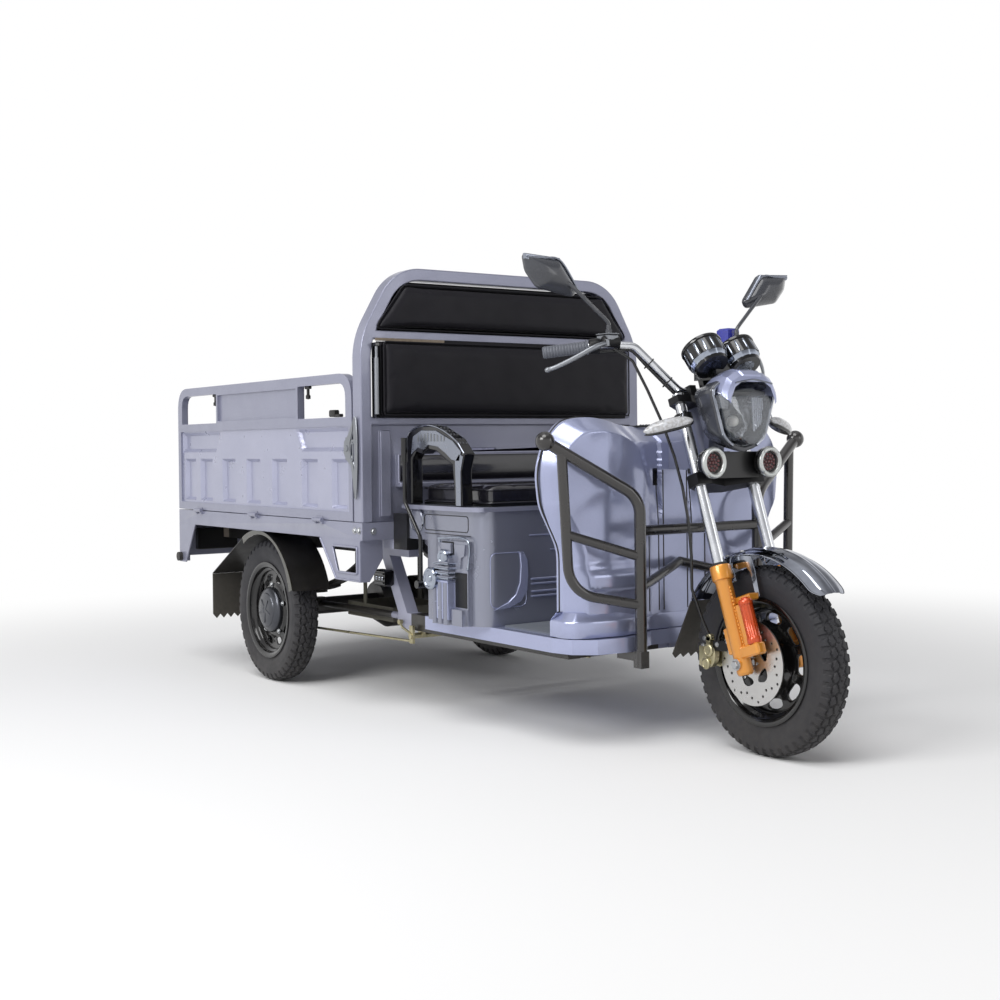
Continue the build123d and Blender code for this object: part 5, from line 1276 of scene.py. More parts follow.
    def build(self, shop: "Workshop") -> None:
        """Make the shield in place of the CAD one."""
        shop.piece("leg_shield_moulding", self.shell() + self.plinth(), SHELL_LACQUER, "chassis", 40.0,
                   ["leg_shield"])
        shop.piece("leg_shield_edging", self.trim(), MOULDED_RUBBER, "chassis")
        shop.piece("leg_shield_seams", self.seams(), MOULDED_RUBBER, "chassis")
        vents = None
        for y in (-78, 78):
            vent = box_shape((1586, 1592), (y - 6, y + 6), (700, 748), 1.5)
            vents = vent if vents is None else vents + vent
        shop.piece("leg_shield_vents", vents, POLISHED_PLASTIC, "chassis")


@dataclass
class Headlamp:
    """Main lamp: a deep housing with a brow, a fluted reflector, a bulb and a bulging clear lens."""

    face: tuple = ((0, 790), (46, 802), (80, 832), (100, 896), (120, 958), (88, 980), (0, 994))
    x: float = WHEELBASE - 101.0
    middle: float = 900.0

    def loop(self, count: int = 120) -> np.ndarray:
        """Rounded outline of the lamp's face, from its foot round."""
        return even_loop(round_corners(mirrored_outline(self.face), [16] * 12), count)

    def rows(self, sections: Sequence[tuple]) -> np.ndarray:
        """Outline scaled about the middle at each (x from the face, scale, drop)."""
        loop = self.loop() - np.array([0.0, self.middle])
        made = []
        for ahead, scale, drop in sections:
            flat = loop * scale
            made.append(np.c_[np.full(len(flat), self.x + ahead), flat[:, 0], flat[:, 1] + self.middle - drop])
        return np.stack(made)

    def housing(self) -> Shape:
        """Closed tub that is open to the front."""
        sections = ((-78, 0.60, 0), (-78, 0.78, 0), (-74, 0.83, 0), (-40, 0.93, 0), (-4, 0.995, 0),
                    (4, 1.0, 0), (10, 0.985, 0), (12, 0.965, 0), (12, 0.90, 0), (2, 0.87, 0),
                    (-48, 0.745, 0), (-50, 0.70, 0), (-50, 0.02, 0))
        return grid(self.rows(sections), caps=True)

    def reflector(self) -> Shape:
        """Bowl pressed into 18 facets: r = r0 (1 + 0.05 |cos 9 turn|)."""
        rows = self.rows(((8, 0.885, 0), (0, 0.862, 0), (-20, 0.80, 0), (-38, 0.70, 2), (-44, 0.5, 8),
                          (-46, 0.22, 22), (-40, 0.18, 24), (-40, 0.01, 24)))
        turn = np.linspace(0, 2 * math.pi, rows.shape[1], endpoint=False)
        ripple = 1 + 0.05 * np.abs(np.cos(9 * turn))
        fade = np.array([0, 0.3, 1, 1, 0.8, 0.3, 0, 0])[:, None]
        spread = 1 + (ripple - 1)[None] * fade
        rows[..., 1] *= spread
        rows[..., 2] = self.middle + (rows[..., 2] - self.middle) * spread
        back = rows[::-1] - np.array([1.2, 0.0, 0.0])
        return grid(np.concatenate([rows, back])[:, ::-1], wrap_rows=True)

    def lens(self) -> Shape:
        """Thin clear bowl: the outer skin, then the inner skin 2.4 mm behind it."""
        outer = self.rows(((3, 0.872, 0), (16, 0.868, 0), (30, 0.82, 3), (40, 0.73, 12), (47, 0.61, 24),
                           (51, 0.44, 34), (53, 0.24, 38), (53.5, 0.03, 38)))
        inner = self.rows(((3, 0.845, 0), (15, 0.842, 0), (28, 0.795, 3), (37.5, 0.71, 12), (44.5, 0.59, 24),
                           (48.5, 0.42, 34), (50.5, 0.22, 38), (51, 0.02, 38)))[::-1]
        return grid(np.concatenate([outer, inner]), wrap_rows=True)

    def strips(self) -> Shape:
        """Bright strips down both sides of the face."""
        loop = self.rows(((12.5, 0.945, 0),))[0]
        right = loop[(loop[:, 1] > 40) & (loop[:, 2] < 972)]
        strip = tube(right[np.argsort(right[:, 2])], 4.6, 10)
        return strip.both()

    def brow(self) -> Shape:
        """Faceted hood over the lens: one bent sheet and a raised middle, lofted along X."""
        sections = ((-66, 984, 82), (-30, 1001, 93), (4, 1006, 99), (30, 1001, 97), (44, 990, 90), (49, 981, 84))
        outer, inner, ridge = [], [], []
        for ahead, top, half in sections:
            flat = [(-half, top - 58), (-half * 0.97, top - 42), (-half * 0.80, top - 14), (-half * 0.50, top),
                    (half * 0.50, top), (half * 0.80, top - 14), (half * 0.97, top - 42), (half, top - 58)]
            x = self.x + ahead
            outer.append([(x, y, z) for y, z in flat])
            inner.append([(x - 1.5, y * 0.95, z - 5.0) for y, z in flat])
            ridge.append([(x, -half * 0.40, top - 2), (x, -half * 0.34, top + 5), (x, half * 0.34, top + 5),
                          (x, half * 0.40, top - 2)])
        rows = np.array(outer + inner[::-1], float)
        shell = grid(rows[:, ::-1], wrap_rows=True, wrap_columns=False)
        return shell + grid(np.array(ridge[:-1], float)[:, ::-1], caps=True)

    def inside(self, shop: "Workshop") -> None:
        """Position-lamp bar across the top, and upright flutes at the outer side."""
        bar = box_shape((self.x - 26, self.x + 6), (-84, 84), (941, 953), 2.0)
        shop.piece("headlamp_bar", bar, POLISHED_PLASTIC, "fork")
        flutes = None
        for step in range(6):
            y = 44.0 + 9.0 * step
            low = 846.0 + 5.5 * step
            flute = tube(np.array([(self.x + 4.0 - 2 * step, y, low), (self.x - 2.0 - 2 * step, y, 936.0)]), 3.6, 8)
            flutes = flute if flutes is None else flutes + flute
        shop.piece("headlamp_flutes", flutes, SATIN_SILVER, "fork", 50.0)
        edge = self.rows(((48.0, 0.86, 0),))[0]
        lip = edge[(edge[:, 2] > 964) & (np.abs(edge[:, 1]) < 68)]
        lip = lip[np.argsort(lip[:, 1])]
        shop.piece("headlamp_brow_edge", tube(lip + np.array([2.0, 0.0, 2.0]), 2.2, 8), CHROME, "fork")

    def build(self, shop: "Workshop") -> None:
        """Make the lamp in place of the CAD shell and lens."""
        arm = box_shape((self.x - 95, self.x - 70), (-30, 30), (850, 930), 3.0)
        shop.piece("headlamp_housing", self.housing() + arm, HOUSING_PLASTIC, "fork", 35.0,
                   ["headlamp_shell"])
        shop.piece("headlamp_reflector", self.reflector(), REFLECTOR, "fork")
        shop.piece("headlamp_clear", self.lens(), CLEAR_LENS, "fork", 60.0, ["headlamp_lens"])
        shop.piece("headlamp_strips", self.strips(), CHROME, "fork")
        shop.piece("headlamp_brow", self.brow(), SHELL_LACQUER, "fork", 22.0)
        bulb = lathe([(13, 0), (15, 3), (15, 14), (12, 20), (7, 24), (0.3, 26)],
                     (self.x - 40, 0, self.middle - 26), (1, 0, 0), 28)
        shop.piece("headlamp_bulb", bulb, FROSTED_GLASS, "fork")
        shade = lathe([(22, 0), (31, 2), (33, 14), (28, 16), (20, 7)], (self.x - 41, 0, self.middle - 26),
                      (1, 0, 0), 32, closed=True)
        self.inside(shop)
        shop.piece("headlamp_bezel", shade, POLISHED_PLASTIC, "fork")


@dataclass
class SpotLamp:
    """Round auxiliary lamp: black cup, thick bright ring and a field of dark red cells."""

    side: int
    x: float = WHEELBASE - 129.0
    y: float = 102.0
    z: float = 764.0

    def build(self, shop: "Workshop", first: bool) -> None:
        """Make one lamp; the first of the pair replaces the CAD node."""
        at = (self.x, self.side * self.y, self.z)
        name = "right" if self.side < 0 else "left"
        cup = lathe([(0.3, 0), (26, 0), (33, 3), (37, 9), (39, 18), (39, 24), (36, 26), (36, 30), (30, 31),
                     (30, 27), (0.3, 26)], at, (1, 0, 0), 48)
        shop.piece("spot_cup_" + name, cup, POLISHED_PLASTIC, "fork", 35.0)
        turn = np.linspace(0, 2 * math.pi, 20, endpoint=False)
        ring = [(35.0 + 7.0 * math.cos(a), 31.5 + 8.5 * math.sin(a)) for a in turn]
        bright = lathe(ring[::-1], at, (1, 0, 0), 56, closed=True)
        replaced = ["spot_lamps"] if first else []
        shop.piece("spot_ring_" + name, bright, LAMP_RING, "fork", 40.0, replaced)
        cells = None
        spots = [(0.0, 0.0)] + ring_of(10.5, 6).tolist() + ring_of(20.5, 12, start=15).tolist()
        for across, up in spots:
            at_cell = (self.x + 26, at[1] + across, self.z + up)
            cell = lathe([(5.0, 0), (4.6, 2.0), (3.0, 3.6), (0.3, 4.2)], at_cell, (1, 0, 0), 10)
            cells = cell if cells is None else cells + cell
        shop.piece("spot_cells_" + name, cells, RED_CELLS, "fork", 60.0)
        screws = None
        for angle in (45, 135, 225, 315):
            turned = math.radians(angle)
            head = lathe([(2.6, 0), (2.6, 1.6), (1.8, 2.4), (0.3, 2.4)],
                         (self.x + 38.6, at[1] + 36 * math.cos(turned), self.z + 36 * math.sin(turned)),
                         (1, 0, 0), 10)
            screws = head if screws is None else screws + head
        shop.piece("spot_screws_" + name, screws, ZINC_BOLT, "fork")


@dataclass
class Gauge:
    """Round instrument in a ribbed bright cup, with its dial towards the rider."""

    side: int
    axis: tuple = (-0.62, 0.0, 0.78)

    def cup(self, at: tuple) -> Shape:
        """Cup with 14 narrow ridges: r = r0 (1 + 0.05 |cos 7 turn|^14)."""
        profile = np.array([(28, 0), (44, 2), (50, 12), (53, 22), (54, 26), (54, 60), (53, 64)], float)
        along = np.array(self.axis)
        first = np.array([0.0, 1.0, 0.0])
        second = np.cross(along, first)
        turn = np.linspace(0, 2 * math.pi, 168, endpoint=False)
        fade = np.array([0, 0, 0.3, 0.5, 1, 1, 0])[:, None]
        ripple = 1 + 0.05 * (np.abs(np.cos(7 * turn)) ** 14)[None] * fade
        radius = profile[:, 0][:, None] * ripple
        points = (radius[..., None] * (np.cos(turn)[:, None] * first + np.sin(turn)[:, None] * second)[None]
                  + profile[:, 1][:, None, None] * along)
        return grid(points + np.array(at), caps=True)

    def build(self, shop: "Workshop") -> None:
        """Make one gauge; its CAD cup keeps the inside, and this dresses it."""
        at = (WHEELBASE - 145.0, self.side * 60.0, 1018.0)
        name = "right" if self.side < 0 else "left"
        shop.piece("gauge_cup_" + name, self.cup(at), SMOKED_CHROME, "fork", 40.0)
        rim = lathe([(53.5, 62), (57, 63), (58, 67), (57, 72), (54, 74), (50, 74), (48.5, 70), (48.5, 66)], at,
                    self.axis, 64)
        shop.piece("gauge_rim_" + name, rim, POLISHED_PLASTIC, "fork", 40.0)
        dial = lathe([(48.2, 65.6), (48.2, 67.0), (0.3, 67.2)], at, self.axis, 48)
        shop.piece("gauge_dial_" + name, dial, DIAL_INK, "fork")
        along = np.array(self.axis)
        first = np.array([0.0, 1.0, 0.0])
        second = np.cross(along, first)
        axes = np.stack([first, second, along], axis=1)
        marks = None
        for step in range(21):
            angle = math.radians(-40 + 13 * step)
            long = 8.0 if step % 4 == 0 else 4.5
            turned = np.array([[math.cos(angle), -math.sin(angle), 0], [math.sin(angle), math.cos(angle), 0],
                               [0, 0, 1.0]])
            tick = box_shape((42 - long, 42), (-0.8, 0.8), (67.2, 67.9), 0.2).placed(turned, (0, 0, 0))
            marks = tick if marks is None else marks + tick
        needle = prism([(-9, -1.6), (36, -0.5), (36, 0.5), (-9, 1.6)], 1.0, 0.3).moved(0, 0, 69.0)
        marks = marks + needle + lathe([(4, 67.2), (4, 70.4), (0.3, 70.8)], (0, 0, 0), (0, 0, 1), 16)
        shop.piece("gauge_marks_" + name, marks.placed(axes, at), DIAL_WHITE, "fork")
        glass = lathe([(48.4, 70.8), (48.4, 72.0), (0.3, 73.0)], at, self.axis, 48)
        shop.piece("gauge_glass_" + name, glass, CLEAR_LENS, "fork", 60.0)


@dataclass
class MirrorHead:
    """Rear-view mirror: faceted shell, bright band over its top, glass behind and a bent stem."""

    outline: tuple = ((324, 1214), (441, 1234), (479, 1277), (488, 1321), (373, 1315), (310, 1234))
    x: float = WHEELBASE - 379.0

    def rows(self, sections: Sequence[tuple]) -> np.ndarray:
        """Outline scaled about its middle at each (x offset, scale)."""
        loop = even_loop(round_corners(self.outline, 9, 5), 72)
        centre = np.array([403.0, 1270.0])
        made = []
        for ahead, scale in sections:
            flat = (loop - centre) * scale + centre
            made.append(np.c_[np.full(len(flat), self.x + ahead), flat])
        return np.stack(made)

    def build(self, shop: "Workshop") -> None:
        """Make both mirrors in place of the CAD ones."""
        shell = grid(self.rows(((-37, 0.90), (-37.5, 0.985), (-34, 1.0), (-26, 0.995), (-21, 0.95), (-8, 0.72),
                                (0, 0.52), (4, 0.30), (5, 0.02))), caps=True).both()
        path = curve_through([(self.x + 18, 238, 1116.5), (self.x + 18, 238, 1132), (self.x + 17, 242, 1148),
                              (self.x + 9, 285, 1186), (self.x, 345, 1238), (self.x - 10, 380, 1262)], 40)
        stem = tube(path, 5.6, 12).both()
        foot = lathe([(10, 0), (10, 9), (7.5, 12), (7.5, 20), (6, 22)], (self.x + 18, 238, 1116.4),
                     (0, 0, 1), 6).both()
        shop.piece("mirror_shells", shell + stem + foot, HOUSING_PLASTIC, "fork", 30.0, ["mirrors"])
        top = [(316, 1238), (373, 1315.5), (488, 1321.5), (486, 1307), (468, 1300), (384, 1294), (338, 1236)]
        depth = np.array([(-22.0,), (-22.0,)])
        band = prism(top[::-1], 14.0, 2.5).placed(OUT_FRONT, (self.x - 31, 0, 0)).both()
        rib = tube(curve_through([(self.x - 15 + depth[0][0] * 0, 318, 1238), (self.x - 14, 375, 1308),
                                  (self.x - 14, 430, 1312), (self.x - 16, 482, 1312)], 30), 2.6, 8).both()
        shop.piece("mirror_bands", band + rib, SATIN_SILVER, "fork", 30.0)
        glass = grid(self.rows(((-38.4, 0.90), (-37.4, 0.90))), caps=True).both()
        shop.piece("mirror_glass", glass, CHROME, "fork", 30.0)


@dataclass
class TurnSignals:
    """Leaf-shaped direction lamps: fluted clear body, dark base edge, clip and fork clamp."""

    at: tuple = (WHEELBASE - 157.0, 206.0, 862.0)

    def leaf(self, length: float, height: float, depth: float, low: float = -1.0) -> Shape:
        """Leaf: at each place u along it the section is an oval of half height h (1 - |u|^2.4)^0.7."""
        u = np.linspace(-0.999, 0.999, 41)
        swell = (1 - np.abs(u) ** 2.4) ** 0.7
        turn = np.linspace(0, 2 * math.pi, 36, endpoint=False)
        x = depth * swell[:, None] * np.cos(turn)[None]
        z = np.maximum(height * swell[:, None] * np.sin(turn)[None], low * height * 0.62)
        y = np.broadcast_to(length * u[:, None], x.shape)
        return grid(np.stack([x, y, z], axis=-1)[:, ::-1], caps=True)

    def build(self, shop: "Workshop") -> None:
        """Make both lamps in place of the CAD ones."""
        tilt, yaw = math.radians(-14), math.radians(22)
        about_x = np.array([[1, 0, 0], [0, math.cos(tilt), -math.sin(tilt)], [0, math.sin(tilt), math.cos(tilt)]])
        about_z = np.array([[math.cos(yaw), -math.sin(yaw), 0], [math.sin(yaw), math.cos(yaw), 0], [0, 0, 1]])
        turned = about_x @ about_z
        clear = self.leaf(71, 19.5, 21).placed(turned, self.at).both()
        shop.piece("turn_signal_clear", clear, FLUTED_ACRYLIC, "fork", 60.0, ["turn_signals"])
        base = self.leaf(70, 20.0, 21.6).points
        base = base * np.array([1.0, 1.0, 0.42]) + np.array([0, 0, -9.5])
        edge = Shape(base, self.leaf(70, 20.0, 21.6).faces).placed(turned, self.at).both()
        shop.piece("turn_signal_base", edge, POLISHED_PLASTIC, "fork", 60.0)
        stalk = tube([(self.at[0] - 56, FORK_HALF + 20, 878), (self.at[0] - 34, 140, 882),
                      (self.at[0] - 8, 166, 886)], 7.0, 14)
        collar = lathe([(TUBE + 0.6, 0), (TUBE + 8, 0), (TUBE + 8, 27), (TUBE + 0.6, 27)],
                       (0, 0, 0), (0, 0, 1), 40, closed=True)
        collar = collar.placed(FORK_AXES, self.clamp_point(655.0))
        shop.piece("turn_signal_stalks", (stalk + collar).both(), GRAINED_PLASTIC, "fork", 40.0)
        loop = self.clip()
        shop.piece("turn_signal_clips", tube(loop, 1.8, 8).both(), CHROME, "fork", 60.0)

    def clamp_point(self, along: float) -> tuple:
        """Point on the left fork tube at a distance up from the axle."""
        point = FORK_AXES @ np.array([0.0, FORK_HALF, along]) + np.array(FRONT_AXLE)
        return (float(point[0]), float(point[1]), float(point[2]))

    def clip(self) -> np.ndarray:
        """Wire ring that holds the lamp to the tube: a long ellipse round both."""
        turn = np.linspace(0, 2 * math.pi, 60)
        start = np.array(self.clamp_point(668.0))
        end = np.array([self.at[0] - 4, 158.0, 886.0])
        middle = (start + end) / 2 + np.array([8.0, 0.0, 0.0])
        half = (end - start) / 2
        over = np.array([0.0, 0.0, 19.0])
        return middle + np.cos(turn)[:, None] * half * 1.15 + np.sin(turn)[:, None] * over


TUBE = 16.0


@dataclass
class Handlebar:
    """Grips, switch blocks, fluid reservoirs, levers and the cables clipped under the bar."""

    x: float = WHEELBASE - 379.0
    route: tuple = ((WHEELBASE - 336, 170, 1082), (WHEELBASE - 379, 240, 1086), (WHEELBASE - 468, 378, 1066))
    held: tuple = (((WHEELBASE - 357, 205, 1084), (-43, 70, 4)), ((WHEELBASE - 336, 170, 1082), (-55, 89, 65)),
                   ((WHEELBASE - 313, 132, 1038), (-66, 108, 126)), ((WHEELBASE - 287, 89, 987), (-66, 108, 126)),
                   ((WHEELBASE - 275, 70, 965), (-66, 108, 126)))

    def along(self, share: float) -> np.ndarray:
        """Point on the swept part of the left bar by share of its length."""
        start, end = np.array(self.route[1], float), np.array(self.route[2], float)
        return start + (end - start) * share

    def grips(self) -> Shape:
        """Grip with rolled rings: r = 15.6 + 1.4 |sin| along its length, and a flange inboard."""
        start, end = self.along(0.27), self.along(1.02)
        length = float(np.linalg.norm(end - start))
        place = np.linspace(8.0, length - 4.0, 121)
        ribs = 15.4 + 1.6 * np.abs(np.sin(place * math.pi / 8.0)) ** 0.5
        profile = [(11.4, 0.0), (20.5, 0.0), (21, 2.0), (20.5, 4.5), (16.5, 6.0)]
        profile += list(zip(ribs.tolist(), place.tolist()))
        profile += [(16.0, length - 2), (13.0, length), (0.3, length)]
        return lathe(profile, start, end - start, 32).both()

    def blocks(self) -> Shape:
        """Switch block clamped on the bar, with its buttons' bosses."""
        start, end = self.along(0.07), self.along(0.25)
        way = end - start
        length = float(np.linalg.norm(way))
        body = lathe([(14, 0), (19, 1), (20.5, 4), (20.5, length - 4), (19, length - 1), (14, length)], start,
                     way, 28)
        body += lathe([(15, 0), (16, 2), (16, 44), (13, 48), (6, 49)], (self.x + 30, 213, 1092),
                      (-14, 47, 2), 24)
        return body.both()

    def reservoirs(self) -> Shape:
        """Fluid reservoirs with a lid and four screws."""
        box = box_shape((self.x - 12, self.x + 38), (221, 255), (1096, 1112), 2.5)
        lid = box_shape((self.x - 14, self.x + 40), (219, 257), (1112.4, 1116), 1.2)
        shape = box + lid
        for x in (self.x - 8, self.x + 34):
            for y in (225, 251):
                shape = shape + lathe([(2.6, 0), (2.6, 1.0), (0.3, 1.3)], (x, y, 1116), (0, 0, 1), 10)
        return shape.both()

    def levers(self) -> Shape:
        """Curved lever: a flattened tube that swells to a ball at its end."""
        path = curve_through([(self.x + 26, 248, 1088), (self.x + 31, 275, 1083), (self.x + 28, 305, 1072),
                              (self.x + 8, 345, 1048), (self.x - 20, 382, 1026), (self.x - 41, 401, 1016.5)], 50)
        radius = 4.6 + 1.6 * np.linspace(1, 0, 50)
        lever = tube(path, 1.0, 14)
        middle = path[:, None]
        rings = lever.points.reshape(50, 14, 3)
        offset = (rings - middle) * radius[:, None, None] * np.array([1.0, 1.0, 1.35])
        arm = grid(middle + offset, caps=True)
        ball = lathe([(0.3, -8), (4.5, -7), (7, -3.6), (7.6, 0), (7, 3.6), (4.5, 7), (0.3, 8)],
                     (self.x - 41, 401, 1016.5), (0.6, -0.5, 0.3), 20)
        pivot = lathe([(9, -9), (9, 9)], (self.x + 27, 252, 1090), (0, 0, 1), 24)
        return (arm + ball + pivot).both()

    def across_and_over(self, way: Sequence[float]) -> tuple[np.ndarray, np.ndarray]:
        """Directions across and over a stretch of the bar that runs along a way."""
        along = np.array(way, float) / np.linalg.norm(way)
        across = np.cross(along, (0.0, 0.0, 1.0))
        across /= np.linalg.norm(across)
        return across, np.cross(across, along)

    def cables(self, aside: float) -> Shape:
        """Cable tied under the bar, from the switch block down to the upper yoke."""
        points = [self.along(0.14) + (0, 0, -18)]
        for at, way in self.held:
            across, over = self.across_and_over(way)
            points.append(np.array(at, float) - 14.8 * over + aside * across)
        points.append(np.array([self.x + 122, 44, 913]))
        return tube(curve_through(points, 90), 3.4, 8).both()

    def ties(self) -> Shape:
        """Bands that hold the cables against the bar."""
        turn = np.linspace(0, 2 * math.pi, 25)
        bands = None
        for at, way in (self.held[0], self.held[2], self.held[3]):
            across, over = self.across_and_over(way)
            ring = np.array(at, float) - 5.5 * over + 12.8 * np.cos(turn)[:, None] * across
            band = tube(ring + 17.5 * np.sin(turn)[:, None] * over, 1.8, 6, ends=False)
            bands = band if bands is None else bands + band
        return bands.both()

    def build(self, shop: "Workshop") -> None:
        """Make the controls in place of the CAD grips and controls."""
        shop.piece("grip_sleeves", self.grips(), GRIP_RUBBER, "fork", 40.0, ["grips"])
        shop.piece("switch_blocks", self.blocks(), GRAINED_PLASTIC, "fork", 35.0, ["hand_controls"])
        cables = self.cables(-3.6) + self.cables(3.6)
        shop.piece("bar_cables", cables, POLISHED_PLASTIC, "fork", 60.0)
        shop.piece("cable_ties", self.ties(), MOULDED_RUBBER, "fork", 60.0)
        shop.piece("fluid_reservoirs", self.reservoirs(), CAST_ALUMINIUM, "fork", 30.0)
        shop.piece("hand_levers", self.levers(), CAST_ALUMINIUM, "fork", 40.0)
        cap = box_shape((self.x - 44, self.x + 4), (218, 262), (1104, 1150), 6.0)
        shop.piece("left_reservoir_cap", cap, BLUE_CAP, "fork", 30.0)


@dataclass
class DropSide:
    """Folding side of the bed: a bevelled frame, a stamped sheet, a plain panel and its latch.

    The sheet's depth at a point is the greatest of its stampings, each a block with sloping walls:
    depth min(1, distance inside / slope).
    """

    side: int = -1
    outside: float = 550.0
    thick: float = 25.0
    rear: float = -690.0
    front: float = 710.0
    low: float = 586.0
    high: float = 1047.0
    sheet: tuple = (614.0, 882.0)
    ribs: tuple = ((-640, -535), (-493, -378), (-289, -174), (-80, 35), (128, 243), (352, 467), (562, 667))
    rib_z: tuple = (622.0, 779.0)
    sign: tuple = (-325.0, 341.0)
    hinges: tuple = (-486.0, 0.0, 490.0)

    def window(self, x: tuple, rounded: int) -> np.ndarray:
        """Window of the guard rail, with one large corner."""
        corners = [(x[0], 910), (x[1], 910), (x[1], 1017), (x[0], 1017)]
        cuts = [4, 4, 4, 4]
        cuts[rounded] = 48
        return round_corners(corners, cuts)[::-1]

    def frame(self) -> Shape:
        """Frame of the side, cut from one outline with its openings."""
        rim = round_corners([(self.rear, self.low), (self.front, self.low), (self.front, self.high),
                             (self.rear, self.high)], [3, 3, 84, 84], 12)
        sheet = round_corners([(-664, self.sheet[0]), (686, self.sheet[0]), (686, self.sheet[1]),
                               (-664, self.sheet[1])], 5)[::-1]
        sign = round_corners([(self.sign[0] + 12, 916), (self.sign[1] - 12, 916), (self.sign[1] - 12, 1012),
                              (self.sign[0] + 12, 1012)], 3)[::-1]
        rear = self.window((-652, self.sign[0]), 3)
        front = self.window((self.sign[1], 670), 2)
        return plate([rim, sheet, sign, rear, front], self.thick)

    def stamped(self) -> Shape:
        """Sheet with its ribs and corner pockets pressed in by 13 mm."""
        marks = [v for pair in self.ribs for e in pair for v in (e - 0.1, e + 13.0, e - 13.0, e + 0.1)]
        x = np.unique(np.r_[np.linspace(-668, 690, 200), marks, [v for r in self.ribs for v in r]])
        z = np.unique(np.r_[np.linspace(610, 886, 44), 622, 633, 768, 779, 803, 816, 866, 878])
        xx, zz = np.meshgrid(x, z)
        depth = np.zeros_like(xx)
        for start, end in self.ribs:
            inside = np.minimum((xx - start) / 13.0, (end - xx) / 13.0)
            inside = np.minimum(inside, np.minimum((zz - self.rib_z[0]) / 11.0, (self.rib_z[1] - zz) / 11.0))
            depth = np.maximum(depth, np.clip(inside, 0, 1))
        slope = (zz - 803.0) * 45.0 / 75.0
        for start, end in ((-660, -345 + slope), (360 - slope, 682)):
            inside = np.minimum((xx - start) / 13.0, (end - xx) / 13.0)
            inside = np.minimum(inside, np.minimum((zz - 803) / 13.0, (878 - zz) / 13.0))
            depth = np.maximum(depth, np.clip(inside, 0, 1))
        out = 13.5 - 13.0 * depth
        face = np.stack([xx, zz, out + 5.0], axis=-1)
        back = np.stack([xx, zz, out + 3.2], axis=-1)
        outer = grid(face, wrap_columns=False)
        inner = grid(back[:, ::-1], wrap_columns=False)
        return outer + inner

    def latch(self) -> Shape:
        """Over-centre latch: a base plate, a tapered lever, a hook and a wire link."""
        base = box_shape((672, 707), (776, 846), (25.0, 28.0), 1.0)
        arm = prism([(738, 657), (746, 655), (752, 700), (757, 760), (757, 850), (752, 902), (744, 911),
                     (735, 906), (733, 860), (738, 800), (736, 730)], 4.5, 1.4).moved(0, 0, 29.5)
        lever = prism([(736, 660), (728, 720), (716, 762), (690, 776), (672, 800), (676, 832), (700, 852),
                       (722, 880), (734, 904), (728, 868), (712, 834), (706, 806), (716, 786), (730, 764),
                       (738, 730)], 4.0, 1.2).moved(0, 0, 29.5)
        cross = box_shape((700, 745), (826, 840), (28.5, 32.0), 1.0)
        boss = lathe([(10, 28), (10, 35), (7, 36.5), (0.3, 36.5)], (690, 812, 0), (0, 0, 1), 20)
        knob = lathe([(7, 28), (7, 34), (4, 35.5), (0.3, 35.5)], (745, 834, 0), (0, 0, 1), 20)
        lever = lever + arm + cross
        turn = np.linspace(0, 2 * math.pi, 30)
        link = np.c_[722 + 8.5 * np.sin(turn), 800 + 30 * np.cos(turn), np.full(30, 33.0)]
        return base + lever + boss + knob + tube(link, 2.2, 8)

    def build(self, shop: "Workshop") -> None:
        """Make the side in place of its CAD panel."""
        name = "right" if self.side < 0 else "left"
        body = "side_" + name

        def place(shape: Shape) -> Shape:
            """Stand a flat shape up on the right side, and mirror it for the left."""
            stood = shape.placed(RIGHT_SIDE, (0, -self.outside + self.thick, 0))
            return stood if self.side < 0 else stood.other_side()

        made = shop.piece("drop_side_frame_" + name, place(self.frame()), PANEL_ENAMEL, body, 30.0,
                          ["side_panel_" + name])
        bevel = made.modifiers.new("edges", "BEVEL")
        bevel.width = 3.0 * MM
        bevel.segments = 2
        bevel.limit_method = "ANGLE"
        bevel.angle_limit = math.radians(40.0)
        shop.piece("drop_side_sheet_" + name, place(self.stamped()), PRESSED_ENAMEL, body, 24.0)
        sign = prism([(self.sign[0] + 8, 912), (self.sign[1] - 8, 912), (self.sign[1] - 8, 1015),
                      (self.sign[0] + 8, 1015)], 2.0, 0.5).moved(0, 0, 14.5)
        shop.piece("drop_side_plain_panel_" + name, place(sign), PANEL_ENAMEL, body)
        knuckles = None
        for x in self.hinges:
            roll = lathe([(4.1, -15), (7, -15), (7, 15), (4.1, 15)], (x, 584.5, 33.0), (1, 0, 0), 20, closed=True)
            leaf = box_shape((x - 22, x + 22), (587.0, 597), (25.0, 27.0), 0.8)
            web = box_shape((x - 22, x + 22), (586.5, 590), (25.0, 33.0), 0.8)
            knuckles = roll + leaf + web if knuckles is None else knuckles + roll + leaf + web
        shop.piece("drop_side_knuckles_" + name, place(knuckles), PANEL_ENAMEL, body)
        shop.piece("drop_side_latch_" + name, place(self.latch()), CAST_ALUMINIUM, body, 30.0)
        buffers = None
        for x in (-380.0, 372.0):
            pad = box_shape((x, x + 30), (1008, 1018), (2.0, 16.0), 3.0)
            pin = lathe([(5, 1009), (5, 990), (8, 986), (8, 976), (0.3, 974)], (x + 15, 9, 0), (0, 0, 1), 14)
            pin = Shape(pin.points[:, [0, 2, 1]], pin.faces)
            pad = pad + pin
            buffers = pad if buffers is None else buffers + pad
        grip = box_shape((566, 600), (912, 934), (6.0, 30.0), 5.0) + box_shape((594, 628), (911, 921), (8, 26), 3.0)
        buffers = buffers + grip
        shop.piece("drop_side_hooks_" + name, place(buffers), MOULDED_RUBBER, body)


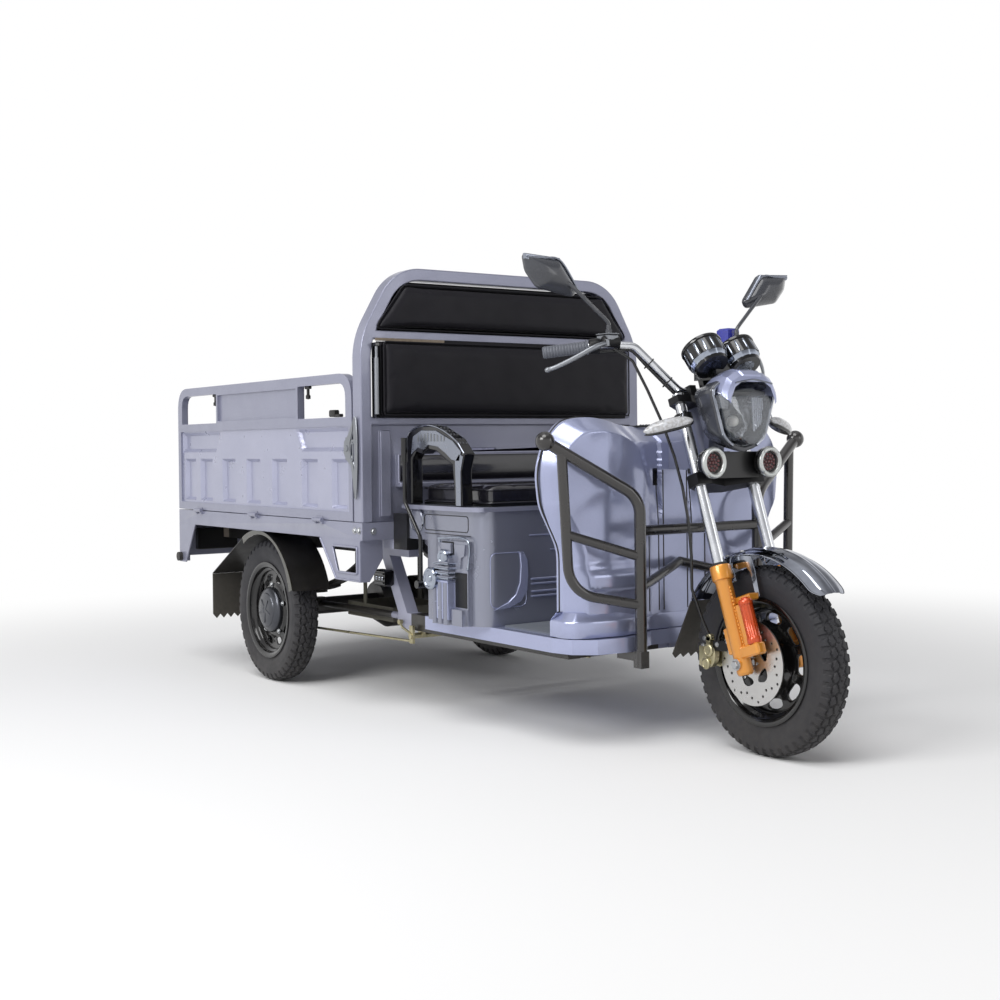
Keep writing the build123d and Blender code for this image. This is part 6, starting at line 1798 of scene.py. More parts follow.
@dataclass
class FrontFender:
    """Chromed front mudguard: a crowned section with two swage lines and a rolled edge."""

    start: float = 41.0
    end: float = 152.0
    half: float = 60.0
    crown: float = 295.0

    def shell(self) -> Shape:
        """Section carried round the axle; both ends are drawn in so that their corners are round."""
        share = np.linspace(-1, 1, 61)
        turn = np.radians(np.linspace(self.start, self.end, 110))
        away = np.minimum(turn - turn[0], turn[-1] - turn) * self.crown
        narrow = 1 - 0.30 * (1 - np.clip(away / 34.0, 0, 1)) ** 2.2
        w = self.half * share[None] * narrow[:, None]
        rise = -15.0 * (np.abs(w) / self.half) ** 2.2
        rise = rise - 2.2 * smooth_step(0.55, 0.62, np.abs(share))[None]
        rise = rise + 2.0 * smooth_step(0.93, 1.0, np.abs(share))[None]
        rise = rise + 1.4 * np.exp(-(w / 5.0) ** 2)
        r = self.crown + rise
        angle = turn[:, None]
        outer = np.stack([r * np.cos(angle), w, r * np.sin(angle)], axis=-1)
        r_in = r - 2.2
        inner = np.stack([r_in * np.cos(angle), w, r_in * np.sin(angle)], axis=-1)[:, ::-1]
        return grid(np.concatenate([outer, inner], axis=1), caps=False) + self.ends(outer, inner)

    def ends(self, outer: np.ndarray, inner: np.ndarray) -> Shape:
        """Strips that close the two ends between the skins."""
        first = grid(np.stack([inner[0][::-1], outer[0]]), wrap_columns=False)
        last = grid(np.stack([outer[-1], inner[-1][::-1]]), wrap_columns=False)
        return first + last

    def stay(self, u: float) -> Shape:
        """Forked stay from the slider to the mudguard's edge, in the fork's axes."""
        plate_half = [(u - 11, 214), (u + 11, 214), (u + 9, 236), (u + 4, 262), (u + 14, 281), (u - 14, 281),
                      (u - 4, 262), (u - 9, 236)]
        blank = prism(plate_half, 4.0, 0.8)
        stood = np.array([[1.0, 0.0, 0.0], [0.0, 0.0, -1.0], [0.0, 1.0, 0.0]])
        upright = blank.placed(stood, (0, -60.0, 0))
        foot = lathe([(9, 0), (9, 12), (6, 13)], (u, -62, 224), (0, -1, 0), 6)
        arch = [(u + 10, 250), (u + 26, 240), (u + 56, 238), (u + 66, 222), (u + 64, 156), (u + 78, 156),
                (u + 84, 222), (u + 82, 262), (u + 52, 272), (u + 10, 276)]
        bridge = prism(arch, 4.0, 0.8).placed(stood, (0, -58.5, 0))
        return upright + foot + bridge

    def build(self, shop: "Workshop") -> None:
        """Make the mudguard in place of the CAD one."""
        shop.piece("front_fender_shell", self.shell().moved(*FRONT_AXLE), CHROME, "fork", 50.0,
                   ["front_fender"])
        stays = (self.stay(2.0)).placed(FORK_AXES, FRONT_AXLE).both()
        shop.piece("front_fender_stays", stays, CHROME, "fork", 30.0)
        bolts = None
        for y in (-1, 1):
            for degrees in (100.0, 112.0):
                turned = math.radians(degrees)
                at = (WHEELBASE + 283 * math.cos(turned), y * 50.0, AXLE_Z + 287 * math.sin(turned))
                head = bolt(at, (math.cos(turned), 0, math.sin(turned)), 5.0)
                bolts = head if bolts is None else bolts + head
        shop.piece("front_fender_bolts", bolts, ZINC_BOLT, "fork")


@dataclass
class Sliders:
    """Orange fork sliders with collars, dust seals, fluted reservoirs, lugs and axle nuts."""

    def body(self) -> Shape:
        """Turned slider with its collar and step rings."""
        profile = [(0.3, -30), (16, -30), (20, -27), (22, -22), (22, 214), (24, 220), (28.0, 223), (28.0, 256),
                   (26.5, 260), (22, 261), (19, 261), (17, 260), (17, 250)]
        return lathe(profile, (0, -FORK_HALF, 0), (0, 0, 1), 48)

    def reservoir(self) -> Shape:
        """Damper cylinder: r = 18 (1 - 0.11 |cos 7 turn|^0.6) along its fluted part."""
        profile = np.array([(0.3, 40), (17, 40), (19, 43), (19, 56), (18, 58), (18, 140), (19, 142),
                            (19, 150), (16, 155), (9, 156), (9, 160), (0.3, 160)], float)
        turn = np.linspace(0, 2 * math.pi, 72, endpoint=False)
        flute = np.array([0, 0, 0, 0, 1, 1, 0, 0, 0, 0, 0, 0], float)[:, None]
        radius = profile[:, 0][:, None] * (1 - 0.11 * np.abs(np.cos(7 * turn))[None] ** 0.6 * flute)
        points = np.stack([radius * np.cos(turn) + 60, radius * np.sin(turn) - FORK_HALF,
                           np.broadcast_to(profile[:, 1][:, None], radius.shape)], axis=-1)
        return grid(points, caps=True)

    def lugs(self) -> Shape:
        """Brackets that carry the reservoir, and the lug at the foot."""
        foot = round_corners([(6, -17), (80, -17), (80, 17), (6, 17)], 10)
        low = prism(foot.tolist(), 31.0, 4.0).moved(0, -FORK_HALF, 10)
        high = box_shape((10, 46), (-FORK_HALF - 5, -FORK_HALF + 5), (38, 148), 2.0)
        for w in range(44, 206, 9):
            bead = lathe([(0.3, -3), (3, -3), (3, 3), (0.3, 3)], (23, -FORK_HALF - 5, w), (0, 0, 1), 8)
            high = high + bead
        rear = box_shape((-34, -16), (-FORK_HALF - 9, -FORK_HALF + 9), (30, 100), 3.0)
        arm = box_shape((14, 76), (-92, -62.5), (150, 168), 3.0)
        return low + high + rear + arm

    def build(self, shop: "Workshop") -> None:
        """Make both sliders in place of the CAD ones."""
        arms = (self.body() + self.lugs()).placed(FORK_AXES, FRONT_AXLE).both()
        axle = lathe([(0.3, -62), (8, -62), (8, 62), (0.3, 62)], FRONT_AXLE, (0, 1, 0), 24)
        side = lathe([(13, -26), (14, -24), (14, 0)], (WHEELBASE, -FORK_HALF, AXLE_Z), (0, 1, 0), 32).both()
        shop.piece("slider_bodies", arms + side, ORANGE_ANODISE, "fork", 32.0, ["fork_sliders"])
        shop.piece("axle_bar", axle, ZINC_BOLT, "fork")
        tanks = self.reservoir().placed(FORK_AXES, FRONT_AXLE).both()
        shop.piece("slider_reservoirs", tanks, DEEP_ORANGE, "fork", 50.0)
        seals = lathe([(16.4, 256), (21, 256), (21, 264), (18, 268), (16.4, 268)], (0, -FORK_HALF, 0),
                      (0, 0, 1), 40, closed=True).placed(FORK_AXES, FRONT_AXLE).both()
        shop.piece("slider_seals", seals, MOULDED_RUBBER, "fork")
        heads = None
        for u, w in ((-34, 40), (-34, 66), (-34, 90)):
            head = lathe([(7.5, 0), (7.5, 4), (5, 7), (0.3, 8)], (u, -FORK_HALF, w), (-1, 0, 0), 12)
            heads = head if heads is None else heads + head
        heads = heads.placed(FORK_AXES, FRONT_AXLE).both()
        heads = heads + bolt((WHEELBASE, -FORK_HALF - 26, AXLE_Z), (0, -1, 0), 11.0).both()
        shop.piece("slider_bolts", heads, ZINC_BOLT, "fork")


@dataclass
class Caliper:
    """Two-pot brake caliper over the rear of the disc, its carrier, pins and hose union."""

    def build(self, shop: "Workshop") -> None:
        """Make the caliper in place of the CAD one; places count from the front axle."""
        turn = np.linspace(0, 2 * math.pi, 72, endpoint=False)
        swing = 20.0 + 3.0 * np.cos(2 * turn)
        outline = np.c_[swing * np.cos(turn), 1.75 * swing * np.sin(turn)]
        tilt = math.radians(-14)
        spin = np.array([[math.cos(tilt), -math.sin(tilt)], [math.sin(tilt), math.cos(tilt)]])
        flat = outline @ spin.T + np.array([WHEELBASE - 134, AXLE_Z + 4])
        outer = prism(flat.tolist(), 23.0, 4.0).placed(RIGHT_SIDE, (0, -73.5, 0))
        inner = prism((flat + [4, 0]).tolist(), 9.0, 2.0).placed(RIGHT_SIDE, (0, -53.0, 0))
        pots = None
        for x, z, radius in ((-129, 21, 17.0), (-139, -15, 15.5)):
            pot = lathe([(radius, 0), (radius, 5), (radius - 2, 7), (radius - 5, 7.6), (radius - 6, 6),
                         (0.3, 5.5)], (WHEELBASE + x, -96, AXLE_Z + z), (0, -1, 0), 36)
            pots = pot if pots is None else pots + pot
        bridge = box_shape((WHEELBASE - 168, WHEELBASE - 152), (-96, -53), (AXLE_Z - 26, AXLE_Z + 32), 4.0)
        arm = prism([(WHEELBASE - 122, AXLE_Z + 20), (WHEELBASE - 30, AXLE_Z + 26), (WHEELBASE - 26, AXLE_Z + 44),
                     (WHEELBASE - 60, AXLE_Z + 52), (WHEELBASE - 122, AXLE_Z + 46)], 8.0, 1.5)
        arm = arm.placed(RIGHT_SIDE, (0, -83, 0))
        top = lathe([(8, -8), (10, -6), (10, 6), (8, 8)], (WHEELBASE - 142, -80, AXLE_Z + 52), (0, 1, 0), 24)
        post = box_shape((WHEELBASE - 150, WHEELBASE - 134), (-88, -74), (AXLE_Z + 30, AXLE_Z + 56), 2.5)
        body = outer + inner + pots + bridge + top + post
        shop.piece("caliper_casting", body, YELLOW_ZINC, "fork", 35.0, ["brake_caliper"])
        shop.piece("caliper_carrier", arm, GRAINED_PLASTIC, "fork")
        pins = None
        for x, z in ((-152, 50), (-158, 30), (-104, 38)):
            head = bolt((WHEELBASE + x, -91, AXLE_Z + z), (0, -1, 0), 5.0)
            pins = head if pins is None else pins + head
        shop.piece("caliper_pins", pins, ZINC_BOLT, "fork")


@dataclass
class SeatTrim:
    """Trim of the cabin: board faces, seat-back band, armrest plates and joints."""

    def boards(self, shop: "Workshop") -> None:
        """Boards covered in black cloth, with the lower one's bare top edge."""
        covered = box_shape((770.3, 776.6), (-496, 488), (905, 1140.5), 1.0)
        covered = covered + box_shape((730.4, 736.8), (-490, 490), (1176, 1200), 1.0)
        loop = [(-508, 1176), (508, 1176), (500, 1198), (408, 1326), (392, 1333), (-392, 1333), (-408, 1326),
                (-500, 1198)]
        covered = covered + prism(loop, 6.4, 1.0).placed(OUT_FRONT, (730.4, 0, 0))
        covered = covered + box_shape((770.3, 776.6), (-250, 488), (1140.0, 1151), 0.8)
        shop.piece("board_covers", covered, LEATHERCLOTH, "chassis", 35.0, ["backrest_boards"])
        bare = box_shape((770.3, 777.0), (-498, -250.5), (1142.5, 1151), 0.6)
        shop.piece("board_top_edge", bare, PLYWOOD, "chassis")

    def band(self, shop: "Workshop") -> None:
        """Glossy band behind the seat: a rounded profile carried across."""
        profile = [(770.2, 708), (773, 708), (775.5, 714), (776, 745), (775.5, 782), (772, 789), (770.2, 789)]
        rows = [np.array([(x, y, z) for x, z in profile]) for y in (-416.0, 416.0)]
        shop.piece("seat_back_band", grid(np.stack(rows)[:, ::-1], caps=True), SEAT_HIDE, "chassis", 35.0)
        rod = lathe([(5, 913), (8, 916), (8, 1088), (5, 1092), (5, 1126), (3, 1128)], (786, -503, 0),
                    (0, 0, 1), 20)
        shop.piece("backrest_strut", rod, CAST_ALUMINIUM, "chassis")
        ears = box_shape((770.4, 794), (-510, -497), (905, 916), 2.0)
        ears = ears + box_shape((770.4, 794), (-510, -497), (1124, 1136), 2.0)
        ears = ears + box_shape((771, 776), (-511.5, -498), (905, 1136), 0.6)
        shop.piece("backrest_strut_ears", ears, POLISHED_PLASTIC, "chassis")

    def arms(self, shop: "Workshop") -> None:
        """Bright plates, grips and studs on the armrests."""
        outer = [(869, 792), (882, 846), (930, 864), (1012, 862), (1104, 830), (1146, 800), (1140, 772),
                 (1118, 772), (1096, 776), (1066, 794), (1022, 814), (968, 820), (944, 806), (908, 812)]
        face = prism([(x + 15, z) for x, z in outer][::-1], 3.0, 1.0).placed(RIGHT_SIDE, (0, -440.2, 0))
        leg = prism([(1158, 642), (1158, 742), (1172, 786), (1152, 792), (1130, 770), (1133, 700),
                     (1134, 642)][::1], 3.0, 1.0).placed(RIGHT_SIDE, (0, -440.2, 0))
        shop.piece("armrest_plates", (face + leg).both(), SATIN_SILVER, "chassis", 30.0)
        path = curve_through([(843, -438, 800), (867, -438, 856), (936, -438, 876), (1025, -438, 872),
                              (1124, -438, 834), (1172, -438, 794)], 60)
        bead = tube(path, 2.6, 8).both()
        shop.piece("armrest_beads", bead, CHROME, "chassis")
        studs = None
        for place in np.linspace(0.22, 0.86, 12):
            at = path[int(place * 59)]
            for y in (-431, -420, -409):
                stud = lathe([(4, -4), (4, 1.4), (2.4, 2.4), (0.3, 2.6)], (at[0], y, at[2] + 1.0), (0, 0, 1), 8)
                studs = stud if studs is None else studs + stud
        shop.piece("armrest_studs", studs.both(), HOUSING_PLASTIC, "chassis")
        mesh = None
        for step in range(9):
            x = 925 + step * 18
            bar = box_shape((x, x + 8), (-444.2, -443.0), (830, 856 - 2.2 * abs(step - 3)), 0.3)
            mesh = bar if mesh is None else mesh + bar
        shop.piece("armrest_mesh", mesh.both(), CAST_ALUMINIUM, "chassis")

    def joints(self, shop: "Workshop") -> None:
        """Joint lines on the seat box and its side disc with a bright ring."""
        face = -430.4
        loop = round_corners([(940, 566), (1178, 566), (1178, 612), (940, 612)], 12)
        ring = np.c_[loop[:, 0], np.full(len(loop), face), loop[:, 1]]
        lines = tube(np.vstack([ring, ring[:1]]), 1.3, 6, ends=False)
        lower = np.array([(940, face, 556), (1190, face, 556)], float)
        lines = lines + tube(np.linspace(lower[0], lower[1], 12), 1.2, 6)
        shop.piece("seat_box_joints", lines.both(), MOULDED_RUBBER, "chassis", 60.0)
        disc = lathe([(36, 0), (36, 3), (32, 7), (20, 10), (0.3, 11.5)], (898, face, 596), (0, -1, 0), 40)
        shop.piece("seat_box_discs", disc.both(), SEAT_LACQUER, "chassis", 40.0)
        ring = lathe([(36, 0), (39, 0), (39.5, 3), (38, 5.5), (36, 5)], (898, face, 596), (0, -1, 0), 40,
                     closed=True)
        shop.piece("seat_box_disc_rings", ring.both(), CHROME, "chassis", 40.0)

    def cover(self, shop: "Workshop") -> None:
        """Bright parts on the moulded side covers, and thin black plates on them as painted shadow."""
        face = -430.4
        shape = lathe([(31, 0), (33, 46), (30, 50), (24, 51), (22, 48), (10, 47), (8, 50), (0.3, 50)],
                      (1038, face, 428), (0, -1, 0), 40)
        shape = shape + lathe([(23, 0), (24, 34), (21, 38), (14, 38), (12, 35), (0.3, 35)], (1090, face, 492),
                              (0, -1, 0), 36)
        for z in (430, 444, 458, 472):
            shape = shape + box_shape((1050, 1130), (-471.5, -442), (z, z + 5.4), 1.2)
        loop = np.array([(1042, 546), (1196, 546), (1200, 470), (1192, 462)], float)
        rail = np.c_[loop[:, 0], np.full(4, -447.0), loop[:, 1]]
        shape = shape + tube(curve_through(rail, 30), 3.0, 8)
        shape = shape + tube(np.array([(1046.0, -446, 546), (1046.0, -446, 500)]), 3.0, 8)
        shop.piece("side_cover_bright", shape.both(), SMOKED_CHROME, "chassis", 35.0)
        fins = None
        for step in range(6):
            x = 1047 + step * 14
            fin = box_shape((x, x + 7), (-467.5, -444), (312, 420), 2.0)
            fins = fin if fins is None else fins + fin
        cap = box_shape((1040, 1124), (-468.5, -444), (418, 427), 2.0)
        shop.piece("side_cover_fins", (fins + cap).both(), SHELL_LACQUER, "chassis", 35.0)
        # Thin black plates laid on the covers as painted shadow
        dark = box_shape((1060, 1122), (-446, -444.6), (500, 538), 1.0)
        dark = dark + box_shape((1130, 1190), (-445.6, -444.6), (350, 450), 1.0)
        shop.piece("side_cover_shadow", dark.both(), GRAINED_PLASTIC, "chassis", 35.0)

    def build(self, shop: "Workshop") -> None:
        """Make all the trim."""
        self.boards(shop)
        self.band(shop)
        self.arms(shop)
        self.joints(shop)
        self.cover(shop)


@dataclass
class SeatBoxFront:
    """Mouldings on the seat box: louvres and a raised loop in front, and a bright ledge on top."""

    x: float = 1250.2

    def build(self, shop: "Workshop") -> None:
        """Make the mouldings."""
        ribs = None
        for z in (378, 392, 414, 428):
            rib = box_shape((self.x, self.x + 4), (-262, 262), (z - 3, z + 3), 1.4)
            ribs = rib if ribs is None else ribs + rib
        for z, low, high in ((511, 120, 192), (555, 190, 266)):
            ribs = ribs + box_shape((self.x, self.x + 3), (low, high), (z - 2, z + 2), 0.8).both()
        loop = round_corners([(-404, 352), (-280, 352), (-280, 508), (-404, 508)], 22)
        ring = np.c_[np.full(len(loop), self.x), loop]
        ribs = ribs + tube(np.vstack([ring, ring[:1]]), 1.6, 8, ends=False).both()
        sweep = [(-396, 346), (-340, 350), (-300, 366), (-278, 396), (-274, 440), (-276, 486), (-286, 500),
                 (-304, 508), (-300, 470), (-304, 420), (-318, 388), (-346, 366)]
        ribs = ribs + prism(sweep, 5.0, 1.6).placed(OUT_FRONT, (self.x - 0.4, 0, 0)).both()
        shop.piece("seat_box_louvres", ribs, SHELL_LACQUER, "chassis", 40.0)
        half = [(844, -430.8), (852, -452), (1230, -452), (1256, -436), (1257, 0)]
        outer = half + [(x, -y) for x, y in reversed(half[:-1])]
        inner = [(850, 430.8), (1250.6, 430.8), (1250.6, -430.8), (850, -430.8)]
        edge = round_corners(outer, [1, 6, 22, 14, 1, 14, 22, 6, 1])
        ledge = plate([edge.tolist(), inner], 12.6).moved(0, 0, 627.2)
        shop.piece("seat_box_ledge", ledge, PANEL_ENAMEL, "chassis", 30.0)


@dataclass
class BedTrim:
    """Bolts, bracket rims, tail lamps, mudguard beads and the small parts under the bed."""

    def build(self, shop: "Workshop") -> None:
        """Make all the trim."""
        heads = None
        for at, way in (((724, -550, 558), (0, -1, 0)), ((750, -550, 558), (0, -1, 0)),
                        ((770, -512, 556), (1, 0, 0)), ((770, -424, 556), (1, 0, 0))):
            head = bolt(at, way, 8.0)
            heads = head if heads is None else heads + head
        shop.piece("bed_bolts", heads.both(), ZINC_BOLT, "chassis")
        window = round_corners([(575, 507), (736, 507), (736, 425), (611, 425)], 9)
        inner = np.c_[window[:, 0], np.full(len(window), -551.0), window[:, 1]]
        rims = tube(np.vstack([inner, inner[:1]]), 4.0, 10, ends=False)
        edge = np.array([(492, 526), (597, 403), (752, 403), (754, 526)], float)
        outer = np.c_[edge[:, 0], np.full(4, -550.5), edge[:, 1]]
        fine = np.vstack([np.linspace(outer[k], outer[k + 1], 12) for k in range(3)])
        rims = rims + tube(fine, 3.4, 10)
        shop.piece("bed_bracket_rims", rims.both(), PANEL_ENAMEL, "chassis", 50.0)
        cases = lenses = amber = None
        for y in (-405.0, 405.0):
            case = box_shape((-685.5, -660.0), (y - 82, y + 82), (424, 506), 3.0)
            red = box_shape((-696, -685.4), (y - 74, y + 20), (431, 499), 3.0)
            side = box_shape((-696, -685.4), (y + 21, y + 74), (431, 499), 3.0)
            cases = case if cases is None else cases + case
            lenses = red if lenses is None else lenses + red
            amber = side if amber is None else amber + side
        shop.piece("tail_lamp_cases", cases, GRAINED_PLASTIC, "chassis", 35.0, ["tail_lamps"])
        shop.piece("tail_lamp_red", lenses, RED_LENS, "chassis")
        shop.piece("tail_lamp_amber", amber, AMBER_LENS, "chassis")
        turn = np.radians(np.linspace(19, 117, 90))[:, None]
        width = 9.0 + 15.0 * np.abs(np.linspace(-1, 1, 90))[:, None] ** 1.5
        profile_r = np.concatenate([280 - width, 281 - 0 * width, 281 - 0 * width, 280 - width], axis=1)
        profile_y = np.broadcast_to(np.array([-542.0, -542.0, -539.0, -539.0]), profile_r.shape)
        flange = np.stack([profile_r * np.cos(turn), profile_y, profile_r * np.sin(turn) + AXLE_Z], axis=-1)
        shop.piece("rear_fender_flanges", grid(flange, caps=True).both(), EDGE_PAINT, "chassis", 40.0)
        box = box_shape((600, 668), (-416, -382), (372, 424), 5.0)
        for z in (384, 398, 412):
            box = box + tube(np.array([(606.0, -417, z), (662.0, -417, z)]), 3.2, 8)
        shop.piece("horn_case", box, POLISHED_PLASTIC, "chassis", 35.0)
        ovals = None
        for x in (618, 636, 654):
            oval = lathe([(6, 0), (7, 2), (5, 4), (3, 3)], (x, -416, 398), (0, -1, 0), 16)
            ovals = oval if ovals is None else ovals + oval
        shop.piece("horn_grilles", ovals, CHROME, "chassis")
        link = tube(np.array([(716.0, -392, 268), (745.0, -398, 250), (796.0, -400, 236)]), 4.0, 8)
        link = link + lathe([(8, -6), (8, 6)], (722, -392, 264), (0, 1, 0), 16)
        shop.piece("brake_bellcrank", link, YELLOW_ZINC, "chassis")
        bars = None
        for step in range(6):
            y = -536 + step * 25.0
            bar = box_shape((-403.2, -399.8), (y, y + 8), (206, 338), 1.2)
            bars = bar if bars is None else bars + bar
        shop.piece("rear_flap_ribs", bars.both(), FLAP_RUBBER, "chassis")


@dataclass
class Studio:
    """Camera, floor, sky and lamps.

    Attributes:
        eye: Camera position in shared metres.
        yaw: Heading of the camera's back in degrees.
        pitch: Its rise in degrees.
        roll: Its roll in degrees.
        lens: Focal length for a 36 mm sensor.
        shift: Lens shift that the picture's framing needs.
    """

    eye: tuple = (3.858, -2.669, 0.814)
    yaw: float = 54.541
    pitch: float = 0.442
    roll: float = -0.645
    lens: float = 51.31
    shift: tuple = (-0.0248, -0.0432)
    floor_size: float = 60.0
    fill_light: float = 0.5

    def camera(self) -> None:
        """Camera at the picture's angle, its axes worked out from yaw, pitch and roll."""
        a, e, r = (math.radians(v) for v in (self.yaw, self.pitch, self.roll))
        back = Vector((math.sin(a) * math.cos(e), -math.cos(a) * math.cos(e), math.sin(e)))
        right = Vector((math.cos(a), math.sin(a), 0.0))
        up = back.cross(right)
        side = right * math.cos(r) + up * math.sin(r)
        over = up * math.cos(r) - right * math.sin(r)
        data = bpy.data.cameras.new("studio_camera")
        data.sensor_width = 36.0
        data.lens = self.lens
        data.shift_x, data.shift_y = self.shift
        data.clip_end = 200.0
        camera = bpy.data.objects.new("studio_camera", data)
        bpy.context.scene.collection.objects.link(camera)
        turned = Matrix((side, over, back)).transposed().to_4x4()
        camera.matrix_world = Matrix.Translation(self.eye) @ turned
        bpy.context.scene.camera = camera

    def floor(self) -> None:
        """Wide plain floor that keeps the machine's shadow."""
        half = self.floor_size / 2
        mesh = bpy.data.meshes.new("studio_floor")
        mesh.from_pydata([(-half, -half, 0), (half, -half, 0), (half, half, 0), (-half, half, 0)], [],
                         [(0, 1, 2, 3)])
        floor = bpy.data.objects.new("studio_floor", mesh)
        bpy.context.scene.collection.objects.link(floor)
        material = bpy.data.materials.new("matt_studio_floor")
        material.use_nodes = True
        tree = material.node_tree
        shader = tree.nodes["Principled BSDF"]
        shader.inputs["Base Color"].default_value = (0.90, 0.90, 0.90, 1.0)
        shader.inputs["Roughness"].default_value = 0.9
        shader.inputs["Specular IOR Level"].default_value = 0.0
        place = add_node(tree, "ShaderNodeTexCoord").outputs["Object"]
        reach = add_node(tree, "ShaderNodeVectorMath", {"operation": "LENGTH"}, {0: place}).outputs["Value"]
        far = add_node(tree, "ShaderNodeMapRange",
                       {"interpolation_type": "SMOOTHSTEP", "From Min": 1.4, "From Max": 4.2},
                       {"Value": reach})
        white = add_node(tree, "ShaderNodeEmission", {"Strength": 1.0})
        path = add_node(tree, "ShaderNodeLightPath")
        some = add_node(tree, "ShaderNodeMath", {"operation": "MAXIMUM"},
                        {0: path.outputs["Is Camera Ray"], 1: path.outputs["Is Glossy Ray"]})
        most = add_node(tree, "ShaderNodeMath", {"operation": "MAXIMUM"},
                        {0: some.outputs[0], 1: path.outputs["Is Transmission Ray"]})
        share = add_node(tree, "ShaderNodeMath", {"operation": "MULTIPLY"},
                         {0: most.outputs[0], 1: far.outputs[0]})
        mix = add_node(tree, "ShaderNodeMixShader", None,
                       {0: share.outputs[0], 1: shader.outputs[0], 2: white.outputs[0]})
        tree.links.new(mix.outputs[0], tree.nodes["Material Output"].inputs[0])
        mesh.materials.append(material)

    def sky(self) -> None:
        """World: white at the horizon, greyer overhead, for soft even light."""
        world = bpy.data.worlds.new("studio_sky")
        world.use_nodes = True
        bpy.context.scene.world = world
        tree = world.node_tree
        tree.nodes.clear()
        out = add_node(tree, "ShaderNodeOutputWorld")
        way = add_node(tree, "ShaderNodeTexCoord").outputs["Generated"]
        rise = add_node(tree, "ShaderNodeSeparateXYZ", None, {0: way}).outputs[2]
        ramp = add_node(tree, "ShaderNodeValToRGB", None, {0: rise})
        stops = ramp.color_ramp.elements
        stops[0].position = 0.0
        stops[0].color = (1.0, 1.0, 1.0, 1.0)
        stops[1].position = 1.0
        stops[1].color = (0.75, 0.76, 0.78, 1.0)
        for place, grey in ((0.36, 1.0), (0.5, 0.42), (0.78, 0.34), (0.9, 0.75)):
            stop = stops.new(place)
            stop.color = (grey, grey, grey * 1.02, 1.0)
        light = add_node(tree, "ShaderNodeBackground", {"Strength": self.fill_light},
                         {"Color": ramp.outputs[0]})
        seen = add_node(tree, "ShaderNodeBackground", {"Strength": 1.0}, {"Color": ramp.outputs[0]})
        path = add_node(tree, "ShaderNodeLightPath")
        some = add_node(tree, "ShaderNodeMath", {"operation": "MAXIMUM"},
                        {0: path.outputs["Is Camera Ray"], 1: path.outputs["Is Glossy Ray"]})
        most = add_node(tree, "ShaderNodeMath", {"operation": "MAXIMUM"},
                        {0: some.outputs[0], 1: path.outputs["Is Transmission Ray"]})
        mix = add_node(tree, "ShaderNodeMixShader", None,
                       {0: most.outputs[0], 1: light.outputs[0], 2: seen.outputs[0]})
        tree.links.new(mix.outputs[0], out.inputs[0])

    def lamp(self, name: str, place: tuple, aim: tuple, size: tuple, power: float) -> None:
        """Soft rectangular lamp at a place, aimed at a point."""
        data = bpy.data.lights.new(name, "AREA")
        data.shape = "RECTANGLE"
        data.size, data.size_y = size
        data.energy = power
        lamp = bpy.data.objects.new(name, data)
        bpy.context.scene.collection.objects.link(lamp)
        lamp.location = place
        lamp.rotation_euler = (Vector(aim) - Vector(place)).to_track_quat("-Z", "Y").to_euler()

    def build(self) -> None:
        """Set up the whole studio."""
        self.camera()
        self.floor()
        self.sky()
        sun = bpy.data.lights.new("overhead_soft_light", "SUN")
        sun.energy = 1.35
        sun.angle = math.radians(38)
        top = bpy.data.objects.new("overhead_soft_light", sun)
        bpy.context.scene.collection.objects.link(top)
        top.rotation_euler = (math.radians(22), math.radians(14), 0)
        self.lamp("key_softbox", (1.2, -4.2, 3.0), (0.0, 0.0, 0.6), (2.4, 1.6), 110.0)
        self.lamp("side_softbox", (5.0, 1.8, 2.2), (0.6, 0.0, 0.6), (1.4, 2.2), 16.0)
        bpy.context.scene.view_settings.view_transform = "Standard"
        LOG.info("studio ready")


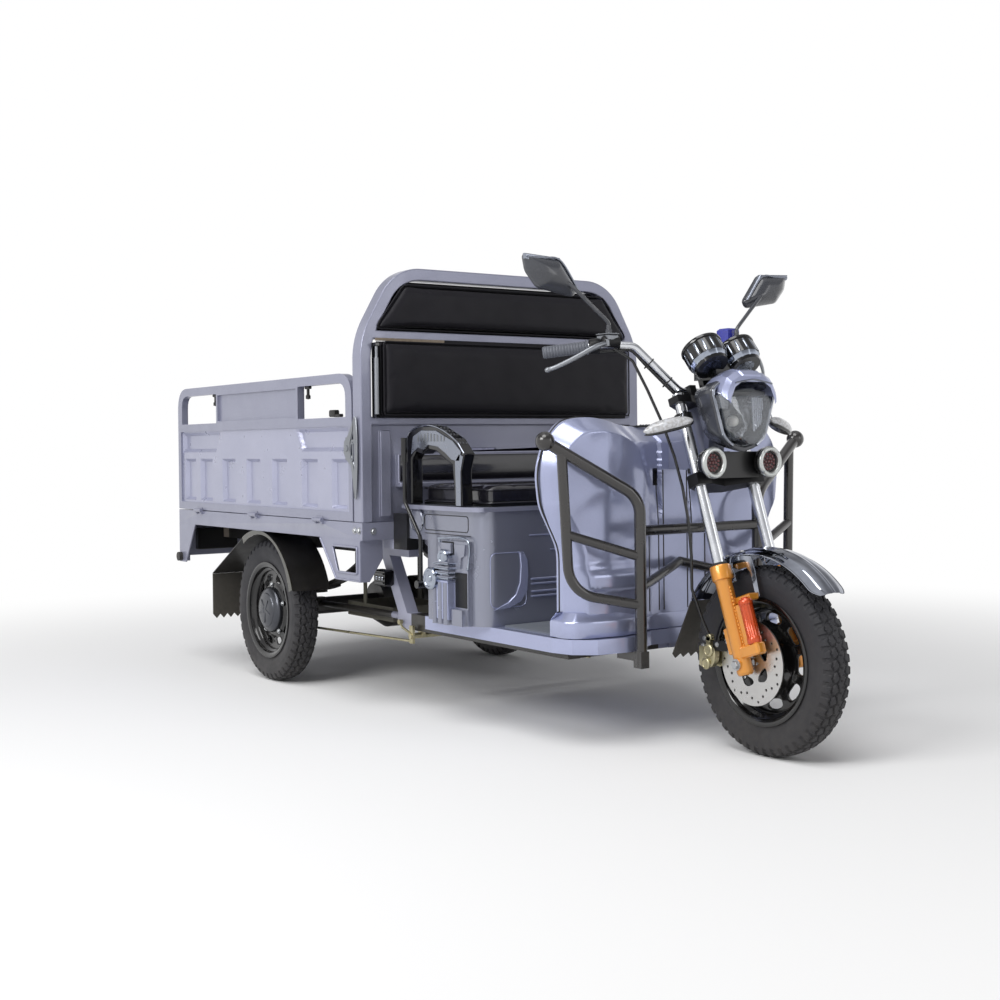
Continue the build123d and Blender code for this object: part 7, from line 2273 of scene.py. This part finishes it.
NODE_FINISHES = {
    "cargo_floor": PANEL_ENAMEL, "side_panel_right": PANEL_ENAMEL, "side_panel_left": PANEL_ENAMEL,
    "tailgate": PANEL_ENAMEL, "cab_hoop": PANEL_ENAMEL, "headboard": PANEL_ENAMEL,
    "bed_brackets": PANEL_ENAMEL, "rear_plate": PANEL_ENAMEL, "tail_lamps": RED_LENS,
    "buffers": MOULDED_RUBBER, "main_frame": FRAME_ENAMEL, "rear_axle": FRAME_ENAMEL,
    "leaf_springs": FRAME_ENAMEL, "torque_arms": FRAME_ENAMEL, "brake_linkage": YELLOW_ZINC,
    "under_tray": CASE_PAINT, "rear_fenders": FRAME_ENAMEL, "rear_flaps": FLAP_RUBBER,
    "seat_base": SEAT_LACQUER, "battery_block": BATTERY_CASE, "side_covers": SEAT_LACQUER,
    "armrests": POLISHED_PLASTIC, "parking_brake": POLISHED_PLASTIC, "floor_pan": SHELL_LACQUER,
    "floor_mat": MAT_RUBBER, "leg_shield": SHELL_LACQUER, "bull_bar": GUARD_COAT,
    "fork_yokes": GRAINED_PLASTIC, "fork_tubes": TUBE_CHROME, "fork_sliders": ORANGE_ANODISE,
    "front_fender": CHROME, "front_flap": FLAP_RUBBER, "brake_caliper": YELLOW_ZINC,
    "headlamp_shell": POLISHED_PLASTIC, "headlamp_lens": CLEAR_LENS, "spot_lamps": CHROME,
    "lamp_bracket": FRAME_ENAMEL, "gauges": POLISHED_PLASTIC, "handlebar": TUBE_CHROME,
    "grips": GRIP_RUBBER, "hand_controls": GRAINED_PLASTIC, "mirrors": POLISHED_PLASTIC,
    "turn_signals": CLEAR_LENS, "brake_hose": POLISHED_PLASTIC, "seat_cushion": SEAT_HIDE,
    "seat_pan": GRAINED_PLASTIC, "backrest_boards": PLYWOOD, "backrest_upper": LEATHERCLOTH,
    "backrest_lower": LEATHERCLOTH, "rear_tyre_right": TYRE_COMPOUND, "rear_tyre_left": TYRE_COMPOUND,
    "front_tyre": TYRE_COMPOUND, "rear_rim_right": WHEEL_ENAMEL, "rear_rim_left": WHEEL_ENAMEL,
    "front_rim": WHEEL_ENAMEL, "brake_disc": GROUND_STEEL,
}

# CAD nodes that a finer piece stands for
REPLACED = {
    "front_tyre", "rear_tyre_right", "rear_tyre_left", "front_rim", "rear_rim_right", "rear_rim_left",
    "brake_disc", "backrest_lower", "backrest_upper", "seat_cushion", "leg_shield", "headlamp_shell",
    "headlamp_lens", "spot_lamps", "mirrors", "turn_signals", "grips", "hand_controls",
    "side_panel_right", "side_panel_left", "front_fender", "fork_sliders", "brake_caliper",
    "backrest_boards", "tail_lamps",
}

# Pieces that stand in for a CAD node with rounded edges: node to (width of the rounding, steps)
SOFT_EDGES = {
    "cab_hoop": (5.0, 3), "cargo_floor": (2.0, 2), "side_panel_right": (1.6, 2),
    "side_panel_left": (1.6, 2), "tailgate": (1.6, 2), "headboard": (2.5, 2),
    "seat_base": (5.0, 3), "leg_shield": (2.0, 2), "floor_pan": (2.0, 2), "armrests": (4.0, 3),
    "bed_brackets": (1.2, 2), "side_covers": (2.0, 2), "headlamp_shell": (2.0, 2),
    "lamp_bracket": (1.5, 2), "brake_caliper": (2.5, 2), "mirrors": (1.5, 2),
}


def build_pieces(shop: Workshop) -> None:
    """Build every sub-assembly in order."""
    Tyre("front_tyre", "front_wheel", (WHEELBASE, 0.0, AXLE_Z), pitches=50).build(shop)
    for side, name in ((-1, "right"), (1, "left")):
        Tyre("rear_tyre_" + name, "rear_wheel_" + name, (0.0, side * HALF_TRACK, AXLE_Z),
             pitches=44, depth=6.0).build(shop)
        RearWheel(side).build(shop)
    FrontWheel().build(shop)
    Cushion("backrest_lower", "chassis", ((-488, 911), (488, 911), (488, 1141), (-488, 1141)),
            (777.5, 811.0), OUT_FRONT, LEATHERCLOTH, cap=6.0).build(shop)
    Cushion("backrest_upper", "chassis",
            ((-497, 1178), (497, 1178), (488, 1200), (402, 1316), (390, 1322), (-390, 1322), (-402, 1316),
             (-488, 1200)), (737.5, 783.0), OUT_FRONT, LEATHERCLOTH, cap=7.0).build(shop)
    Cushion("seat_cushion", "seat", ((862, -392), (1235, -392), (1235, 392), (862, 392)),
            (646.8, 698.5), np.eye(3), SEAT_HIDE, cap=8.0, rounding=16.0).build(shop)
    LegShield().build(shop)
    Headlamp().build(shop)
    for side in (-1, 1):
        SpotLamp(side).build(shop, side < 0)
        Gauge(side).build(shop)
    MirrorHead().build(shop)
    TurnSignals().build(shop)
    Handlebar().build(shop)
    DropSide(-1).build(shop)
    DropSide(1).build(shop)
    FrontFender().build(shop)
    Sliders().build(shop)
    Caliper().build(shop)
    SeatTrim().build(shop)
    SeatBoxFront().build(shop)
    BedTrim().build(shop)


def main() -> None:
    """Load the frame, dress it and add every piece."""
    logging.basicConfig(level=logging.INFO, format="%(name)s %(message)s")
    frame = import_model()
    shop = Workshop(frame)
    Studio().build()
    for node, finish in NODE_FINISHES.items():
        if node in REPLACED:
            continue
        if node in SOFT_EDGES:
            shop.softened(node, finish, *SOFT_EDGES[node])
        else:
            shop.finish_node(node, finish)
    build_pieces(shop)


if __name__ == "__main__":
    main()
